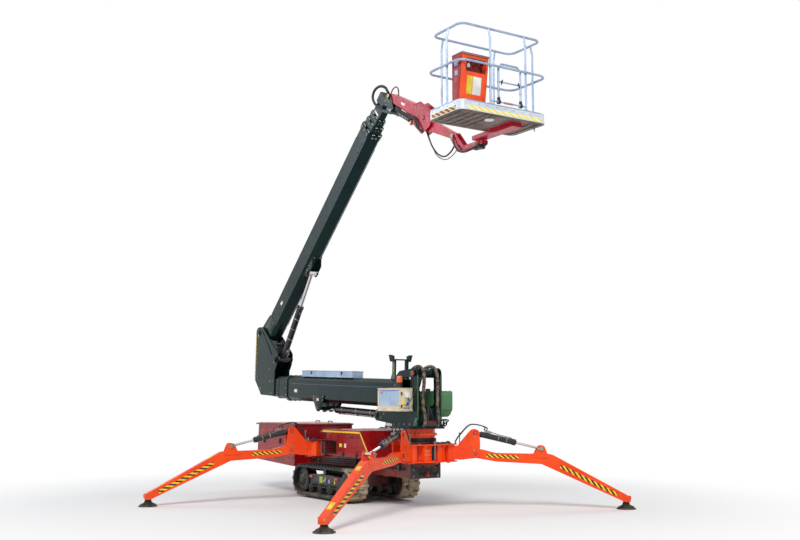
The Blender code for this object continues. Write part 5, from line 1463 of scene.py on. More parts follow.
@dataclass
class Legs:
    """The four outriggers: tape, signs, pin heads, hoses, ram fittings and feet."""

    layout: Layout
    leg_half: float = 0.055
    tip: float = 2.158
    pad_radius: float = 0.135

    def build(self) -> None:
        """Dress the four outriggers."""
        for rig in OUTRIGGERS:
            self._tape(rig)
            self._signs(rig)
            self._pins(rig)
            self._ram(rig)
            self._hoses(rig)
            self._foot(rig)

    @staticmethod
    def _line(start: Point, end: Point, share: float) -> Vector:
        """Return the place at a share of the way between two points."""
        return Vector(start).lerp(Vector(end), share)

    def _tape(self, rig: Outrigger) -> None:
        """Lay the hazard tape along both flanks of the outer and the inner arm.

        Args:
            rig: the outrigger.
        """
        frame = self.layout.leg(rig)
        body = "leg_" + rig.name
        runs = (("outer", (1.22, -0.185), (2.02, -0.585), 0.052, 9.0),
                ("inner", (0.16, -0.034), (0.62, -0.060), 0.046, 6.0))
        for label, start, end, height, count in runs:
            for side in (NEAR, FAR):
                y = side * (self.leg_half + 0.0003)
                low, high = Vector((start[0], y, start[1])), Vector((end[0], y, end[1]))
                along = (high - low).normalized()
                up = Vector((-along.z, 0, along.x)) * height / 2
                corners = [low - up, high - up, high + up, low + up]
                if side > 0:
                    corners = [corners[1], corners[0], corners[3], corners[2]]
                Draft(frame).strip(corners, 0.0006, count).keep(
                    f"tape_{label}_{'near' if side < 0 else 'far'}_{rig.name}", body, Finishes.TAPE)

    def _signs(self, rig: Outrigger) -> None:
        """Put the two blank signs on top of the leg, near the foot and over the knee.

        Args:
            rig: the outrigger.
        """
        frame = self.layout.leg(rig)
        body = "leg_" + rig.name
        top_start, top_end = Vector((1.10, 0, -0.015)), Vector((self.tip + 0.055, 0, -0.616))
        along = (top_end - top_start).normalized()
        out = Vector((-along.z, 0, along.x))
        for label, place, length, finish in (("low", 0.80, 0.15, Finishes.YELLOW_SIGN),
                                             ("high", 0.14, 0.10, Finishes.YELLOW_SIGN)):
            middle = top_start.lerp(top_end, place) + out * 0.0006
            wide = Vector((0, 0.032, 0))
            half = along * length / 2
            corners = [middle - half - wide, middle + half - wide, middle + half + wide, middle - half + wide]
            Draft(frame).strip(corners, 0.0006, 1.0).keep(f"leg_sign_{label}_{rig.name}", body, finish)

    def _pins(self, rig: Outrigger) -> None:
        """Put heads on the pins of the leg, the ram and the knee, and a cap on the swing pin.

        Args:
            rig: the outrigger.
        """
        bracket = self.layout.bracket(rig)
        name = rig.name
        half = 0.057 + 0.016 + 0.012
        for side, label in ((NEAR, "near"), (FAR, "far")):
            PinCap(0.026).add(f"leg_pin_{label}_{name}", "bracket_" + name, bracket,
                              (self.layout.reach, side * (half - 0.011), self.layout.leg_pin_z), (0, side, 0),
                              (-0.4, 0, 1))
            PinCap(0.026).add(f"ram_pin_{label}_{name}", "bracket_" + name, bracket,
                              (self.layout.reach, side * (half - 0.011), self.layout.ram_pin_z), (0, side, 0),
                              (0, 0, -1))
            PinCap(0.030, Finishes.ZINC).add(f"knee_pin_{label}_{name}", "leg_" + name, self.layout.leg(rig),
                                             (self.layout.knee[0], side * (self.leg_half + 0.0225),
                                              self.layout.knee[1]), (0, side, 0), (-1, 0, 0))
        cap = Draft(bracket)
        cap.lathe(((0.052, 0), (0.052, 0.008), (0.044, 0.012), (0.030, 0.013), (0.026, 0.032), (0.020, 0.036),
                   (0.006, 0.037)), (0, 0, 0.9252), (0, 0, 1), 28)
        cap.keep(f"swing_cap_{name}", "chassis", Finishes.DARK_STEEL)
        spots = [((0.041 * math.cos(a), 0.041 * math.sin(a), 0.9332), (0, 0, 1))
                 for a in (math.pi * k / 3 for k in range(6))]
        Bolts.on(f"swing_cap_bolts_{name}", "chassis", bracket, spots, 0.0055, 0.005)
        lever = Draft(bracket)
        lever.rod((0.17, 0.0705, 0.93), (0.17, 0.0705, 1.06), 0.007, steps=12, soft=0.002)
        lever.lathe(((0.012, 0), (0.014, 0.008), (0.012, 0.022), (0.006, 0.026)), (0.17, 0.0705, 1.055),
                    (0, 0, 1), 14)
        lever.rod((0.17, 0.0705, 0.96), (0.17, 0.100, 0.96), 0.006, steps=10)
        lever.keep(f"swing_lock_{name}", "bracket_" + name, Finishes.STEEL)
        eye = Draft(bracket)
        eye.plate(((0.195, 0.905), (0.245, 0.915), (0.250, 0.955), (0.222, 0.972), (0.195, 0.950)), 0.012,
                  0.0, soft=0.002)
        eye.keep(f"lashing_eye_{name}", "bracket_" + name, Finishes.ORANGE, "outrigger_paint")

    def _ram(self, rig: Outrigger) -> None:
        """Add the ram's gland nut, its ports, its pipe and its check valve.

        Args:
            rig: the outrigger.
        """
        frame = self.layout.leg_ram(rig)
        name = rig.name
        body = "barrel_" + name
        ring = Draft(frame)
        ring.lathe(((0.0425, 0), (0.0475, 0.003), (0.0475, 0.030), (0.0435, 0.034), (0.0425, 0.036)),
                   (0.548, 0, 0), (1, 0, 0), 28)
        ring.lathe(((0.0425, 0), (0.0465, 0.002), (0.0465, 0.014), (0.0425, 0.016)), (0.085, 0, 0), (1, 0, 0),
                   28)
        ring.keep(f"ram_collars_{name}", body, Finishes.BARREL)
        valve = Draft(frame)
        valve.box((0.085, 0.038, 0.040), (0.170, 0, 0.058), soft=0.004)
        valve.rod((0.212, 0, 0.060), (0.240, 0, 0.060), 0.013, steps=16, soft=0.003)
        valve.rod((0.150, -0.019, 0.060), (0.150, -0.038, 0.060), 0.009, steps=6)
        valve.box((0.034, 0.026, 0.018), (0.520, 0, 0.048), soft=0.003)
        valve.keep(f"ram_valve_{name}", body, Finishes.STEEL)
        points = [(0.240, 0, 0.060), (0.275, 0, 0.060), (0.31, 0.008, 0.055), (0.36, 0.008, 0.0515),
                  (0.45, 0.008, 0.0515), (0.495, 0.004, 0.053), (0.510, 0, 0.054)]
        Pipes.run(f"ram_pipe_{name}", body, [frame @ p for p in smooth_path(points, 4)], 0.005,
                  Finishes.DARK_STEEL, sides=8)
        strap = Draft(frame)
        for x in (0.34, 0.46):
            strap.lathe(((0.0424, 0), (0.0436, 0.001), (0.0436, 0.011), (0.0424, 0.012)), (x, 0, 0),
                        (1, 0, 0), 24)
            strap.box((0.014, 0.024, 0.016), (x + 0.006, 0.008, 0.050), soft=0.002)
        strap.keep(f"ram_straps_{name}", body, Finishes.ZINC)
        wiper = Draft(self.layout.leg_ram(rig))
        wiper.lathe(((0.026, 0), (0.030, 0.002), (0.030, 0.008), (0.024, 0.012), (0.0205, 0.013)),
                    (0.5995, 0, 0), (1, 0, 0), 24)
        wiper.keep(f"ram_wiper_{name}", body, Finishes.RUBBER)

    def _hoses(self, rig: Outrigger) -> None:
        """Lay the two hoses from the beam over the bracket to the ram's valve.

        Args:
            rig: the outrigger.
        """
        bracket = self.layout.bracket(rig)
        ram_to_bracket = bracket.inverted() @ self.layout.leg_ram(rig)
        name = rig.name
        for index, y in enumerate((-0.030, 0.030)):
            fitting = ram_to_bracket @ Vector((0.150 - 0.03 * index, 0.6 * y, 0.066))
            start = Vector((0.105, y, 0.9225))
            points = [start, start + Vector((0.01, 0, 0.05)), (0.17, y * 1.5, 1.05), (0.30, y * 1.6, 1.185),
                      (0.42, y * 1.2, 1.195), fitting + Vector((0.010, 0, 0.045)), fitting]
            over = Bridge("bracket_" + name, "barrel_" + name, tuple(bracket @ Vector((0.20, 0, 1.00))),
                          tuple(bracket @ (fitting + Vector((0.010, 0, 0.030)))))
            path = [bracket @ p for p in smooth_path(points, 8)]
            hose = Pipes.run(f"leg_hose_{index}_{name}", over, path, 0.0085, Finishes.HOSE, rings=0, sides=10)
            ends = Draft(bracket)
            ends.rod(start - Vector((0, 0, 0.012)), start + Vector((0, 0, 0.030)), 0.0125, steps=6)
            ends.rod(start + Vector((0, 0, 0.028)), start + Vector((0.002, 0, 0.048)), 0.0108, steps=14)
            ends.keep(f"hose_ends_{index}_{name}", "bracket_" + name, Finishes.ZINC)

    def _foot(self, rig: Outrigger) -> None:
        """Add the foot's ball cover, its ribs, its rubber face, and the leg's end cap with its bolts.

        Args:
            rig: the outrigger.
        """
        frame = self.layout.leg(rig)
        body = "leg_" + rig.name
        ground = -self.layout.leg_pin_z
        ribs = Draft(frame)
        for index in range(8):
            angle = 2 * math.pi * index / 8
            turn = Matrix.Rotation(angle, 3, "Z")
            ribs.box((0.085, 0.007, 0.024), Vector((self.tip, 0, ground + 0.040)) + turn @ Vector((0.074, 0,
                                                                                                   0)),
                     turn @ Matrix.Rotation(0.42, 3, "Y"), 0.002)
        ribs.keep(f"foot_ribs_{rig.name}", body, Finishes.BLACK, "pad_rubber")
        rim = Draft(frame)
        r = self.pad_radius
        rim.lathe(((r - 0.012, 0.0150), (r + 0.001, 0.0135), (r + 0.003, 0.009), (r + 0.003, 0.004),
                   (r, 0.0005), (r - 0.014, 0.0002)), (self.tip, 0, ground), (0, 0, 1), 44)
        rim.keep(f"foot_rubber_{rig.name}", body, Finishes.RUBBER, "pad_rubber")
        boot = Draft(frame)
        top = 0.120 + ground
        boot.lathe(((0.050, 0.0), (0.053, 0.008), (0.042, 0.014), (0.050, 0.022), (0.038, 0.030),
                    (0.044, 0.038), (0.030, 0.044)), (self.tip, 0, top - 0.046), (0, 0, 1), 28)
        boot.keep(f"foot_boot_{rig.name}", body, Finishes.RUBBER, "pad_rubber")
        cap = Draft(frame)
        cap.box((0.012, 0.112, 0.062), (self.tip + 0.0565, 0, -0.634), soft=0.004)
        cap.keep(f"leg_end_{rig.name}", body, Finishes.ORANGE, "outrigger_paint")
        spots = [((self.tip + 0.0625, y, -0.634), (1, 0, 0)) for y in (-0.036, 0.036)]
        Bolts.on(f"leg_end_bolts_{rig.name}", body, frame, spots, 0.008, 0.006)


@dataclass
class Undercarriage:
    """The frame between the tracks: its front end, its connectors, its pipes and its tow eyes."""

    layout: Layout
    front_x: float = 0.160
    half: float = 0.250
    low: float = 0.440
    high: float = 0.690

    def build(self) -> None:
        """Dress the frame."""
        self._front()
        self._sides()

    def _front(self) -> None:
        """Add the end plate with its connectors, hoses, bolts and tow eye."""
        frame = self.layout.machine()
        x = self.front_x
        plate = Draft(frame)
        plate.box((0.012, 2 * self.half + 0.020, self.high - self.low + 0.010),
                  (x + 0.006, 0, (self.high + self.low) / 2), soft=0.003)
        plate.box((0.030, 0.30, 0.050), (x + 0.026, 0.02, 0.615), soft=0.004)
        plate.keep("frame_end_plate", "chassis", Finishes.BLACK)
        row = Draft(frame)
        for index in range(6):
            y = -0.105 + 0.050 * index
            row.rod((x + 0.040, y, 0.615), (x + 0.060, y, 0.615), 0.016, steps=6, soft=0.002)
            row.lathe(((0.012, 0), (0.014, 0.006), (0.012, 0.014), (0.013, 0.022), (0.006, 0.024)),
                      (x + 0.060, y, 0.615), (1, 0, 0), 16)
        row.keep("frame_couplings", "chassis", Finishes.DARK_STEEL)
        for index, y in enumerate((-0.105, -0.055, 0.045, 0.145)):
            run = [(x + 0.078, y, 0.615), (x + 0.100, y, 0.606), (x + 0.106, y + 0.006, 0.570),
                   (x + 0.084, y + 0.012, 0.530), (x + 0.030, y + 0.016, 0.500),
                   (x - 0.040, y + 0.016, 0.436)]
            Pipes.run(f"frame_hose_{index}", "chassis", self.layout.spots(smooth_path(run, 5)), 0.0095)
        spots = [((x + 0.012, y, z), (1, 0, 0)) for y in (-0.21, 0.21) for z in (0.47, 0.56, 0.65)]
        Bolts.on("frame_end_bolts", "chassis", frame, spots, 0.010, 0.008)
        hook = Draft(frame)
        hook.plate(((x + 0.010, 0.465), (x + 0.075, 0.470), (x + 0.085, 0.500), (x + 0.070, 0.528),
                    (x + 0.010, 0.535)),
                   0.016, 0.0, soft=0.003)
        hook.keep("frame_tow_eye", "chassis", Finishes.ORANGE, "outrigger_paint")
        hole = Draft(frame).lathe(((0.012, 0), (0.017, 0.001), (0.017, 0.003), (0.012, 0.004)),
                                  (x + 0.055, -0.012, 0.500), (0, 1, 0), 18)
        hole.keep("frame_tow_bush", "chassis", Finishes.STEEL)

    def _sides(self) -> None:
        """Add the pipes with their clamps and bolts, and the weld plates along the frame's sides."""
        frame = self.layout.machine()
        for side, name in ((NEAR, "near"), (FAR, "far")):
            for index in range(3):
                z = 0.56 + 0.030 * index
                y = side * (self.half + 0.016)
                run = [(-2.86, y, z), (-2.2, y, z), (-1.6, y, z + 0.004), (-0.9, y, z), (-0.20, y, z),
                       (0.02, y, z - 0.006)]
                Pipes.run(f"frame_pipe_{index}_{name}", "chassis", self.layout.spots(smooth_path(run, 6)),
                          0.008, Finishes.DARK_STEEL, sides=10)
            clamp = Draft(frame)
            for x in (-2.55, -1.35, -0.55, -0.12):
                clamp.box((0.034, 0.036, 0.104), (x, side * (self.half + 0.017), 0.590), soft=0.004)
            clamp.keep(f"frame_clamps_{name}", "chassis", Finishes.BLACK)
            spots = [((x, side * (self.half + 0.035), 0.590), (0, side, 0))
                     for x in (-2.55, -1.35, -0.55, -0.12)]
            Bolts.on(f"frame_clamp_bolts_{name}", "chassis", frame, spots, 0.006, 0.005)
            gusset = Draft(frame)
            for x in (-2.75, -0.95, -0.30):
                gusset.plate(((x - 0.07, 0.445), (x + 0.07, 0.445), (x + 0.03, 0.530), (x - 0.03, 0.530)),
                             0.008, side * (self.half + 0.0035), soft=0.002)
            gusset.keep(f"frame_gussets_{name}", "chassis", Finishes.RED, "chassis_paint")


@dataclass
class FrontBeam:
    """The front cross beam: a dark sheet of painted shade for its pocket, its ribs, locking pin and the hoses
    on it.
    """

    layout: Layout
    face_x: float = 0.364
    low: float = 0.670
    high: float = 0.925
    half: float = 0.180

    def build(self) -> None:
        """Dress the front beam."""
        frame = self.layout.machine()
        x = self.face_x
        ribs = Draft(frame)
        for y in (-0.168, -0.060, 0.060, 0.168):
            ribs.plate(((x - 0.004, 0.683), (x + 0.050, 0.683), (x + 0.034, 0.720), (x + 0.034, 0.876),
                        (x + 0.050, 0.912), (x - 0.004, 0.912)), 0.010, y, soft=0.002)
        ribs.plate(((-0.150, 0.765), (-0.075, 0.765), (-0.075, 0.845), (-0.150, 0.845)), 0.010, x + 0.005,
                   "YZ", 0.003)
        ribs.keep("front_beam_ribs", "chassis", Finishes.ORANGE, "outrigger_paint")
        # A flat near-black sheet on the beam's face: painted shade standing in for the pocket's recess.
        pocket = Draft(frame)
        pocket.plate(((-0.048, 0.700), (0.048, 0.700), (0.048, 0.895), (-0.048, 0.895)), 0.004, x + 0.002,
                     "YZ", 0.001)
        pocket.keep("front_beam_pocket_shade", "chassis", Finishes.GRILLE)
        lock = Draft(frame)
        lock.rod((x + 0.040, 0.0, 0.70), (x + 0.040, 0.0, 0.955), 0.010, steps=16, soft=0.002)
        lock.lathe(((0.012, 0), (0.022, 0.004), (0.022, 0.012), (0.012, 0.018), (0.005, 0.020)),
                   (x + 0.040, 0.0, 0.952), (0, 0, 1), 20)
        lock.keep("front_beam_lock", "chassis", Finishes.STEEL)
        chain = [(x + 0.058, 0.0, 0.958), (x + 0.072, 0.020, 0.930), (x + 0.074, 0.045, 0.880),
                 (x + 0.070, 0.068, 0.845), (x + 0.060, 0.090, 0.850), (x + 0.040, 0.112, 0.880)]
        for index, (long, across) in enumerate((((0.012, 0.0035, 0.006), (0, 1, 0)),
                                                ((0.012, 0.006, 0.0035), (0, 1, 0)))):
            line = smooth_path(chain, 8)
            Blocks.along(f"front_beam_chain_{index}", "chassis", Finishes.ZINC,
                         self.layout.spots(line[index:]), 15, long, taper=0.9, across=across)
        spots = [((x + 0.010, y, z), (1, 0, 0)) for y in (-0.140, -0.085) for z in (0.775, 0.835)]
        spots += [((a, b, self.high), (0, 0, 1)) for b in (-0.235, 0.235) for a in (0.15, 0.22, 0.37)]
        Bolts.on("front_beam_bolts", "chassis", frame, spots, 0.010, 0.008)
        for index in range(4):
            side = 1 if index % 2 else -1
            rise = self.high + 0.0115 + 0.002 * (index // 2)
            reach = 0.300 + 0.022 * (index // 2)
            run = [(0.262 + 0.02 * index, side * 0.030, rise), (reach, side * 0.110, rise),
                   (reach - 0.012, side * 0.200, rise),
                   (0.205 + 0.012 * index, side * 0.290, rise), (0.175, side * 0.345, rise),
                   (0.168, side * 0.395, rise - 0.002)]
            Pipes.run(f"beam_hose_{index}", "chassis", self.layout.spots(smooth_path(run, 6)), 0.0105)
        joint = Draft(frame)
        for side in (NEAR, FAR):
            joint.rod((0.168, side * 0.385, self.high + 0.012), (0.167, side * 0.425, self.high + 0.010),
                      0.014, steps=6)
            joint.box((0.050, 0.030, 0.030), (0.240, side * 0.250, self.high + 0.012), soft=0.004)
        joint.keep("beam_hose_ends", "chassis", Finishes.DARK_STEEL)


@dataclass
class Covers:
    """The hood over the engine and the rear cover: lines, grilles, latches, lamps and handles."""

    layout: Layout
    hood_half: float = 0.630
    rear_half: float = 0.550

    def build(self) -> None:
        """Dress both covers."""
        self._hood_lines()
        self._hood_grille()
        self._hood_parts()
        self._engine()
        self._rear_sides()
        self._rear_end()

    def _hood_lines(self) -> None:
        """Lay the yellow line along the hood's upper edge and down its slopes."""
        frame = self.layout.machine()
        for side, name in ((NEAR, "near"), (FAR, "far")):
            y = side * (self.hood_half + 0.0003)
            draft = Draft(frame)
            rows = (((-1.775, 1.082), (-0.630, 1.082)), ((-0.622, 1.080), (-0.330, 0.722)))
            for start, end in rows:
                low, high = Vector((start[0], y, start[1])), Vector((end[0], y, end[1]))
                along = (high - low).normalized()
                down = Vector((along.z, 0, -along.x)) * 0.026
                corners = [low + down, high + down, high, low]
                if side > 0:
                    corners = [corners[1], corners[0], corners[3], corners[2]]
                draft.strip(corners, 0.0008, 1.0)
            draft.keep(f"hood_line_{name}", "chassis", Finishes.YELLOW)

    def _hood_grille(self) -> None:
        """Fill the hood's side window with a rim and level slats, and vent its front slope."""
        frame = self.layout.machine()
        for side, name in ((NEAR, "near"), (FAR, "far")):
            rim = Draft(frame)
            y = side * (self.hood_half - 0.004)
            for z in (0.736, 0.934):
                rim.box((0.462, 0.022, 0.014), (-1.555, y, z), soft=0.003)
            for x in (-1.779, -1.331):
                rim.box((0.014, 0.022, 0.208), (x, y, 0.835), soft=0.003)
            rim.box((0.010, 0.014, 0.196), (-1.555, y, 0.835), soft=0.002)
            rim.keep(f"hood_window_rim_{name}", "chassis", Finishes.GRILLE)
            place = frame @ Matrix.Translation((-1.555, side * (self.hood_half - 0.012),
                                                0.835)) @ Matrix.Rotation(
                math.radians(90), 4, "X")
            Grid.on(f"hood_slats_{name}", "chassis", Finishes.GRILLE, place, (0.0, 0.150), (1, 6),
                    (0.460, 0.011, 0.006), turn=0.0)
            sign = Draft(frame)
            sign.label((-1.20, side * (self.hood_half + 0.0004), 0.870), (side * -1, 0, 0), (0, 0, 1), 0.085,
                       0.050)
            sign.keep(f"hood_sign_{name}", "chassis", Finishes.YELLOW_SIGN)
            small = Draft(frame)
            small.label((-1.06, side * (self.hood_half + 0.0004), 0.868), (side * -1, 0, 0), (0, 0, 1), 0.060,
                        0.060)
            small.keep(f"hood_sign_small_{name}", "chassis", Finishes.WHITE_SIGN)
        slope = Vector((0.32, 0, -0.395)).normalized()
        out = Vector((0.395, 0, 0.32)).normalized()
        middle = Vector((-0.46, 0, 0.9025)) + out * 0.0015
        turn = Matrix((slope, Vector((0, -1, 0)), slope.cross(Vector((0, -1, 0))))).transposed().to_4x4()
        Grid.on("hood_front_vents", "chassis", Finishes.GRILLE, frame @ Matrix.Translation(middle) @ turn,
                (0.22, 0.62), (7, 3), (0.150, 0.012, 0.005), turn=math.pi / 2)

    def _hood_parts(self) -> None:
        """Add the hood's handles, hinges, latches, seams, bolts, top ribs and filler."""
        frame = self.layout.machine()
        for side, name in ((NEAR, "near"), (FAR, "far")):
            y = side * self.hood_half
            grip = [(-0.98, y, 1.000), (-0.98, y + side * 0.030, 1.000), (-0.96, y + side * 0.040, 1.000),
                    (-0.86, y + side * 0.040, 1.000), (-0.84, y + side * 0.030, 1.000), (-0.84, y, 1.000)]
            Pipes.run(f"hood_grip_{name}", "chassis", self.layout.spots(smooth_path(grip, 4)), 0.007,
                      Finishes.BLACK)
            parts = Draft(frame)
            for x in (-0.98, -0.84):
                parts.lathe(((0.016, 0), (0.016, 0.003), (0.011, 0.006)), (x, y, 1.000), (0, side, 0), 18)
            for x in (-1.62, -1.12, -0.72):
                parts.box((0.046, 0.016, 0.050), (x, y + side * 0.006, 0.735), soft=0.004)
                parts.box((0.018, 0.012, 0.060), (x, y + side * 0.017, 0.742), soft=0.004)
            parts.keep(f"hood_latches_{name}", "chassis", Finishes.BLACK)
            seam = Draft(frame)
            seam.label((-1.205, side * (self.hood_half + 0.0003), 0.900), (side * -1, 0, 0), (0, 0, 1),
                       0.0035, 0.30)
            seam.label((-0.700, side * (self.hood_half + 0.0003), 0.880), (side * -1, 0, 0), (0, 0, 1),
                       0.0035, 0.24)
            seam.keep(f"hood_seams_{name}", "chassis", Finishes.GRILLE)
            spots = [((x, y, z), (0, side, 0)) for x in (-1.245, -1.165, -0.735, -0.665)
                     for z in (0.79, 0.99)]
            spots += [((x, y, 1.045), (0, side, 0)) for x in (-1.70, -1.45, -1.20)]
            Bolts.on(f"hood_bolts_{name}", "chassis", frame, spots, 0.007, 0.005, Finishes.DARK_STEEL)
        top = Draft(frame)
        for y in (-0.40, 0.40):
            top.box((0.090, 0.060, 0.008), (-1.640, y, 1.103), soft=0.002)
            top.rod((-1.685, y - 0.035, 1.110), (-1.685, y + 0.035, 1.110), 0.009, steps=14)
        for y in (-0.30, 0.0, 0.30):
            top.box((0.86, 0.020, 0.006), (-1.190, y, 1.102), soft=0.002)
        top.keep("hood_top_ribs", "chassis", Finishes.RED, "chassis_paint")
        lid = Draft(frame).lathe(((0.048, 0), (0.048, 0.012), (0.042, 0.020), (0.038, 0.034), (0.030, 0.038),
                                  (0.010, 0.039)), (-0.86, 0.45, 1.100), (0, 0, 1), 30)
        lid.keep("hood_filler", "chassis", Finishes.BLACK)

    def _engine(self) -> None:
        """Add what shows of the engine through the window and behind the hood."""
        frame = self.layout.machine()
        for side, name in ((NEAR, "near"), (FAR, "far")):
            y = side * 0.23
            fins = Draft(frame)
            for index in range(9):
                fins.box((0.012, 0.060, 0.150), (-1.66 + 0.030 * index, y + side * 0.030, 0.850), soft=0.002)
            fins.box((0.20, 0.070, 0.10), (-1.05, y + side * 0.036, 0.900), soft=0.010)
            fins.keep(f"engine_fins_{name}", "chassis", Finishes.ENGINE)
            parts = Draft(frame)
            parts.lathe(((0.050, 0), (0.052, 0.010), (0.052, 0.085), (0.046, 0.096), (0.020, 0.100)),
                        (-1.36, y, 0.830), (0, side, 0), 28)
            parts.lathe(((0.075, 0), (0.075, 0.006), (0.060, 0.010), (0.060, 0.018), (0.075, 0.022),
                         (0.075, 0.028), (0.020, 0.030)), (-1.50, y + side * 0.065, 0.870), (0, side, 0), 32)
            parts.keep(f"engine_filter_{name}", "chassis", Finishes.STEEL)
            for index in range(2):
                run = [(-1.70, y + side * 0.05, 0.93 - 0.05 * index),
                       (-1.60, y + side * 0.12, 0.95 - 0.05 * index),
                       (-1.45, y + side * 0.14, 0.93 - 0.05 * index),
                       (-1.33, y + side * 0.12, 0.89 - 0.03 * index),
                       (-1.20, y + side * 0.06, 0.90)]
                Pipes.run(f"engine_hose_{index}_{name}", "chassis", self.layout.spots(smooth_path(run, 5)),
                          0.013)

    def _rear_sides(self) -> None:
        """Add the rear cover's seams, latches, hinges, bolts and signs."""
        frame = self.layout.machine()
        for side, name in ((NEAR, "near"), (FAR, "far")):
            y = side * self.rear_half
            seams = Draft(frame)
            for x in (-3.98, -3.36):
                seams.label((x, side * (self.rear_half + 0.0003), 0.810), (side * -1, 0, 0), (0, 0, 1), 0.004,
                            0.56)
            seams.label((-3.64, side * (self.rear_half + 0.0003), 1.085), (side * -1, 0, 0), (0, 0, 1), 1.28,
                        0.004)
            seams.keep(f"rear_seams_{name}", "chassis", Finishes.GRILLE)
            catch = Draft(frame)
            for x in (-4.06, -3.44):
                catch.box((0.040, 0.014, 0.100), (x, y + side * 0.005, 0.860), soft=0.004)
                catch.rod((x, y + side * 0.010, 0.890), (x, y + side * 0.022, 0.890), 0.014, steps=20,
                          soft=0.002)
                catch.box((0.014, 0.012, 0.062), (x, y + side * 0.018, 0.852), soft=0.003)
            catch.keep(f"rear_latches_{name}", "chassis", Finishes.BLACK)
            hinge = Draft(frame)
            for x in (-3.30, -3.92):
                for z in (0.66, 0.98):
                    hinge.rod((x - 0.016, y + side * 0.006, z - 0.030),
                              (x - 0.016, y + side * 0.006, z + 0.030), 0.007, steps=12)
                    hinge.box((0.044, 0.004, 0.050), (x, y + side * 0.0025, z), soft=0.001)
            hinge.keep(f"rear_hinges_{name}", "chassis", Finishes.RED, "chassis_paint")
            spots = [((x, y, z), (0, side, 0)) for x in (-4.28, -3.70, -3.10, -2.95) for z in (0.60, 1.06)]
            Bolts.on(f"rear_bolts_{name}", "chassis", frame, spots, 0.008, 0.006, Finishes.DARK_STEEL)
            mark = Draft(frame)
            mark.label((-3.16, side * (self.rear_half + 0.0004), 0.930), (side * -1, 0, 0), (0, 0, 1), 0.13,
                       0.090)
            mark.keep(f"rear_sign_{name}", "chassis", Finishes.GREEN_SIGN)
            place = frame @ Matrix.Translation((-3.68, side * (self.rear_half + 0.001),
                                                0.640)) @ Matrix.Rotation(
                math.radians(90), 4, "X")
            Grid.on(f"rear_vents_{name}", "chassis", Finishes.GRILLE, place, (0.30, 0.14), (4, 5),
                    (0.085, 0.010, 0.005), turn=0.0)

    def _rear_end(self) -> None:
        """Add the tow hook's plate, the lamps, the vents, the top ribs and the top handles."""
        frame = self.layout.machine()
        hook = Draft(frame)
        hook.box((0.016, 0.16, 0.11), (-4.372, 0, 0.600), soft=0.004)
        hook.plate(((-4.375, 0.575), (-4.386, 0.575), (-4.386, 0.625), (-4.375, 0.625)), 0.050, 0.0,
                   soft=0.002)
        hook.keep("rear_tow_plate", "chassis", Finishes.STEEL)
        Bolts.on("rear_tow_bolts", "chassis", frame,
                 [((-4.378, y, z), (-1, 0, 0)) for y in (-0.060, 0.060) for z in (0.565, 0.635)], 0.009,
                 0.006)
        for side, name in ((NEAR, "near"), (FAR, "far")):
            lamp = Draft(frame)
            lamp.box((0.020, 0.110, 0.052), (-4.352, side * 0.440, 0.930), soft=0.006)
            lamp.box((0.020, 0.050, 0.052), (-4.352, side * 0.350, 0.930), soft=0.006)
            lamp.keep(f"rear_lamp_{name}", "chassis", Finishes.RED_LAMP)
            seat = Draft(frame).box((0.012, 0.220, 0.070), (-4.348, side * 0.405, 0.930), soft=0.004)
            seat.box((0.010, 0.200, 0.010), (-4.352, side * 0.405, 0.970), soft=0.003)
            seat.keep(f"rear_lamp_seat_{name}", "chassis", Finishes.BLACK)
        slant = Matrix((Vector((0, -1, 0)), Vector((0.0935, 0, 0.9956)),
                        Vector((-0.9956, 0, 0.0935)))).transposed()
        place = frame @ Matrix.Translation((-4.338, 0.0, 0.800)) @ slant.to_4x4()
        Grid.on("rear_end_vents", "chassis", Finishes.GRILLE, place, (0.42, 0.16), (5, 6),
                (0.080, 0.010, 0.006), turn=0.0)
        ribs = Draft(frame)
        for x in (-4.10, -3.64, -3.18):
            ribs.box((0.030, 1.04, 0.005), (x, 0, 1.1535), soft=0.002)
        ribs.keep("rear_top_ribs", "chassis", Finishes.RED, "chassis_paint")
        grips = Draft(frame)
        for x in (-3.87, -3.41):
            grips.rod((x - 0.07, 0.40, 1.152), (x - 0.07, 0.40, 1.180), 0.007, steps=12)
            grips.rod((x + 0.07, 0.40, 1.152), (x + 0.07, 0.40, 1.180), 0.007, steps=12)
            grips.rod((x - 0.077, 0.40, 1.182), (x + 0.077, 0.40, 1.182), 0.008, steps=14, soft=0.002)
        grips.keep("rear_top_grips", "chassis", Finishes.BLACK)


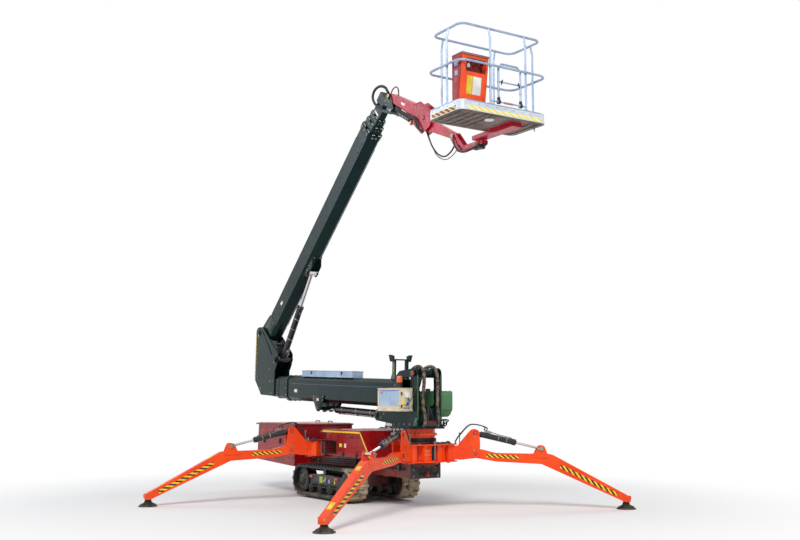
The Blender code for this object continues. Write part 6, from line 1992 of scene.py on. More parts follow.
@dataclass
class Valves:
    """The valve block's levers, caps and hoses."""

    layout: Layout
    x: float = -2.480
    floor: float = 0.690

    def build(self) -> None:
        """Dress the valve block."""
        frame = self.layout.machine()
        levers = Draft(frame)
        knobs = Draft(frame)
        for index in range(5):
            x = self.x + 0.085 * (index - 2)
            lean = Vector((0, -0.35, 1)).normalized()
            base = Vector((x, -0.06, self.floor + 0.265))
            levers.lathe(((0.020, 0), (0.024, 0.006), (0.017, 0.014), (0.021, 0.022), (0.010, 0.030)), base,
                         (0, 0, 1), 18)
            levers.rod(base + lean * 0.02, base + lean * 0.105, 0.005, steps=10)
            knobs.lathe(((0.006, 0), (0.013, 0.008), (0.015, 0.018), (0.011, 0.028), (0.004, 0.032)),
                        base + lean * 0.098, lean, 16)
        levers.keep("valve_levers", "chassis", Finishes.STEEL)
        knobs.keep("valve_knobs", "chassis", Finishes.BLACK)
        cap = Draft(frame).lathe(((0.030, 0), (0.034, 0.004), (0.034, 0.026), (0.026, 0.034), (0.008, 0.036)),
                                 (self.x + 0.05, 0.08, self.floor + 0.338), (0, 0, 1), 24)
        cap.keep("valve_red_cap", "chassis", Finishes.RED_CAP)
        spots = [((self.x + a, -0.151, self.floor + b), (0, -1, 0)) for a in (-0.20, -0.10, 0.0, 0.10, 0.20)
                 for b in (0.030, 0.095)]
        Bolts.on("valve_bolts", "chassis", frame, spots, 0.009, 0.007)
        for index in range(6):
            x = self.x + 0.075 * (index - 2.5)
            z = self.floor + 0.062
            forward = index >= 3
            end = (-1.96, -0.20 + 0.03 * index, 0.86) if forward else (-2.87, -0.30 + 0.04 * index, 0.80)
            swing = 0.05 if forward else -0.05
            run = [(x, -0.150, z), (x, -0.195, z + 0.004), (x + swing, -0.245, z + 0.02 + 0.01 * index),
                   ((x + end[0]) / 2, -0.255 + 0.012 * index, z + 0.06), end]
            Pipes.run(f"valve_hose_{index}", "chassis", self.layout.spots(smooth_path(run, 6)), 0.0095)
        nuts = Draft(frame)
        for index in range(6):
            x = self.x + 0.075 * (index - 2.5)
            nuts.rod((x, -0.148, self.floor + 0.062), (x, -0.178, self.floor + 0.063), 0.014, steps=6,
                     soft=0.001)
        nuts.keep("valve_unions", "chassis", Finishes.ZINC)
        far = Draft(frame)
        for index in range(3):
            far.rod((self.x - 0.14 + 0.14 * index, 0.148, self.floor + 0.07),
                    (self.x - 0.14 + 0.14 * index, 0.190, self.floor + 0.07), 0.020, steps=6, soft=0.002)
            far.lathe(((0.014, 0), (0.018, 0.010), (0.018, 0.040), (0.010, 0.046)),
                      (self.x - 0.14 + 0.14 * index, 0.188, self.floor + 0.07), (0, 1, 0), 18)
        far.keep("valve_solenoids", "chassis", Finishes.DARK_STEEL)


@dataclass
class Turret:
    """The turret: its ring's bolts and teeth, boxes, beacon, pins, tank and manifold."""

    layout: Layout
    ring_radius: float = 0.235
    cheek_inner: float = 0.193
    cheek: float = 0.020
    box_depth: float = 0.220
    control_x: tuple[float, float] = (-0.445, 0.155)
    control_z: tuple[float, float] = (1.390, 1.720)
    tank_x: tuple[float, float] = (-0.360, 0.235)
    tank_z: tuple[float, float] = (1.305, 1.675)
    beacon_x: float = -0.060

    def __post_init__(self) -> None:
        """Work out where the cheeks and the boxes end."""
        self.cheek_y = self.cheek_inner + self.cheek
        self.box_y = self.cheek_y + self.box_depth

    def build(self) -> None:
        """Dress the turret."""
        self._ring()
        self._pins()
        self._control_box()
        self._control_face()
        self._beacon()
        self._tank()
        self._inside()

    def _ring(self) -> None:
        """Add the slewing gear's teeth, the flange with its bolts and the slewing motor."""
        frame = self.layout.machine()
        count = 66
        circle = [(self.ring_radius * math.cos(a), self.ring_radius * math.sin(a), 0.980)
                  for a in (2 * math.pi * k / 132 for k in range(132))]
        Blocks.along("slew_teeth", "chassis", Finishes.DARK_STEEL, self.layout.spots(circle), count,
                     (0.0135, 0.050, 0.016), closed=True, taper=0.75, across=(0.0, 0.0, 1.0))
        flange = Draft(frame).lathe(((0.232, 0), (0.262, 0.001), (0.265, 0.004), (0.265, 0.020),
                                     (0.262, 0.023), (0.232, 0.024)), (0, 0, 1.040), (0, 0, 1), 72)
        flange.keep("slew_flange", "turret", Finishes.ORANGE, "outrigger_paint")
        ring = [((0.249 * math.cos(a), 0.249 * math.sin(a), 1.064), (0, 0, 1))
                for a in (2 * math.pi * k / 26 for k in range(26))]
        Bolts.on("slew_flange_bolts", "turret", frame, ring, 0.0095, 0.009)
        seat = Draft(frame).lathe(((0.260, 0), (0.290, 0.001), (0.292, 0.004), (0.292, 0.008), (0.262, 0.010),
                                   (0.250, 0.010)), (0, 0, 0.938), (0, 0, 1), 64)
        seat.keep("slew_seat", "chassis", Finishes.DARK_STEEL)
        motor = Draft(frame)
        motor.lathe(((0.052, 0), (0.056, 0.004), (0.056, 0.070), (0.050, 0.080), (0.044, 0.082),
                     (0.044, 0.150), (0.038, 0.158), (0.012, 0.160)), (-0.30, 0.10, 1.1705), (0, 0, 1), 32)
        motor.box((0.090, 0.090, 0.020), (-0.30, 0.10, 1.180), soft=0.004)
        motor.keep("slew_motor", "turret", Finishes.BARREL)

    def _pins(self) -> None:
        """Add the heads of the boom's pin and of the lift ram's pin, and the cheeks' front edges."""
        frame = self.layout.machine()
        x, z = self.layout.luff
        foot_x, foot_z = self.layout.lift_foot
        for side, name in ((NEAR, "near"), (FAR, "far")):
            out = (0, side, 0)
            y = side * (self.cheek_y + 0.020)
            head = Draft(frame).lathe(((0.045, -0.018), (0.047, -0.014), (0.047, 0.006), (0.043, 0.010),
                                       (0.030, 0.010), (0.026, 0.006)), (x, y, z), out, 32)
            head.keep(f"boom_pin_head_{name}", "turret", Finishes.BLACK)
            plug = Draft(frame).lathe(((0.024, 0.004), (0.024, 0.011), (0.018, 0.014), (0.006, 0.015)),
                                      (x, y, z), out, 24)
            plug.keep(f"boom_pin_plug_{name}", "turret", Finishes.RED_CAP)
            spots = [((x + 0.037 * math.cos(a), y + side * 0.009, z + 0.037 * math.sin(a)), out)
                     for a in (math.pi * (k + 0.5) / 3 for k in range(6))]
            Bolts.on(f"boom_pin_screws_{name}", "turret", frame, spots, 0.0045, 0.004)
            PinCap(0.034).add(f"lift_foot_pin_{name}", "turret", frame,
                              (foot_x, side * (self.cheek_y + 0.0115), foot_z), out, (0.5, 0, 1))
            edge = Draft(frame)
            edge.box((0.006, self.cheek + 0.002, 0.64), (0.2775, side * (self.cheek_inner + self.cheek / 2),
                                                         1.585), soft=0.002)
            edge.plate(((0.160, 1.180), (0.268, 1.180), (0.268, 1.300), (0.235, 1.300)), 0.006,
                       side * (self.cheek_y + 0.0028), soft=0.001)
            edge.keep(f"cheek_edge_{name}", "turret", Finishes.POST_GREEN)
            spots = [((a, side * self.cheek_y, b), out) for a,
                     b in ((-0.34, 1.200), (-0.20, 1.200), (-0.06, 1.200),
                                                                    (0.08, 1.200), (-0.62, 1.345),
                                                                    (-0.70, 1.285))]
            Bolts.on(f"cheek_bolts_{name}", "turret", frame, spots, 0.011, 0.009)
            boss = Draft(frame).lathe(((0.062, 0), (0.062, 0.004), (0.056, 0.006), (0.040, 0.0065)),
                                      (foot_x, side * self.cheek_y, foot_z), out, 32)
            boss.keep(f"lift_foot_boss_{name}", "turret", Finishes.BOOM, "boom_paint")
        discs = Draft(frame)
        for index, y in enumerate((-0.245, -0.262)):
            discs.lathe(((0.034, 0), (0.036, 0.001), (0.036, 0.004), (0.030, 0.006)),
                        (0.240 - 0.05 * index, y, 1.172), (0, 0, 1), 26)
        discs.keep("turret_discs", "turret", Finishes.BLACK)

    def _control_box(self) -> None:
        """Add the control box's near side: the blank sign, whose grey-blue field is painted shade, the lower
        strip, the rims and the screws.
        """
        frame = self.layout.machine()
        low, high = self.control_z
        start, end = self.control_x
        y = -self.box_y
        middle = (start + end) / 2
        # The sign's grey-blue field paints the shade that the box's near side lies in.
        sign = Draft(frame)
        sign.label((middle + 0.005, y - 0.0004, 1.582), (1, 0, 0), (0, 0, 1), 0.540, 0.225)
        sign.keep("box_sign_shade_panel", "turret", Finishes.SIGN)
        red = Draft(frame)
        red.label((start + 0.115, y - 0.0014, 1.655), (1, 0, 0), (0, 0, 1), 0.075, 0.016)
        red.keep("box_sign_red", "turret", Finishes.RED_CAP)
        yellow = Draft(frame)
        yellow.label((end - 0.070, y - 0.0014, 1.515), (1, 0, 0), (0, 0, 1), 0.034, 0.034)
        yellow.keep("box_sign_yellow", "turret", Finishes.YELLOW_SIGN)
        trim = Draft(frame)
        trim.box((end - start + 0.010, 0.005, 0.007), (middle, y - 0.0015, 1.458), soft=0.002)
        trim.box((end - start + 0.012, self.box_depth + 0.010, 0.010),
                 (middle, y + self.box_depth / 2, low + 0.004), soft=0.003)
        trim.box((end - start + 0.014, self.box_depth + 0.012, 0.012),
                 (middle, y + self.box_depth / 2 - 0.002, high - 0.004), soft=0.004)
        trim.keep("box_rims", "turret", Finishes.CREAM, "box_paint")
        spots = [((a, y, b), (0, -1, 0)) for a in (start + 0.020, end - 0.020) for b in (1.425, 1.470, 1.695)]
        Bolts.on("box_screws", "turret", frame, spots, 0.006, 0.004)
        vents = frame @ Matrix.Translation((middle - 0.12, y + 0.001,
                                            1.422)) @ Matrix.Rotation(math.radians(90), 4, "X")
        Grid.on("box_vents", "turret", Finishes.GRILLE, vents, (0.13, 0.030), (6, 3), (0.020, 0.005, 0.004),
                turn=0.0)
        hinge = Draft(frame)
        for z in (1.46, 1.65):
            hinge.rod((end + 0.004, -self.cheek_y - 0.012, z - 0.030),
                      (end + 0.004, -self.cheek_y - 0.012, z + 0.030), 0.006, steps=12)
        hinge.keep("box_hinges", "turret", Finishes.STEEL)

    def _control_face(self) -> None:
        """Add the control box's door: its latches, the hood with the lever, the plugs and the keys."""
        frame = self.layout.machine()
        x = self.control_x[1]
        y = -self.box_y
        door = Draft(frame)
        door.plate(((y + 0.012, 1.405), (-self.cheek_y - 0.016, 1.405), (-self.cheek_y - 0.016, 1.706),
                    (y + 0.012, 1.706)),
                   0.006, x + 0.003, "YZ", 0.003)
        door.keep("box_door", "turret", Finishes.CREAM, "box_paint")
        latch = Draft(frame)
        for z in (1.460, 1.640):
            latch.box((0.014, 0.022, 0.048), (x + 0.011, y + 0.026, z), soft=0.004)
            latch.box((0.010, 0.012, 0.030), (x + 0.020, y + 0.026, z - 0.004), soft=0.003)
        latch.keep("box_latches", "turret", Finishes.BLACK)
        hood = Draft(frame)
        hood.plate(((x + 0.006, 1.585), (x + 0.058, 1.585), (x + 0.062, 1.600), (x + 0.034, 1.662),
                    (x + 0.006, 1.668)), 0.078,
                   y + 0.105, soft=0.008)
        hood.keep("box_lever_hood", "turret", Finishes.WHITE)
        lever = Draft(frame)
        lever.rod((x + 0.040, y + 0.105, 1.600), (x + 0.074, y + 0.105, 1.556), 0.006, steps=14)
        lever.lathe(((0.006, 0), (0.012, 0.006), (0.013, 0.016), (0.008, 0.024), (0.002, 0.026)),
                    (x + 0.071, y + 0.105, 1.560), (0.6, 0, -0.8), 18)
        lever.keep("box_lever", "turret", Finishes.BLACK)
        for label, place, finish in (("yellow", (y + 0.070, 1.500), Finishes.YELLOW),
                                     ("blue", (y + 0.122, 1.494), Finishes.BLUE)):
            plug = Draft(frame)
            plug.lathe(((0.022, 0), (0.022, 0.010), (0.018, 0.014), (0.018, 0.034), (0.014, 0.040),
                        (0.005, 0.041)),
                       (x + 0.005, place[0], place[1]), (1, 0, 0), 24)
            plug.box((0.008, 0.052, 0.052), (x + 0.008, place[0], place[1]), soft=0.004)
            plug.keep(f"box_plug_{label}", "turret", finish)
        keys = Draft(frame)
        for index in range(4):
            keys.rod((x + 0.006, y + 0.065 + 0.026 * index, 1.435),
                     (x + 0.020, y + 0.065 + 0.026 * index, 1.435), 0.0075, steps=16, soft=0.002)
        keys.keep("box_keys", "turret", Finishes.DARK_STEEL)

    def _beacon(self) -> None:
        """Build the beacon: a black stem, an amber ribbed lens and the small black box beside it."""
        frame = self.layout.machine()
        x = self.beacon_x
        y = -self.cheek_y - 0.087
        low = self.control_z[1]
        stem = Draft(frame)
        stem.lathe(((0.040, 0), (0.040, 0.006), (0.020, 0.012), (0.017, 0.020), (0.017, 0.052),
                    (0.036, 0.060),
                    (0.043, 0.064), (0.043, 0.080), (0.040, 0.084)), (x, y, low), (0, 0, 1), 32)
        stem.box((0.070, 0.050, 0.060), (x - 0.085, y, low + 0.029), soft=0.006)
        stem.box((0.050, 0.034, 0.012), (x - 0.085, y, low + 0.064), soft=0.004)
        stem.keep("beacon_stem", "turret", Finishes.BLACK)
        rings = [(0.039, 0.0)]
        for index in range(7):
            rise = 0.006 + 0.011 * index
            rings += [(0.0415, rise), (0.0400, rise + 0.0055)]
        rings += [(0.038, 0.084), (0.031, 0.092), (0.018, 0.0965), (0.004, 0.0975)]
        lens = Draft(frame).lathe(rings, (x, y, low + 0.0820), (0, 0, 1), 36)
        made = lens.keep("beacon_lens", "turret", Finishes.AMBER)
        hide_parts("beacon")
        core = Draft(frame).lathe(((0.012, 0), (0.014, 0.004), (0.010, 0.040), (0.004, 0.046)),
                                  (x, y, low + 0.084), (0, 0, 1), 16)
        core.keep("beacon_core", "turret", Finishes.CHROME)

    def _tank(self) -> None:
        """Add the tank's cap, its seams and bolts, its breather and the hose coil under it."""
        frame = self.layout.machine()
        start, end = self.tank_x
        low, high = self.tank_z
        middle_y = self.cheek_y + self.box_depth / 2
        cap = Draft(frame)
        cap.lathe(((0.040, 0), (0.040, 0.010), (0.034, 0.014), (0.038, 0.018), (0.038, 0.036), (0.032, 0.042),
                   (0.010, 0.044)),
                  (start + 0.12, middle_y, high), (0, 0, 1), 30)
        cap.lathe(((0.016, 0), (0.016, 0.016), (0.011, 0.020), (0.011, 0.032), (0.004, 0.034)),
                  (start + 0.24, middle_y + 0.03, high), (0, 0, 1), 20)
        cap.keep("tank_cap", "turret", Finishes.BLACK)
        lid = Draft(frame)
        lid.plate(((start + 0.012, self.cheek_y + 0.010), (end - 0.008, self.cheek_y + 0.010),
                   (end - 0.008, self.box_y - 0.010),
                   (start + 0.012, self.box_y - 0.010)), 0.006, high + 0.003, "XY", 0.002)
        lid.plate(((self.cheek_y + 0.020, low + 0.135), (self.box_y - 0.020, low + 0.135),
                   (self.box_y - 0.020, high - 0.020),
                   (self.cheek_y + 0.020, high - 0.020)), 0.003, end + 0.0012, "YZ", 0.001)
        lid.keep("tank_lid", "turret", Finishes.BODY_GREEN, "tank_paint")
        spots = [((a, b, high + 0.006), (0, 0, 1)) for a in np.linspace(start + 0.03, end - 0.03, 6)
                 for b in (self.cheek_y + 0.022, self.box_y - 0.022)]
        spots += [((end + 0.0024, b, c), (1, 0, 0)) for b in (self.cheek_y + 0.032, self.box_y - 0.032)
                  for c in (low + 0.150, high - 0.036)]
        Bolts.on("tank_bolts", "turret", frame, spots, 0.006, 0.005)
        gauge = Draft(frame)
        gauge.box((0.028, 0.010, 0.150), (start + 0.10, self.box_y + 0.003, 1.500), soft=0.004)
        gauge.box((0.012, 0.006, 0.110), (start + 0.10, self.box_y + 0.008, 1.500), soft=0.002)
        gauge.keep("tank_gauge", "turret", Finishes.STEEL)
        side = Draft(frame)
        side.label((start + 0.33, self.box_y + 0.0004, 1.510), (-1, 0, 0), (0, 0, 1), 0.16, 0.11)
        side.keep("tank_sign", "turret", Finishes.WHITE_SIGN)
        run = [(0.06, middle_y - 0.02, low + 0.004), (0.075, middle_y - 0.02, low - 0.050)]
        for step in range(26):
            angle = math.pi * 2 * 2.4 * step / 25
            run.append((0.150 - 0.060 * math.cos(angle), middle_y - 0.045 + 0.0042 * step,
                        1.222 + 0.045 * math.sin(angle)))
        run += [(0.10, middle_y + 0.03, 1.190), (0.02, middle_y - 0.02, 1.180)]
        Pipes.run("tank_hose_coil", "turret", self.layout.spots(smooth_path(run, 3)), 0.0095)

    def _inside(self) -> None:
        """Add the valve and the fittings in front of the cross plate, which the hose loops go into."""
        frame = self.layout.machine()
        block = Draft(frame)
        block.box((0.060, 0.22, 0.060), (0.300, 0.0, 1.205), soft=0.006)
        block.box((0.020, 0.30, 0.012), (0.285, 0.0, 1.178), soft=0.003)
        block.keep("turret_manifold", "turret", Finishes.BARREL)
        unions = Draft(frame)
        for y in (-0.080, -0.040, 0.0, 0.040, 0.080):
            unions.rod((0.300, y, 1.232), (0.300, y, 1.252), 0.013, steps=6, soft=0.001)
        unions.keep("turret_unions", "turret", Finishes.RED_CAP)
        for index, y in enumerate((-0.080, -0.040, 0.040)):
            run = [(0.300, y, 1.250), (0.304, y, 1.285), (0.300, y * 0.7, 1.330), (0.288, y * 0.5, 1.378),
                   (0.262, y * 0.3, 1.432), (0.236, y * 0.2, 1.455), (0.205, y * 0.2, 1.440)]
            Pipes.run(f"turret_hose_{index}", "turret", self.layout.spots(smooth_path(run, 5)), 0.0085)


@dataclass
class Collar:
    """The mouth of a telescopic tube: set screws round its collar, weld beads and pale pads."""

    name: str
    body: str
    frame: Matrix
    mouth: float
    half: float
    rise: float
    drop: float
    lift: float
    chamfer: float = 0.055
    length: float = 0.090

    def build(self) -> None:
        """Dress the mouth."""
        z = -self.drop
        x = self.mouth - self.length / 2
        deep = self.lift > 0.01
        spots = []
        for share in (-0.55, 0.0, 0.55):
            for side in (NEAR, FAR):
                spots.append(((x, side * (self.half + self.lift), z + share * self.rise), (0, side, 0)))
                spots.append(((x, share * self.half, z + side * (self.rise + self.lift)), (0, 0, side)))
        Bolts.on(self.name + "_screws", self.body, self.frame, spots, 0.011 if deep else 0.006,
                 0.009 if deep else 0.003)
        pads = Draft(self.frame)
        inset = 0.0085
        for side in (NEAR, FAR):
            for share in (-0.45, 0.45):
                pads.box((0.006, 0.012, self.rise * 0.42), (self.mouth + 0.003, side * (self.half - inset),
                                                            z + share * self.rise),
                         soft=0.002)
                pads.box((0.006, self.half * 0.46, 0.012), (self.mouth + 0.003, share * self.half,
                                                            z + side * (self.rise - inset)),
                         soft=0.002)
        pads.keep(self.name + "_pads", self.body, Finishes.WHITE)
        rims = Draft(self.frame)
        for place in (0.010, self.length - 0.010):
            for side in (NEAR, FAR):
                rims.box((0.008, 0.004, 2 * (self.rise - self.chamfer)),
                         (self.mouth - place, side * (self.half + self.lift + 0.0005), z), soft=0.0015)
                rims.box((0.008, 2 * (self.half - self.chamfer), 0.004),
                         (self.mouth - place, 0, z + side * (self.rise + self.lift + 0.0005)), soft=0.0015)
        rims.keep(self.name + "_welds", self.body, Finishes.BOOM, "boom_paint")


@dataclass
class LowerBoom:
    """The lower boom: collars, blue line, ram bracket, tray, cradle, pipes and cable guard."""

    layout: Layout
    half: float = 0.175
    drop: float = 0.304
    rise: float = 0.210
    chamfer: float = 0.055
    start: float = 0.420
    mouth: float = 4.200
    steps: tuple[float, float] = (4.600, 4.850)
    tray_x: tuple[float, float] = (1.875, 3.625)
    rest_x: float = 0.690

    def build(self) -> None:
        """Dress the lower boom and its telescoping tubes."""
        frame = self.layout.lower()
        Collar("lower_collar", "lower_boom", frame, self.mouth, self.half, self.rise, self.drop,
               0.012).build()
        Collar("lower_mid_collar", "lower_mid", frame, self.steps[0], self.half - 0.020, self.rise - 0.020,
               self.drop, 0.004).build()
        self._line(frame)
        self._ram_bracket(frame)
        self._pipes(frame)
        self._tray(frame)
        self._cradle(frame)

    def _line(self, frame: Matrix) -> None:
        """Lay the thin blue line and the blank labels along both flanks.

        Args:
            frame: the frame that it is drawn in.
        """
        for side, name in ((FAR, "near"), (NEAR, "far")):
            y = side * (self.half + 0.0003)
            line = Draft(frame)
            line.label(((0.90 + 4.02) / 2, y, -0.222), (-side, 0, 0), (0, 0, 1), 3.12, 0.010)
            line.keep(f"lower_line_{name}", "lower_boom", Finishes.BLUE_LINE)
            spots = [((x, side * self.half, -0.304), (0, side, 0)) for x in (1.05, 1.55, 3.62, 3.95)]
            Bolts.on(f"lower_side_bolts_{name}", "lower_boom", frame, spots, 0.009, 0.006,
                     Finishes.DARK_STEEL)
            plate = Draft(frame)
            plate.label((3.80, y, -0.345), (-side, 0, 0), (0, 0, 1), 0.110, 0.055)
            plate.keep(f"lower_label_{name}", "lower_boom", Finishes.WHITE_SIGN)

    def _ram_bracket(self, frame: Matrix) -> None:
        """Add the bracket's side plates and its long pin round the lift ram's eye.

        Args:
            frame: the frame that it is drawn in.
        """
        x, z = 2.936, -0.619
        plates = Draft(frame)
        for side in (NEAR, FAR):
            plates.plate(((x - 0.205, -0.400), (x + 0.205, -0.400), (x + 0.190, -0.470), (x + 0.075, -0.635),
                          (x + 0.040, -0.667),
                          (x - 0.040, -0.667), (x - 0.075, -0.635), (x - 0.190, -0.470)), 0.012,
                          side * 0.1815, soft=0.003)
            plates.box((0.36, 0.110, 0.008), (x, side * 0.128, -0.5185), soft=0.002)
        plates.keep("lift_bracket_plates", "lower_boom", Finishes.BOOM, "boom_paint")
        pin = Draft(frame)
        for side in (NEAR, FAR):
            pin.rod((x, side * 0.066, z), (x, side * 0.196, z), 0.027, steps=28, soft=0.003)
            pin.lathe(((0.036, 0), (0.036, 0.008), (0.030, 0.012), (0.010, 0.013)), (x, side * 0.186, z),
                      (0, side, 0), 28)
        pin.keep("lift_bracket_pin", "lower_boom", Finishes.DARK_STEEL)
        for side, name in ((FAR, "near"), (NEAR, "far")):
            mark = Draft(frame)
            mark.label((x + 0.02, side * 0.1878, -0.470), (-side, 0, 0), (0, 0, 1), 0.070, 0.045)
            mark.keep(f"lift_bracket_sign_{name}", "lower_boom", Finishes.WHITE_SIGN)
            spots = [((x + a, side * 0.1875, b), (0, side, 0)) for a in (-0.150, 0.150)
                     for b in (-0.425, -0.475)]
            Bolts.on(f"lift_bracket_bolts_{name}", "lower_boom", frame, spots, 0.010, 0.008)

    def _pipes(self, frame: Matrix) -> None:
        """Lay the steel pipes and their clamps along the far flank, and the cable guard above them.

        Args:
            frame: the frame that it is drawn in.
        """
        for index in range(3):
            y, z = -(self.half + 0.010), -0.255 - 0.026 * index
            run = [(1.30, y, z), (2.0, y, z), (3.0, y, z), (3.95, y, z), (4.02, y, z)]
            Pipes.run(f"lower_pipe_{index}", "lower_boom", [frame @ Vector(p) for p in smooth_path(run, 4)],
                      0.0070, Finishes.DARK_STEEL, sides=10)
        clamp = Draft(frame)
        for x in (1.34, 2.00, 2.66, 3.32, 3.98):
            clamp.box((0.030, 0.022, 0.096), (x, -(self.half + 0.010), -0.281), soft=0.004)
        clamp.keep("lower_pipe_clamps", "lower_boom", Finishes.BLACK)
        line = [frame @ Vector((1.35 + 0.052 * k, -(self.half + 0.011), -0.175)) for k in range(52)]
        turn = frame.to_3x3()
        Blocks.along("lower_cable_guard", "lower_boom", Finishes.GRILLE, line, 52, (0.046, 0.058, 0.020),
                     taper=0.9, across=tuple(turn @ Vector((0, 0, -1))))
        ends = Draft(frame)
        for x in (1.315, 4.035):
            ends.box((0.040, 0.026, 0.075), (x, -(self.half + 0.012), -0.175), soft=0.004)
        ends.keep("lower_guard_ends", "lower_boom", Finishes.DARK_STEEL)

    def _tray(self, frame: Matrix) -> None:
        """Add the tool tray's lid, ribs, rivets and catches.

        Args:
            frame: the frame that it is drawn in.
        """
        start, end = self.tray_x
        top = 0.0065
        lid = Draft(frame)
        lid.plate(((start - 0.008, -0.058), (end + 0.008, -0.058), (end + 0.008, 0.158),
                   (start - 0.008, 0.158)), 0.012, top, "XY",
                  0.004)
        for y in (-0.0505, 0.1505):
            lid.box((end - start, 0.004, 0.012), ((start + end) / 2, y, -0.086), soft=0.001)
            lid.box((end - start, 0.003, 0.008), ((start + end) / 2, y, -0.030), soft=0.001)
        lid.keep("tray_lid", "lower_boom", Finishes.ALUMINIUM, "bare_aluminium")
        ribs = Draft(frame)
        for y in (-0.01, 0.05, 0.11):
            ribs.box((end - start - 0.12, 0.018, 0.004), ((start + end) / 2, y, top + 0.0075), soft=0.0015)
        ribs.keep("tray_ribs", "lower_boom", Finishes.ALUMINIUM, "bare_aluminium")
        spots = [((x, side * 0.1015 + 0.05, -0.060), (0, side, 0))
                 for x in np.linspace(start + 0.05, end - 0.05, 12)
                 for side in (NEAR, FAR)]
        Bolts.on("tray_rivets", "lower_boom", frame, spots, 0.0045, 0.003, Finishes.ALUMINIUM)
        catch = Draft(frame)
        for x in (start + 0.35, end - 0.35):
            catch.box((0.034, 0.010, 0.048), (x, 0.1545, -0.022), soft=0.003)
            catch.rod((x - 0.014, 0.160, -0.040), (x + 0.014, 0.160, -0.040), 0.005, steps=12)
        catch.keep("tray_catches", "lower_boom", Finishes.BLACK)

    def _cradle(self, frame: Matrix) -> None:
        """Add the cradle's flared rubber pads and its posts' gussets.

        Args:
            frame: the frame that it is drawn in.
        """
        top = -self.drop + self.rise
        x = self.rest_x
        pads = Draft(frame)
        for side in (NEAR, FAR):
            lean = Matrix.Rotation(-side * math.radians(16), 3, "X")
            pads.box((0.104, 0.016, 0.105), (x, side * 0.164, 0.218), lean, 0.005)
        pads.keep("cradle_pads", "lower_boom", Finishes.RUBBER)
        posts = Draft(frame)
        for side in (NEAR, FAR):
            posts.plate(((x - 0.075, top), (x + 0.075, top), (x + 0.032, top + 0.090), (x + 0.032, 0.182),
                         (x - 0.032, 0.182), (x - 0.032, top + 0.090)), 0.008, side * 0.124, soft=0.002)
            posts.box((0.12, 0.060, 0.008), (x, side * 0.105, top + 0.004), soft=0.002)
        posts.keep("cradle_posts", "lower_boom", Finishes.POST_GREEN, "boom_paint")
        spots = [((x + a, side * 0.128, b), (0, side, 0)) for side in (NEAR, FAR) for a in (-0.018, 0.018)
                 for b in (0.030, 0.150)]
        Bolts.on("cradle_bolts", "lower_boom", frame, spots, 0.007, 0.005)


@dataclass
class BoomRam:
    """A boom ram's looks: its gland, ports, pipe, straps and the screws round its head."""

    name: str
    frame: Matrix
    barrel: str
    radius: float
    length: float
    rod: float
    side: float = 1.0

    def build(self) -> None:
        """Dress the ram's barrel. Its frame's X runs from the barrel's foot to its mouth."""
        r, end = self.radius, self.length
        rings = Draft(self.frame)
        rings.lathe(((r, 0), (r + 0.007, 0.003), (r + 0.007, 0.034), (r + 0.003, 0.040), (r, 0.042)),
                    (end - 0.050, 0, 0), (1, 0, 0), 36)
        rings.lathe(((r, 0), (r + 0.004, 0.002), (r + 0.004, 0.016), (r, 0.018)), (0.085, 0, 0), (1, 0, 0),
                    36)
        rings.keep(self.name + "_collars", self.barrel, Finishes.BARREL)
        wiper = Draft(self.frame)
        bore = self.rod
        wiper.lathe(((bore + 0.012, 0), (bore + 0.014, 0.002), (bore + 0.012, 0.008), (bore + 0.005, 0.012),
                     (bore + 0.0015, 0.013)),
                    (end - 0.0005, 0, 0), (1, 0, 0), 32)
        wiper.keep(self.name + "_wiper", self.barrel, Finishes.RUBBER)
        spots = [((end - 0.002, (r - 0.010) * math.cos(a), (r - 0.010) * math.sin(a)), (1, 0, 0))
                 for a in (math.pi * 2 * j / 6 for j in range(6))]
        if r > 0.045:
            Bolts.on(self.name + "_head_screws", self.barrel, self.frame, spots, 0.0055, 0.005)
        s = self.side
        k = min(1.0, end / 1.1)
        t = min(1.0, r / 0.05)
        block = Draft(self.frame)
        block.box((0.110 * k, 0.044 * t, 0.046 * t), (0.190 * k, 0, s * (r + 0.018 * t)), soft=0.004)
        block.rod((0.244 * k, 0, s * (r + 0.018 * t)), (0.276 * k, 0, s * (r + 0.018 * t)), 0.014 * t,
                  steps=18, soft=0.002)
        block.rod((0.165 * k, 0.020 * t, s * (r + 0.018 * t)), (0.165 * k, 0.044 * t, s * (r + 0.018 * t)),
                  0.011 * t, steps=6)
        block.box((0.044 * k, 0.034 * t, 0.024 * t), (end - 0.110 * k, 0, s * (r + 0.008 * t)), soft=0.003)
        block.keep(self.name + "_ports", self.barrel, Finishes.STEEL)
        low = s * (r + 0.0085 * t)
        run = [(0.274 * k, 0, s * (r + 0.018 * t)), (0.320 * k, 0.004, s * (r + 0.017 * t)),
               (0.400 * k, 0.006, low),
               (end * 0.58, 0.006, low), (end - 0.200 * k, 0.006, low),
               (end - 0.130 * k, 0, s * (r + 0.010 * t))]
        Pipes.run(self.name + "_pipe", self.barrel, [self.frame @ Vector(p) for p in smooth_path(run, 5)],
                  0.0065 * t, Finishes.DARK_STEEL, sides=10)
        straps = Draft(self.frame)
        for place in np.linspace(0.46 * k, end - 0.26 * k, 3):
            straps.lathe(((r + 0.0004, 0), (r + 0.0018, 0.001), (r + 0.0018, 0.015), (r + 0.0004, 0.016)),
                         (place, 0, 0), (1, 0, 0), 32)
            straps.box((0.018, 0.030 * t, 0.019 * t), (place + 0.008, 0.006, s * (r + 0.008 * t)), soft=0.003)
        straps.keep(self.name + "_straps", self.barrel, Finishes.ZINC)


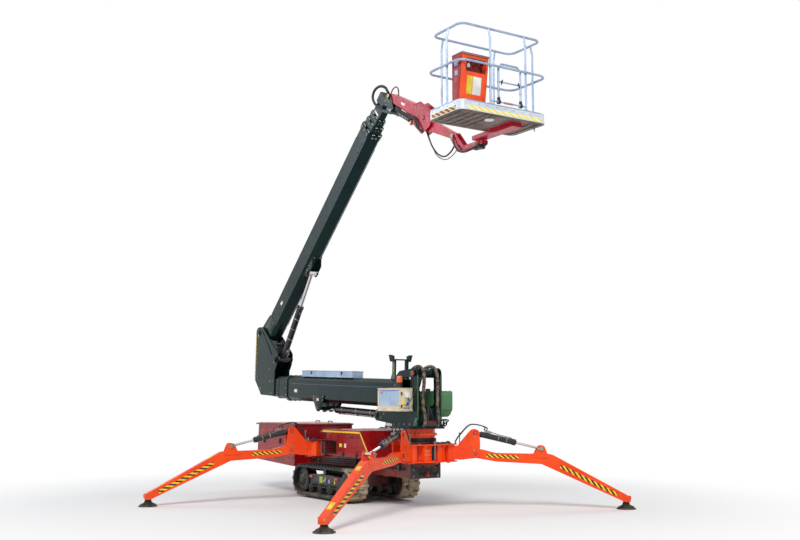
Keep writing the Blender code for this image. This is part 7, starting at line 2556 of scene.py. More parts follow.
@dataclass
class Elbow:
    """The elbow's pin heads, its striped edges, its bushes, screws and hoses."""

    layout: Layout
    half: float = 0.1533
    pin: tuple[float, float] = (5.431, 0.710)
    ram: tuple[float, float] = (4.694, 0.204)

    def build(self) -> None:
        """Dress the elbow."""
        frame = self.layout.lower()
        x, z = self.pin
        for side, name in ((FAR, "near"), (NEAR, "far")):
            out = (0, side, 0)
            PinCap(0.042).add(f"elbow_pin_{name}", "lower_inner", frame, (x, side * (self.half + 0.0165), z),
                              out, (-0.4, 0, -1))
            boss = Draft(frame)
            boss.lathe(((0.070, 0), (0.070, 0.006), (0.062, 0.010), (0.044, 0.0105)),
                       (x, side * self.half, z), out, 32)
            boss.lathe(((0.056, 0), (0.056, 0.005), (0.050, 0.008), (0.030, 0.0085)),
                       (*self.ram[:1], side * (self.half + 0.004), self.ram[1]), out, 32)
            boss.keep(f"elbow_bosses_{name}", "lower_inner", Finishes.BOOM, "boom_paint")
            PinCap(0.036).add(f"elbow_ram_pin_{name}", "lower_inner", frame,
                              (self.ram[0], side * (self.half + 0.0205), self.ram[1]), out, (0.3, 0, -1))
            tape = Draft(frame)
            tape.label((5.548, side * (self.half + 0.0003), 0.270), (0, 0, -side),
                       (1, 0, 0) if side > 0 else (1, 0, 0), 0.86, 0.030, stripes=11.0)
            tape.keep(f"elbow_tape_{name}", "lower_inner", Finishes.TAPE)
            spots = [((a, side * self.half, b), out) for a, b in
                     ((4.79, -0.42), (4.90, -0.42), (4.90, -0.20), (4.79, -0.20), (4.93, 0.02), (5.42, -0.12),
                      (5.47, 0.10), (5.47, 0.32), (5.30, -0.34))]
            Bolts.on(f"elbow_bolts_{name}", "lower_inner", frame, spots, 0.011, 0.009)
            rib = Draft(frame)
            rib.plate(((4.77, -0.455), (5.24, -0.455), (5.30, -0.425), (5.30, -0.412), (5.235, -0.441),
                       (4.77, -0.441)), 0.010,
                      side * (self.half + 0.004), soft=0.002)
            rib.plate(((4.86, 0.285), (5.285, 0.715), (5.276, 0.724), (4.85, 0.296)), 0.010,
                      side * (self.half + 0.004), soft=0.002)
            rib.keep(f"elbow_ribs_{name}", "lower_inner", Finishes.BOOM, "boom_paint")
        self._hoses(frame)

    def _hoses(self, frame: Matrix) -> None:
        """Lay the hoses that climb inside the elbow's plates from the lower tube to the pin.

        Args:
            frame: the frame that it is drawn in.
        """
        for index, y in enumerate((-0.060, -0.030, 0.0, 0.030, 0.060)):
            run = [(4.86, y, -0.290), (5.00, y, -0.330 + 0.006 * index), (5.16, y, -0.310), (5.30, y, -0.200),
                   (5.365, y, -0.040), (5.385, y, 0.160), (5.380, y, 0.330), (5.372, y, 0.480)]
            Pipes.run(f"elbow_hose_{index}", "lower_inner", [frame @ Vector(p) for p in smooth_path(run, 6)],
                      0.0105)
        clamp = Draft(frame)
        clamp.box((0.026, 0.170, 0.032), (5.392, 0, 0.180), soft=0.005)
        clamp.box((0.050, 0.190, 0.026), (5.372, 0, 0.486), soft=0.005)
        clamp.keep("elbow_hose_clamps", "lower_inner", Finishes.BLACK)


@dataclass
class UpperBoom:
    """The upper boom: bolts and pads on its collars, its pipes, cable guard, ram ears and labels."""

    layout: Layout
    half: float = 0.120
    drop: float = 0.205
    rise: float = 0.200
    ends: tuple[float, ...] = (4.960, 5.090, 5.220)
    bodies: tuple[str, ...] = ("upper_boom", "upper_second", "upper_third")

    def build(self) -> None:
        """Dress the upper boom's tubes."""
        frame = self.layout.upper()
        for index, (end, body) in enumerate(zip(self.ends, self.bodies)):
            inset = 0.020 * index
            Collar(f"{body}_collar", body, frame, end, self.half - inset, self.rise - inset, self.drop,
                   0.012 if index == 0 else 0.004).build()
        self._flanks(frame)
        self._ears(frame)
        self._carrier(frame)

    def _flanks(self, frame: Matrix) -> None:
        """Add the side bolts, the root plates and the blank labels.

        Args:
            frame: the frame that it is drawn in.
        """
        for side, name in ((NEAR, "near"), (FAR, "far")):
            y = side * (self.half + 0.0003)
            spots = [((x, side * self.half, z), (0, side, 0)) for x in (0.62, 0.78, 4.52, 4.70)
                     for z in (-0.12, -0.29)]
            Bolts.on(f"upper_side_bolts_{name}", "upper_boom", frame, spots, 0.008, 0.006,
                     Finishes.DARK_STEEL)
            root = Draft(frame)
            root.plate(((0.205, -0.060), (0.500, -0.075), (0.545, -0.110), (0.545, -0.310), (0.500, -0.345),
                        (0.205, -0.335)),
                       0.006, side * (self.half + 0.002), soft=0.002)
            root.keep(f"upper_root_plate_{name}", "upper_boom", Finishes.BOOM, "boom_paint")
            label = Draft(frame)
            label.label((0.98, y, -0.200), (-side, 0, 0), (0, 0, 1), 0.085, 0.055)
            label.keep(f"upper_label_{name}", "upper_boom", Finishes.WHITE_SIGN)
            cap = Draft(frame)
            cap.lathe(((0.062, 0), (0.062, 0.006), (0.054, 0.009), (0.040, 0.0095)), (0, side * self.half, 0),
                      (0, side, 0), 32)
            cap.keep(f"upper_root_boss_{name}", "upper_boom", Finishes.DARK_STEEL)
        seams = Draft(frame)
        for side in (NEAR, FAR):
            for z in (-0.058, -0.352):
                seams.box((4.10, 0.003, 0.006), (2.62, side * (self.half + 0.0005), z), soft=0.001)
        seams.keep("upper_seams", "upper_boom", Finishes.BOOM, "boom_paint")

    def _ears(self, frame: Matrix) -> None:
        """Add the ram ears' pin heads, bosses and bolts.

        Args:
            frame: the frame that it is drawn in.
        """
        for side, name in ((NEAR, "near"), (FAR, "far")):
            out = (0, side, 0)
            PinCap(0.033).add(f"upper_ram_pin_{name}", "upper_boom", frame, (2.000, side * 0.1065, -0.475),
                              out, (1, 0, 0.2))
            boss = Draft(frame).lathe(((0.050, 0), (0.050, 0.005), (0.044, 0.008), (0.030, 0.0085)),
                                      (2.000, side * 0.092, -0.475), out, 28)
            boss.keep(f"upper_ear_boss_{name}", "upper_boom", Finishes.BOOM, "boom_paint")
            spots = [((x, side * 0.092, -0.432), out) for x in (2.14, 2.20)]
            Bolts.on(f"upper_ear_bolts_{name}", "upper_boom", frame, spots, 0.008, 0.007)
        spots = [((x, y, -0.4095), (0, 0, -1)) for x in (1.89, 2.31) for y in (-0.060, 0.060)]
        Bolts.on("upper_doubler_bolts", "upper_boom", frame, spots, 0.010, 0.008)

    def _carrier(self, frame: Matrix) -> None:
        """Lay the cable guard with its end brackets and the two pipes along the far flank.

        Args:
            frame: the frame that it is drawn in.
        """
        y = self.half + 0.011
        line = [frame @ Vector((0.72 + 0.050 * k, y, -0.130)) for k in range(76)]
        turn = frame.to_3x3()
        Blocks.along("upper_cable_guard", "upper_boom", Finishes.GRILLE, line, 76, (0.044, 0.062, 0.020),
                     taper=0.9, across=tuple(turn @ Vector((0, 0, -1))))
        ends = Draft(frame)
        for x in (0.68, 4.50):
            ends.box((0.044, 0.026, 0.080), (x, y, -0.130), soft=0.004)
        for x in (0.74, 1.66, 2.58, 3.50, 4.44):
            ends.box((0.028, 0.022, 0.072), (x, self.half + 0.010, -0.245), soft=0.004)
        ends.keep("upper_guard_ends", "upper_boom", Finishes.DARK_STEEL)
        for index in range(2):
            z = -0.232 - 0.026 * index
            run = [(0.70, self.half + 0.010, z), (1.6, self.half + 0.010, z), (3.0, self.half + 0.010, z),
                   (4.46, self.half + 0.010, z)]
            Pipes.run(f"upper_pipe_{index}", "upper_boom", [frame @ Vector(p) for p in smooth_path(run, 4)],
                      0.007, Finishes.DARK_STEEL, sides=10)


@dataclass
class BoomHead:
    """The head at the boom's tip: pin heads, bolts, its hose clamp and its end plate."""

    layout: Layout
    reach: float = 0.0776

    def build(self) -> None:
        """Dress the head."""
        frame = self.layout.machine()
        for side, name in ((NEAR, "near"), (FAR, "far")):
            out = (0, side, 0)
            y = side * (self.reach + 0.0135)
            PinCap(0.032, Finishes.BRASS).add(f"jib_pin_{name}", "upper_fourth", frame, (-0.720, y, 6.300),
                                              out, (-0.3, 0, -1))
            PinCap(0.026, Finishes.STEEL).add(f"jib_ram_pin_{name}", "upper_fourth", frame,
                                              (-0.650, side * (self.reach + 0.0095), 6.051), out,
                                              (-1, 0, 0.4))
            boss = Draft(frame)
            boss.lathe(((0.046, 0), (0.046, 0.006), (0.040, 0.009), (0.026, 0.0095)),
                       (-0.720, side * self.reach, 6.300), out, 28)
            boss.keep(f"head_boss_{name}", "upper_fourth", Finishes.BOOM, "boom_paint")
            spots = [((x, side * self.reach, z), out) for x, z in ((-0.820, 6.245), (-0.800, 6.175),
                                                                   (-0.760, 6.105), (-0.700, 6.205))]
            Bolts.on(f"head_bolts_{name}", "upper_fourth", frame, spots, 0.009, 0.007)
        clamp = Draft(frame)
        clamp.box((0.050, 0.060, 0.060), (-0.870, -0.100, 6.150), soft=0.008)
        clamp.rod((-0.870, -0.078, 6.150), (-0.870, -0.136, 6.150), 0.010, steps=6)
        clamp.keep("head_hose_clamp", "upper_fourth", Finishes.BLACK)
        upper = self.layout.upper()
        guides = Draft(upper)
        for side in (NEAR, FAR):
            guides.box((0.036, 0.006, 0.150), (5.262, side * 0.0625, -0.205), soft=0.002)
        guides.box((0.036, 0.075, 0.006), (5.262, 0, -0.205 + 0.1425), soft=0.002)
        guides.keep("head_guides", "upper_fourth", Finishes.WHITE)


@dataclass
class Jib:
    """The jib and the levelling mount: pins, plates, hose ends and the basket's turning drive."""

    layout: Layout
    half: float = 0.065

    def build(self) -> None:
        """Dress the jib and the mount."""
        self._arm()
        self._mount()

    def _arm(self) -> None:
        """Add the ram's pin, the bend plates' bolts and rims and the small blank sign."""
        frame = self.layout.machine()
        x, z = self.layout.jib_eye
        pin = Draft(frame)
        for side in (NEAR, FAR):
            pin.rod((x, side * 0.0625, z), (x, side * 0.092, z), 0.016, steps=24, soft=0.002)
            pin.lathe(((0.024, 0), (0.024, 0.006), (0.019, 0.010), (0.006, 0.011)), (x, side * 0.0835, z),
                      (0, side, 0), 26)
        pin.keep("jib_rod_pin", "jib", Finishes.BRASS)
        for side, name in ((NEAR, "near"), (FAR, "far")):
            out = (0, side, 0)
            face = side * 0.075
            rims = Draft(frame)
            rims.plate(((0.020, 5.978), (0.165, 5.982), (0.412, 5.806), (0.424, 5.782), (0.410, 5.776),
                        (0.162, 5.962), (0.022, 5.962)), 0.008, face + side * 0.001, soft=0.002)
            rims.lathe(((0.040, 0), (0.040, 0.006), (0.034, 0.009), (0.020, 0.0095)), (0.250, face, 5.720),
                       out, 28)
            rims.keep(f"jib_plate_rims_{name}", "jib", Finishes.CRIMSON, "jib_paint")
            spots = [((a, face, b), out) for a, b in ((0.060, 5.930), (0.140, 5.925), (0.090, 5.780),
                                                      (0.190, 5.580), (0.370, 5.640),
                                                     (0.370, 5.760), (0.250, 5.855))]
            Bolts.on(f"jib_plate_bolts_{name}", "jib", frame, spots, 0.009, 0.008)
            cap = Draft(frame)
            cap.lathe(((0.018, 0.004), (0.018, 0.014), (0.013, 0.018), (0.004, 0.019)), (0.250, face, 5.720),
                      out, 24)
            cap.keep(f"jib_plate_cap_{name}", "jib", Finishes.STEEL)
            sign = Draft(frame)
            sign.label((-0.330, side * (self.half + 0.0004), 6.075), (-side * 0.86, 0, side * 0.505),
                       (0.505, 0, 0.86), 0.110, 0.036)
            sign.keep(f"jib_sign_{name}", "jib", Finishes.WHITE_SIGN)
        for index in range(4):
            y = -0.092 - 0.012 * (index % 2)
            run = [(-0.500, y + 0.010, 6.072 - 0.02 * index), (-0.420, y, 6.020 - 0.018 * index),
                   (-0.180, y, 5.880 - 0.016 * index),
                   (0.040, y - 0.004, 5.770 - 0.012 * index),
                   (0.150, y - 0.008 * index, 5.650 - 0.020 * index),
                   (0.180, y - 0.010, 5.560), (0.230, y + 0.020, 5.490 + 0.012 * index)]
            Pipes.run(f"jib_hose_{index}", "jib", self.layout.spots(smooth_path(run, 6)), 0.0095)
        straps = Draft(frame)
        for x, z in ((-0.400, 5.982), (-0.100, 5.806)):
            straps.box((0.024, 0.050, 0.110), (x, -0.086, z), Matrix.Rotation(math.radians(-30), 3, "Y"),
                       0.005)
        straps.keep("jib_hose_straps", "jib", Finishes.BLACK)

    def _mount(self) -> None:
        """Add the levelling pins, the fork's bolts and the turning drive under the basket."""
        frame = self.layout.machine()
        for side, name in ((NEAR, "near"), (FAR, "far")):
            out = (0, side, 0)
            PinCap(0.027, Finishes.STEEL).add(f"level_pin_{name}", "basket_mount", frame,
                                              (0.950, side * 0.0620, 5.290), out, (0.5, 0, -1))
            spots = [((x, side * 0.0526, z), out) for x, z in ((1.150, 5.068), (1.300, 5.056), (1.460, 5.056),
                                                               (1.040, 5.190))]
            Bolts.on(f"mount_bolts_{name}", "basket_mount", frame, spots, 0.009, 0.007)
        drive = Draft(frame)
        drive.lathe(((0.050, 0), (0.056, 0.004), (0.056, 0.034), (0.070, 0.040), (0.070, 0.056),
                     (0.064, 0.060)),
                    (1.560, 0, 4.980), (0, 0, 1), 36)
        drive.box((0.150, 0.060, 0.050), (1.500, 0, 5.006), soft=0.008)
        drive.rod((1.425, 0, 5.006), (1.400, 0, 5.006), 0.016, steps=6, soft=0.001)
        drive.keep("basket_drive", "basket_mount", Finishes.DARK_STEEL)
        spots = [((1.560 + 0.060 * math.cos(a), 0.060 * math.sin(a), 5.100), (0, 0, 1))
                 for a in (math.pi * (k + 0.5) / 4 for k in range(8))
                 if math.cos(a) < 0.2]
        Bolts.on("mount_table_bolts", "basket_mount", frame, spots, 0.008, 0.006)
        ties = Draft(frame)
        for x, z in ((1.120, 5.075), (1.360, 5.058)):
            ties.rod((x, -0.058, z), (x, 0.058, z), 0.014, steps=18, soft=0.002)
        ties.keep("mount_ties", "basket_mount", Finishes.STEEL)


@dataclass
class Basket:
    """The basket: tapes, floor, ribs, post feet, the console's parts and the gate's fittings."""

    layout: Layout
    centre: tuple[float, float] = (2.139, -0.330)
    depth: float = 0.740
    length: float = 1.420
    floor: float = 5.160
    pan: float = 0.130
    wall: float = 0.004
    console_y: tuple[float, float] = (-0.985, -0.570)
    console_top: float = 5.900
    gate: tuple[float, float, float] = (2.476, -0.230, 5.345)
    gate_half: float = 0.180

    def build(self) -> None:
        """Dress the basket, its console and its gate."""
        self._tapes()
        self._floor()
        self._underside()
        self._posts()
        self._console()
        self._console_top()
        self._gate()

    def _tapes(self) -> None:
        """Lay the hazard bands round the pan's lower edge and the pale band on its front."""
        frame = self.layout.machine()
        x, y = self.centre
        half_x, half_y = self.depth / 2, self.length / 2
        z = self.floor + 0.034
        for side, name in ((NEAR, "near"), (FAR, "far")):
            band = Draft(frame)
            band.label((x, y + side * (half_y + 0.0003), z), (-side, 0, 0), (0, 0, 1), self.depth - 0.21,
                       0.052, stripes=5.0)
            band.keep(f"pan_band_{name}", "basket", Finishes.PAN_TAPE)
        for side, name, finish in ((1, "front", Finishes.PALE_TAPE), (-1, "back", Finishes.PAN_TAPE)):
            band = Draft(frame)
            band.label((x + side * (half_x + 0.0003), y, z), (0, side, 0), (0, 0, 1), self.length - 0.21,
                       0.052, stripes=10.0)
            band.keep(f"pan_band_{name}", "basket", finish)
        rim = Draft(frame)
        top = self.floor + self.pan - 0.004
        for side in (-1, 1):
            rim.box((0.006, self.length - 0.21, 0.012), (x + side * (half_x + 0.001), y, top), soft=0.002)
            rim.box((self.depth - 0.21, 0.006, 0.012), (x, y + side * (half_y + 0.001), top), soft=0.002)
        rim.keep("pan_rim_trim", "basket", Finishes.ALUMINIUM, "bare_aluminium")
        spots = []
        for side in (-1, 1):
            spots += [((x + side * half_x, b, self.floor + 0.092), (side, 0, 0))
                      for b in np.linspace(y - 0.56, y + 0.56, 9)]
            spots += [((a, y + side * half_y, self.floor + 0.092), (0, side, 0))
                      for a in np.linspace(x - 0.24, x + 0.24, 4)]
        Bolts.on("pan_rivets", "basket", frame, spots, 0.0055, 0.004, Finishes.ALUMINIUM)

    def _floor(self) -> None:
        """Lay the raised tread over the floor and the step plate by the gate."""
        x, y = self.centre
        place = self.layout.machine() @ Matrix.Translation((x, y, self.floor + self.wall + 0.0006))
        Grid.on("floor_tread", "basket", Finishes.PAN, place, (self.depth - 0.17, self.length - 0.17),
                (15, 33), (0.030, 0.007, 0.0022), math.radians(45), "bare_aluminium")
        step = Draft(self.layout.machine())
        step.box((0.10, 0.34, 0.006), (x + 0.235, self.gate[1], self.floor + self.wall + 0.004), soft=0.002)
        step.keep("floor_step_plate", "basket", Finishes.PAN, "bare_aluminium")

    def _underside(self) -> None:
        """Add the under-floor ribs and sheet in a tone of painted shade, the pale ring, the carrier's bolts
        and the prop.
        """
        frame = self.layout.machine()
        x, y = self.centre
        # The ribs and the sheet under the floor take the darker tone of painted shade.
        ribs = Draft(frame)
        for offset in (-0.62, -0.50, -0.38, -0.26, -0.14, 0.50, 0.62):
            ribs.box((self.depth - 0.10, 0.026, 0.014), (x, y + offset, self.floor - 0.006), soft=0.003)
        for offset in (-0.30, 0.30):
            ribs.box((0.026, self.length - 0.16, 0.010), (x + offset, y, self.floor - 0.004), soft=0.003)
        ribs.keep("pan_ribs", "basket", Finishes.PAN_SHADE, "bare_aluminium")
        sheet = Draft(frame)
        cut = 0.095
        corner = ((1, 1), (-1, 1), (-1, -1), (1, -1))
        outline = []
        for index, (sx, sy) in enumerate(corner):
            bend = [(math.cos(a), math.sin(a)) for a in (math.radians(90 * index + 15 * k) for k in range(7))]
            outline += [(x + sx * (self.depth / 2 - cut - 0.006) + cut * ca,
                         y + sy * (self.length / 2 - cut - 0.006) + cut * sa)
                        for ca, sa in bend]
        sheet.plate(outline, 0.003, self.floor - 0.0012, "XY", 0.001)
        sheet.keep("pan_shade_sheet", "basket", Finishes.PAN_SHADE, "bare_aluminium")
        ring = Draft(frame).lathe(((0.002, 0.004), (0.040, 0.004), (0.044, 0.0), (0.062, 0.0), (0.064, 0.003),
                                   (0.064, 0.012)),
                                  (x + 0.16, y - 0.10, self.floor - 0.020), (0, 0, 1), 36)
        ring.keep("pan_ring", "basket", Finishes.WHITE)
        spots = [((a, b, 5.159), (0, 0, -1)) for a in (1.90, 2.10, 2.30) for b in (-0.125, 0.085)]
        Bolts.on("carrier_bolts", "basket", frame, spots, 0.010, 0.008)
        flange = Draft(frame)
        for b in (-0.125, 0.085):
            flange.box((0.60, 0.050, 0.005), (2.100, b, 5.1572), soft=0.002)
        flange.keep("carrier_flanges", "basket", Finishes.CRIMSON, "jib_paint")
        prop = Draft(frame)
        prop.rod((2.40, 0.24, 5.160), (2.40, 0.24, 5.085), 0.009, steps=14)
        prop.rod((2.40, 0.24, 5.085), (2.40, 0.24, 5.060), 0.009, 0.003, steps=14)
        prop.box((0.030, 0.030, 0.008), (2.40, 0.24, 5.155), soft=0.002)
        prop.keep("pan_prop", "basket", Finishes.STEEL)

    def _posts(self) -> None:
        """Add a foot plate with bolts under every post, and the rails' end caps and lanyard eyes."""
        frame = self.layout.machine()
        x, y = self.centre
        top = self.floor + self.pan
        out_x, out_y = self.depth / 2 - 0.020, self.length / 2 - 0.020
        feet = ((x + out_x, -0.550), (x + out_x, 0.030), (2.190, y - out_y), (x - out_x, -0.820),
                (x - out_x, 0.050), (2.240, y + out_y))
        plates = Draft(frame)
        spots = []
        for index, (a, b) in enumerate(feet):
            along = (0, 1) if index in (0, 1, 3, 4) else (1, 0)
            plates.box((0.036 + 0.060 * along[0], 0.036 + 0.060 * along[1], 0.006), (a, b, top + 0.003),
                       soft=0.002)
            plates.lathe(((0.024, 0), (0.022, 0.006), (0.0175, 0.016), (0.0155, 0.017)), (a, b, top + 0.005),
                         (0, 0, 1), 22)
            for s in (-1, 1):
                spots.append(((a + s * 0.034 * along[0], b + s * 0.034 * along[1], top + 0.006), (0, 0, 1)))
        plates.keep("post_feet", "basket", Finishes.ALUMINIUM, "bare_aluminium")
        Bolts.on("post_bolts", "basket", frame, spots, 0.007, 0.006)
        sleeves = Draft(frame)
        for a, b in feet:
            sleeves.lathe(((0.0155, 0), (0.0185, 0.003), (0.0185, 0.034), (0.0155, 0.038)), (a, b, 5.781),
                          (0, 0, 1), 20)
        sleeves.keep("rail_clamps", "basket", Finishes.ALUMINIUM, "bare_aluminium")
        eye = Draft(frame)
        eye.box((0.050, 0.006, 0.060), (x - out_x, -0.500, top + 0.026), soft=0.004)
        eye.lathe(((0.011, 0), (0.017, 0.001), (0.017, 0.009), (0.011, 0.010)),
                  (x - out_x, -0.505, top + 0.036), (0, 1, 0), 20)
        eye.keep("lanyard_eye", "basket", Finishes.STEEL)

    def _console(self) -> None:
        """Add the console's side plates, labels, knobs and screws."""
        frame = self.layout.machine()
        low_y, high_y = self.console_y
        lean = math.atan2(0.078, 0.560)
        side = Draft(frame)
        outline = ((2.262, 5.170), (2.386, 5.170), (2.401, 5.345), (2.478, self.console_top),
                   (2.262, self.console_top))
        for place in (low_y - 0.0025, high_y + 0.0025):
            side.plate(outline, 0.004, place, soft=0.0015)
        side.keep("console_sides", "basket", Finishes.CONSOLE_RED, "console_paint")
        labels = Draft(frame)
        for z, wide in ((5.780, 0.080), (5.660, 0.060)):
            labels.label((2.350, low_y - 0.0050, z), (1, 0, 0), (0, 0, 1), wide, 0.060)
        labels.keep("console_side_labels", "basket", Finishes.SMALL_SIGN)
        turn = Matrix.Rotation(lean, 3, "Y")
        up = Vector((math.sin(lean), 0, math.cos(lean)))
        out = Vector((math.cos(lean), 0, -math.sin(lean)))
        base = Vector((2.400, 0, 5.340))
        for label, along, y, wide, high, finish in (
                ("yellow", 0.175, low_y + 0.146, 0.085, 0.230, Finishes.YELLOW_SIGN),
                ("white", 0.175, low_y + 0.262, 0.130, 0.230, Finishes.WHITE_SIGN)):
            mark = Draft(frame)
            mark.label(base + up * along + Vector((0, y, 0)) + out * 0.0005, (0, 1, 0), up, wide, high)
            mark.keep(f"console_label_{label}", "basket", finish)
        middle = (low_y + high_y) / 2 + 0.02
        centre = base + up * 0.430 + Vector((0, middle, 0)) - out * 0.046
        panel = Draft(frame)
        panel.box((0.006, high_y - low_y - 0.134, 0.146), centre, turn, 0.002)
        panel.keep("console_panel", "basket", Finishes.CONSOLE_RED)
        frame_ring = Draft(frame)
        for s in (-1, 1):
            frame_ring.box((0.010, 0.010, 0.164), base + up * 0.430 + Vector((0, middle + s * 0.146,
                                                                              0)) + out * 0.001, turn, 0.003)
            frame_ring.box((0.010, 0.300, 0.010), base + up * (0.430 + s * 0.078) + Vector((0, middle,
                                                                                            0)) + out * 0.001,
                                                                                            turn, 0.003)
        frame_ring.keep("console_panel_rim", "basket", Finishes.BLACK)
        stems = Draft(frame)
        for index, offset in enumerate((-0.105, -0.045, 0.0, 0.045, 0.105)):
            foot = centre + Vector((0, offset, 0)) + up * (0.025 if index % 2 else -0.010)
            big = 1.9 if index == 0 else 1.0
            stems.rod(foot, foot + out * 0.022, 0.006, steps=12)
            knob = Draft(frame)
            knob.lathe(((0.008 * big, 0), (0.014 * big, 0.004), (0.014 * big, 0.014), (0.008 * big, 0.019),
                        (0.002, 0.020)),
                       foot + out * 0.018, out, 20)
            knob.keep(f"console_knob_{index}", "basket", Finishes.WHITE if index == 0 else Finishes.BLACK)
        stems.keep("console_stems", "basket", Finishes.STEEL)
        spots = [(base + up * a + Vector((0, b, 0)), out) for a in (0.040, 0.330)
                 for b in (low_y + 0.025, high_y - 0.025)]
        Bolts.on("console_screws", "basket", frame, spots, 0.006, 0.004)

    def _console_top(self) -> None:
        """Add the console's lid, its raised cover and its grey lip."""
        frame = self.layout.machine()
        low_y, high_y = self.console_y
        z = self.console_top
        lid = Draft(frame)
        lid.plate(((2.258, low_y - 0.006), (2.486, low_y - 0.006), (2.486, high_y + 0.006),
                   (2.258, high_y + 0.006)), 0.012, z + 0.006,
                  "XY", 0.004)
        lid.box((0.014, high_y - low_y - 0.04, 0.020), (2.268, (low_y + high_y) / 2, z + 0.018), soft=0.004)
        lid.keep("console_lid", "basket", Finishes.CONSOLE_RED, "console_paint")
        cover = Draft(frame)
        cover.plate(((2.300, low_y + 0.020), (2.466, low_y + 0.020), (2.466, high_y - 0.020),
                     (2.300, high_y - 0.020)), 0.008, z + 0.015,
                    "XY", 0.003)
        cover.keep("console_cover", "basket", Finishes.CONSOLE_RED, "console_paint")
        lip = Draft(frame)
        lip.box((0.012, high_y - low_y + 0.004, 0.016), (2.484, (low_y + high_y) / 2, z - 0.006), soft=0.004)
        lip.keep("console_lip", "basket", Finishes.STEEL)

    def _gate(self) -> None:
        """Add the gate's clamp feet, its levers, its spring and the stops on the rail."""
        frame = self.layout.machine()
        x, y, z = self.gate
        half = self.gate_half
        clamps = Draft(frame)
        for side in (-1, 1):
            clamps.lathe(((0.0235, 0), (0.029, 0.003), (0.029, 0.037), (0.0235, 0.040)),
                         (x, y + side * half - 0.020, z), (0, 1, 0), 26)
            clamps.box((0.034, 0.034, 0.044), (x, y + side * half, z + 0.040), soft=0.006)
        clamps.keep("gate_clamps", "gate", Finishes.BLACK)
        spring = [(x + 0.0145 * math.cos(a), y - 0.095 + 0.012 * a / math.pi, z + 0.0145 * math.sin(a))
                  for a in (math.pi * k / 5 for k in range(66))]
        Pipes.run("gate_spring", "basket", self.layout.spots(spring), 0.0026, Finishes.CONSOLE, sides=8)
        lever = Draft(frame)
        for side in (-1, 1):
            lever.box((0.012, 0.016, 0.070), (x + 0.020, y + side * (half - 0.040), z + 0.262),
                      Matrix.Rotation(0.3 * side, 3, "X"), 0.003)
            lever.rod((x - 0.004, y + side * (half - 0.040), z + 0.270),
                      (x + 0.028, y + side * (half - 0.040), z + 0.270), 0.010, steps=16, soft=0.002)
        lever.keep("gate_levers", "gate", Finishes.BLACK)
        caps = Draft(frame)
        for side in (-1, 1):
            caps.lathe(((0.0165, 0), (0.019, 0.003), (0.019, 0.022), (0.0165, 0.025)),
                       (x, y + side * half, z + 0.255), (0, 0, 1), 20)
            caps.lathe(((0.0165, 0), (0.0185, 0.003), (0.0185, 0.018), (0.0165, 0.021)),
                       (x, y + side * half, z + 0.150), (0, 0, 1), 20)
        caps.keep("gate_collars", "gate", Finishes.ALUMINIUM, "bare_aluminium")


@dataclass(frozen=True)
class Cord:
    """One free hose or cable: its line in the machine's frame, its size and what carries it."""

    name: str
    body: str | Bridge
    points: tuple[tuple[float, float, float], ...]
    radius: float
    finish: Finishes = Finishes.HOSE
    rings: int = 0
    stiffness: str = "medium"
    lay: str = "loose"

    def build(self, layout: Layout) -> None:
        """Args:
            layout: the machine's frames.
        """
        path = layout.spots(smooth_path(self.points, 8))
        made = Pipes.run(self.name, self.body, path, self.radius, self.finish, self.rings,
                         path_length(path) / max(1, self.rings) * 0.55, 14)


def at(y: float, *places: tuple[float, float]) -> tuple[tuple[float, float, float], ...]:
    """Return places in X and Z as points on one plane across the machine."""
    return tuple((x, y, z) for x, z in places)


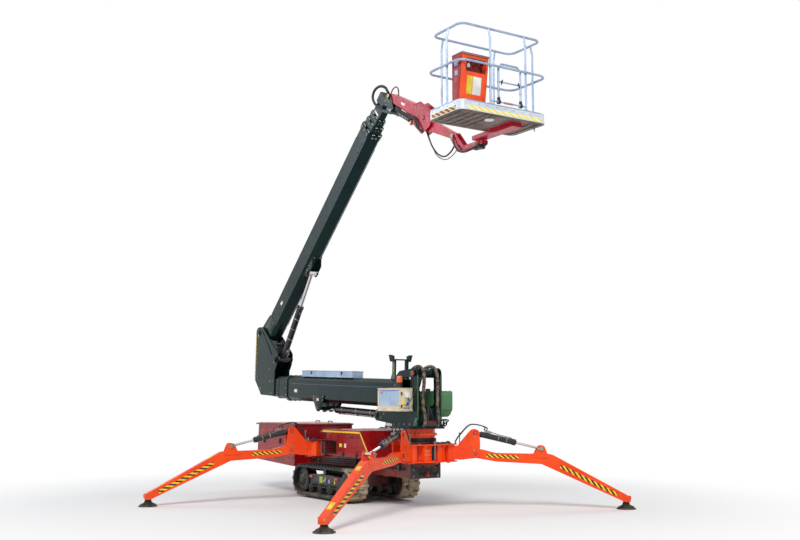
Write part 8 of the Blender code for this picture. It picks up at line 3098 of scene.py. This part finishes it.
def cords(layout: Layout) -> tuple[Cord, ...]:
    """List the free hoses and cables, with the joint under a hose where it crosses one; such a hose is only
    set in place.

    Args:
        layout: the machine's frames.

    Returns:
        The cords.
    """
    root = tuple(layout.slew + Vector((0.20, 0, 1.99)))
    boom = tuple(layout.slew + Vector((0.02, 0, 1.98)))
    over = Bridge("turret", "lower_boom", root, boom)
    level = Bridge("jib", "basket_mount", tuple(layout.slew + Vector((0.80, 0, 5.10))),
                   tuple(layout.slew + Vector((1.02, 0, 5.30))))
    return (
        Cord("boom_loop_near", over, at(-0.118, (-0.050, 1.962), (0.030, 2.004), (0.110, 2.028),
                                        (0.190, 2.026), (0.262, 1.990),
                                        (0.304, 1.915), (0.312, 1.800), (0.292, 1.680), (0.280, 1.570),
                                        (0.290, 1.450),
                                        (0.316, 1.370), (0.344, 1.300), (0.340, 1.235), (0.316, 1.190),
                                        (0.290, 1.166)), 0.0245,
             Finishes.GUARD, 46, "limp"),
        Cord("boom_loop_far", over, at(0.118, (-0.090, 1.975), (0.000, 2.016), (0.110, 2.034), (0.200, 2.020),
                                       (0.266, 1.970),
                                       (0.300, 1.880), (0.310, 1.740), (0.308, 1.580), (0.302, 1.460),
                                       (0.314, 1.370),
                                       (0.334, 1.300), (0.332, 1.235), (0.312, 1.190), (0.290, 1.168)),
                                       0.0240,
             Finishes.GUARD, 44, "limp"),
        Cord("head_ring", "upper_fourth", at(-0.102, (-0.700, 6.352), (-0.790, 6.452), (-0.947, 6.512),
                                             (-1.100, 6.492),
                                             (-1.168, 6.400), (-1.118, 6.285), (-1.010, 6.200),
                                             (-0.885, 6.152)), 0.0200,
             Finishes.HOSE, 30, "limp"),
        Cord("head_loop", "jib", at(-0.048, (-0.690, 6.350), (-0.640, 6.396), (-0.560, 6.410),
                                    (-0.500, 6.372), (-0.478, 6.300),
                                    (-0.492, 6.215)), 0.0100, Finishes.GUARD, 16, "limp"),
        Cord("basket_hose_long", level, ((0.190, 0.0, 5.600), (0.252, 0.0, 5.470), (0.372, 0.0, 5.265),
                                         (0.519, 0.0, 5.117),
                                         (0.700, -0.004, 5.046), (0.877, -0.012, 5.092),
                                         (0.985, -0.020, 5.190),
                                         (1.026, -0.026, 5.300)), 0.0120, lay="hanging"),
        Cord("basket_hose_thin", level, at(0.036, (0.200, 5.560), (0.240, 5.440), (0.302, 5.310),
                                           (0.411, 5.149), (0.529, 5.060),
                                           (0.690, 5.010), (0.880, 5.060), (0.975, 5.160), (1.010, 5.270)),
                                           0.0065,
             Finishes.CABLE, lay="hanging"),
        Cord("drive_hose", "basket_mount", ((0.985, -0.058, 5.290), (1.020, -0.080, 5.180),
                                            (1.100, -0.094, 5.070),
                                            (1.210, -0.098, 4.995), (1.340, -0.096, 4.972),
                                            (1.450, -0.088, 4.985),
                                            (1.520, -0.066, 5.010)), 0.0115, lay="hanging"),
        Cord("drive_cable", "basket_mount", ((1.120, -0.056, 5.120), (1.160, -0.072, 5.050),
                                             (1.240, -0.078, 5.000),
                                             (1.350, -0.074, 4.985), (1.440, -0.060, 5.000),
                                             (1.480, -0.040, 5.020)), 0.0060,
             Finishes.CABLE, lay="hanging"),
        Cord("box_cable", "turret", ((0.176, -0.335, 1.500), (0.230, -0.335, 1.504), (0.286, -0.322, 1.560),
                                     (0.312, -0.290, 1.660),
                                     (0.318, -0.235, 1.760), (0.312, -0.180, 1.840), (0.306, -0.140, 1.890)),
                                     0.0045,
             Finishes.CABLE, stiffness="limp"),
        Cord("frame_cable", "chassis", ((0.172, -0.190, 0.600), (0.215, -0.196, 0.585),
                                        (0.242, -0.180, 0.520),
                                        (0.246, -0.140, 0.462), (0.240, -0.080, 0.446),
                                        (0.228, -0.020, 0.472),
                                        (0.206, 0.020, 0.530), (0.176, 0.030, 0.590)), 0.0045, Finishes.CABLE,
                                        stiffness="limp", lay="hanging"),
    )


@dataclass
class Dressing:
    """The finishes that the CAD nodes themselves take."""

    layout: Layout
    plain: dict[str, Finishes] = field(default_factory=lambda: {
        "leg_": Finishes.ORANGE, "bracket_": Finishes.ORANGE, "front_beam": Finishes.ORANGE,
        "slew_ring": Finishes.ORANGE,
        "hood": Finishes.RED, "rear_cover": Finishes.RED, "rear_beam": Finishes.RED,
        "lower_boom": Finishes.BOOM,
        "upper_boom": Finishes.BOOM, "elbow": Finishes.BOOM, "turret_frame": Finishes.BOOM,
        "tank_box": Finishes.BODY_GREEN,
        "control_box": Finishes.CREAM, "jib_arm": Finishes.CRIMSON, "basket_mount": Finishes.CRIMSON,
        "basket_carrier": Finishes.CRIMSON, "basket_pan": Finishes.PAN, "basket_rails": Finishes.ALUMINIUM,
        "basket_gate": Finishes.ALUMINIUM, "tool_tray": Finishes.ALUMINIUM, "console": Finishes.CONSOLE,
        "pad_": Finishes.RUBBER, "barrel_": Finishes.BARREL, "rod_": Finishes.CHROME,
        "engine_block": Finishes.ENGINE,
        "valve_block": Finishes.STEEL, "slew_gear": Finishes.DARK_STEEL, "beacon": Finishes.AMBER,
        "lift_ram_barrel": Finishes.BARREL, "lift_ram_rod": Finishes.CHROME,
        "upper_ram_barrel": Finishes.BARREL,
        "upper_ram_rod": Finishes.CHROME, "jib_ram_barrel": Finishes.BARREL, "jib_ram_rod": Finishes.CHROME,
    })

    def tread(self) -> TreadFinish:
        """Return the tracks' rubber, with dried mud from the middle to the front."""
        start = self.layout.slew.x - 1.28
        return TreadFinish("track_rubber", (34, 34, 38), (24, 24, 27), 0.62, dust=0.35, dust_top=0.5,
                           skin=0.0015, skin_scale=120.0, mud_from=start, mud_to=start + 0.34)

    def build(self, nodes: dict[str, bpy.types.Object]) -> None:
        """Give every CAD node its finish.

        Args:
            nodes: the CAD nodes by name.
        """
        frame_paint = FrameFinish("frame_paint", (116, 14, 16), (96, 10, 12), 0.36, dust=0.30, dust_top=0.8,
                                  skin=0.0008, soft_edge=0.004, middle_y=self.layout.slew.y)
        tread = self.tread()
        for name, node in nodes.items():
            if name.startswith("track_"):
                chosen: Finish = tread
            elif name == "chassis_frame":
                chosen = frame_paint
            else:
                key = max((k for k in self.plain if name.startswith(k)), key=len)
                chosen = self.plain[key].value
            for place in node.material_slots:
                place.material = chosen.material()
            LOG.info("node %s: %s", name, chosen.name)


@dataclass
class Studio:
    """The plain floor, the soft lights and the camera at the photograph's angle."""

    floor_tone: tuple[float, float, float] = (244, 244, 245)
    white_from: float = 3.6
    white_to: float = 8.0
    lens: float = 45.81
    sensor: float = 36.0
    place: tuple[float, float, float] = (13.902, -7.948, 1.547)
    turn: tuple[float, float, float] = (97.29, 0.0, 57.35)

    def camera(self) -> None:
        """Set the camera."""
        data = bpy.data.cameras.new("photo_camera")
        data.lens = self.lens
        data.sensor_width = self.sensor
        data.clip_end = 200.0
        made = bpy.data.objects.new("photo_camera", data)
        made.location = self.place
        made.rotation_euler = [math.radians(angle) for angle in self.turn]
        bpy.context.scene.collection.objects.link(made)
        bpy.context.scene.camera = made

    def floor(self) -> None:
        """Lay the pale floor, which takes the machine's shadow and ends in white."""
        mesh = bpy.data.meshes.new("studio_floor")
        reach = 60.0
        mesh.from_pydata([(-reach, -reach, 0), (reach, -reach, 0), (reach, reach, 0), (-reach, reach, 0)], [],
                         [(0, 1, 2, 3)])
        made = bpy.data.objects.new("studio_floor", mesh)
        bpy.context.scene.collection.objects.link(made)
        finish = bpy.data.materials.new("studio_floor")
        finish.use_nodes = True
        finish.node_tree.nodes.clear()
        graph = Graph(finish.node_tree)
        shader = graph.add("ShaderNodeBsdfPrincipled")
        shader.inputs["Base Color"].default_value = tone(*self.floor_tone)
        shader.inputs["Roughness"].default_value = 0.92
        shader.inputs["Specular IOR Level"].default_value = 0.1
        place = graph.add("ShaderNodeTexCoord").outputs["Object"]
        away = graph.add("ShaderNodeVectorMath", {0: place}, operation="LENGTH").outputs["Value"]
        share = graph.maths("MULTIPLY", graph.spread(away, self.white_from, self.white_to),
                            self.looked_at(graph))
        white = graph.add("ShaderNodeEmission", {0: (1.0, 1.0, 1.0, 1.0), 1: 1.0})
        mixed = graph.add("ShaderNodeMixShader", {0: share, 1: shader.outputs[0], 2: white.outputs[0]})
        out = graph.add("ShaderNodeOutputMaterial")
        finish.node_tree.links.new(mixed.outputs[0], out.inputs[0])
        mesh.materials.append(finish)

    @staticmethod
    def looked_at(graph: Graph) -> bpy.types.NodeSocket:
        """Return one for the rays that see the backdrop and nought for those that only light the machine."""
        path = graph.add("ShaderNodeLightPath")
        direct = graph.maths("ADD", path.outputs["Is Camera Ray"], path.outputs["Is Glossy Ray"])
        return graph.maths("ADD", direct, path.outputs["Is Transmission Ray"], clamp=True)

    def world(self) -> None:
        """Set an even sky light, which the camera sees as a pale backdrop."""
        world = bpy.data.worlds.new("studio")
        bpy.context.scene.world = world
        world.use_nodes = True
        world.node_tree.nodes.clear()
        graph = Graph(world.node_tree)
        seen = self.looked_at(graph)
        even = graph.add("ShaderNodeBackground", {0: (0.93, 0.96, 1.0, 1.0), 1: 0.42})
        shown = graph.add("ShaderNodeBackground", {0: (1.0, 1.0, 1.0, 1.0), 1: 1.0})
        mixed = graph.add("ShaderNodeMixShader", {0: seen, 1: even.outputs[0], 2: shown.outputs[0]})
        out = graph.add("ShaderNodeOutputWorld")
        world.node_tree.links.new(mixed.outputs[0], out.inputs[0])

    @staticmethod
    def lamp(name: str, place: Point, target: Point, size: float, power: float,
             colour: tuple[float, float, float]) -> None:
        """Hang one square lamp that points at a place.

        Args:
            name: the lamp's name.
            place: where it hangs.
            target: where it points.
            size: its side.
            power: its power in watts.
            colour: its colour.
        """
        data = bpy.data.lights.new(name, "AREA")
        data.size = size
        data.energy = power
        data.color = colour
        made = bpy.data.objects.new(name, data)
        made.location = place
        made.rotation_euler = (Vector(target) - Vector(place)).to_track_quat("-Z", "Y").to_euler()
        bpy.context.scene.collection.objects.link(made)

    def build(self) -> None:
        """Build the floor, the world and the lamps."""
        self.floor()
        self.world()
        self.lamp("key", (20.0, -15.0, 22.0), (0.0, 0.0, 2.0), 10.0, 6200.0, (1.0, 0.97, 0.92))
        self.lamp("fill", (-18.0, -18.0, 13.0), (0.0, 0.0, 2.0), 14.0, 1700.0, (0.86, 0.93, 1.0))
        self.lamp("back", (-8.0, 22.0, 17.0), (0.0, 0.0, 2.5), 12.0, 1500.0, (1.0, 1.0, 1.0))


@dataclass
class SpiderLift:
    """The whole machine: its cords first, then its finishes and every sub-assembly in order."""

    layout: Layout

    def build(self, nodes: dict[str, bpy.types.Object]) -> None:
        """Dress the machine.

        Args:
            nodes: the CAD nodes by name.
        """
        for cord in cords(self.layout):
            cord.build(self.layout)
        dressing = Dressing(self.layout)
        dressing.build(nodes)
        Tracks(self.layout).build(dressing.tread())
        for part in (Undercarriage, FrontBeam, Covers, Valves, Legs, Turret, LowerBoom, Elbow, UpperBoom,
                     BoomHead, Jib, Basket):
            LOG.info("sub-assembly %s", part.__name__)
            part(self.layout).build()
        for ram in self.rams():
            ram.build()

    def rams(self) -> tuple[BoomRam, ...]:
        """Return the looks of the three boom rams, each in its own frame.

        Returns:
            The rams.
        """
        upper = self.layout.upper_ram()
        reach = (upper.translation - self.layout.slew - self.layout.flat(self.layout.upper_foot)).length
        foot = upper @ Matrix.Translation((reach, 0, 0)) @ Matrix.Rotation(math.pi, 4, "Z")
        return (
            BoomRam("lift_ram", self.layout.lift_ram(), "lift_barrel", 0.055, 1.62, 0.030, -1.0),
            BoomRam("upper_ram", foot, "upper_barrel", 0.057, 1.150, 0.034, -1.0),
            BoomRam("jib_ram", self.layout.jib_ram(), "jib_barrel", 0.032, 0.50, 0.016, -1.0),
        )


def main() -> None:
    """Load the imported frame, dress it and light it."""
    logging.basicConfig(level=logging.INFO, format="%(message)s")
    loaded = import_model()
    Studio().camera()
    bpy.context.scene.view_settings.view_transform = "Standard"
    SpiderLift(Layout.from_frame()).build(loaded["nodes"])
    Studio().build()


if __name__ == "__main__":
    main()
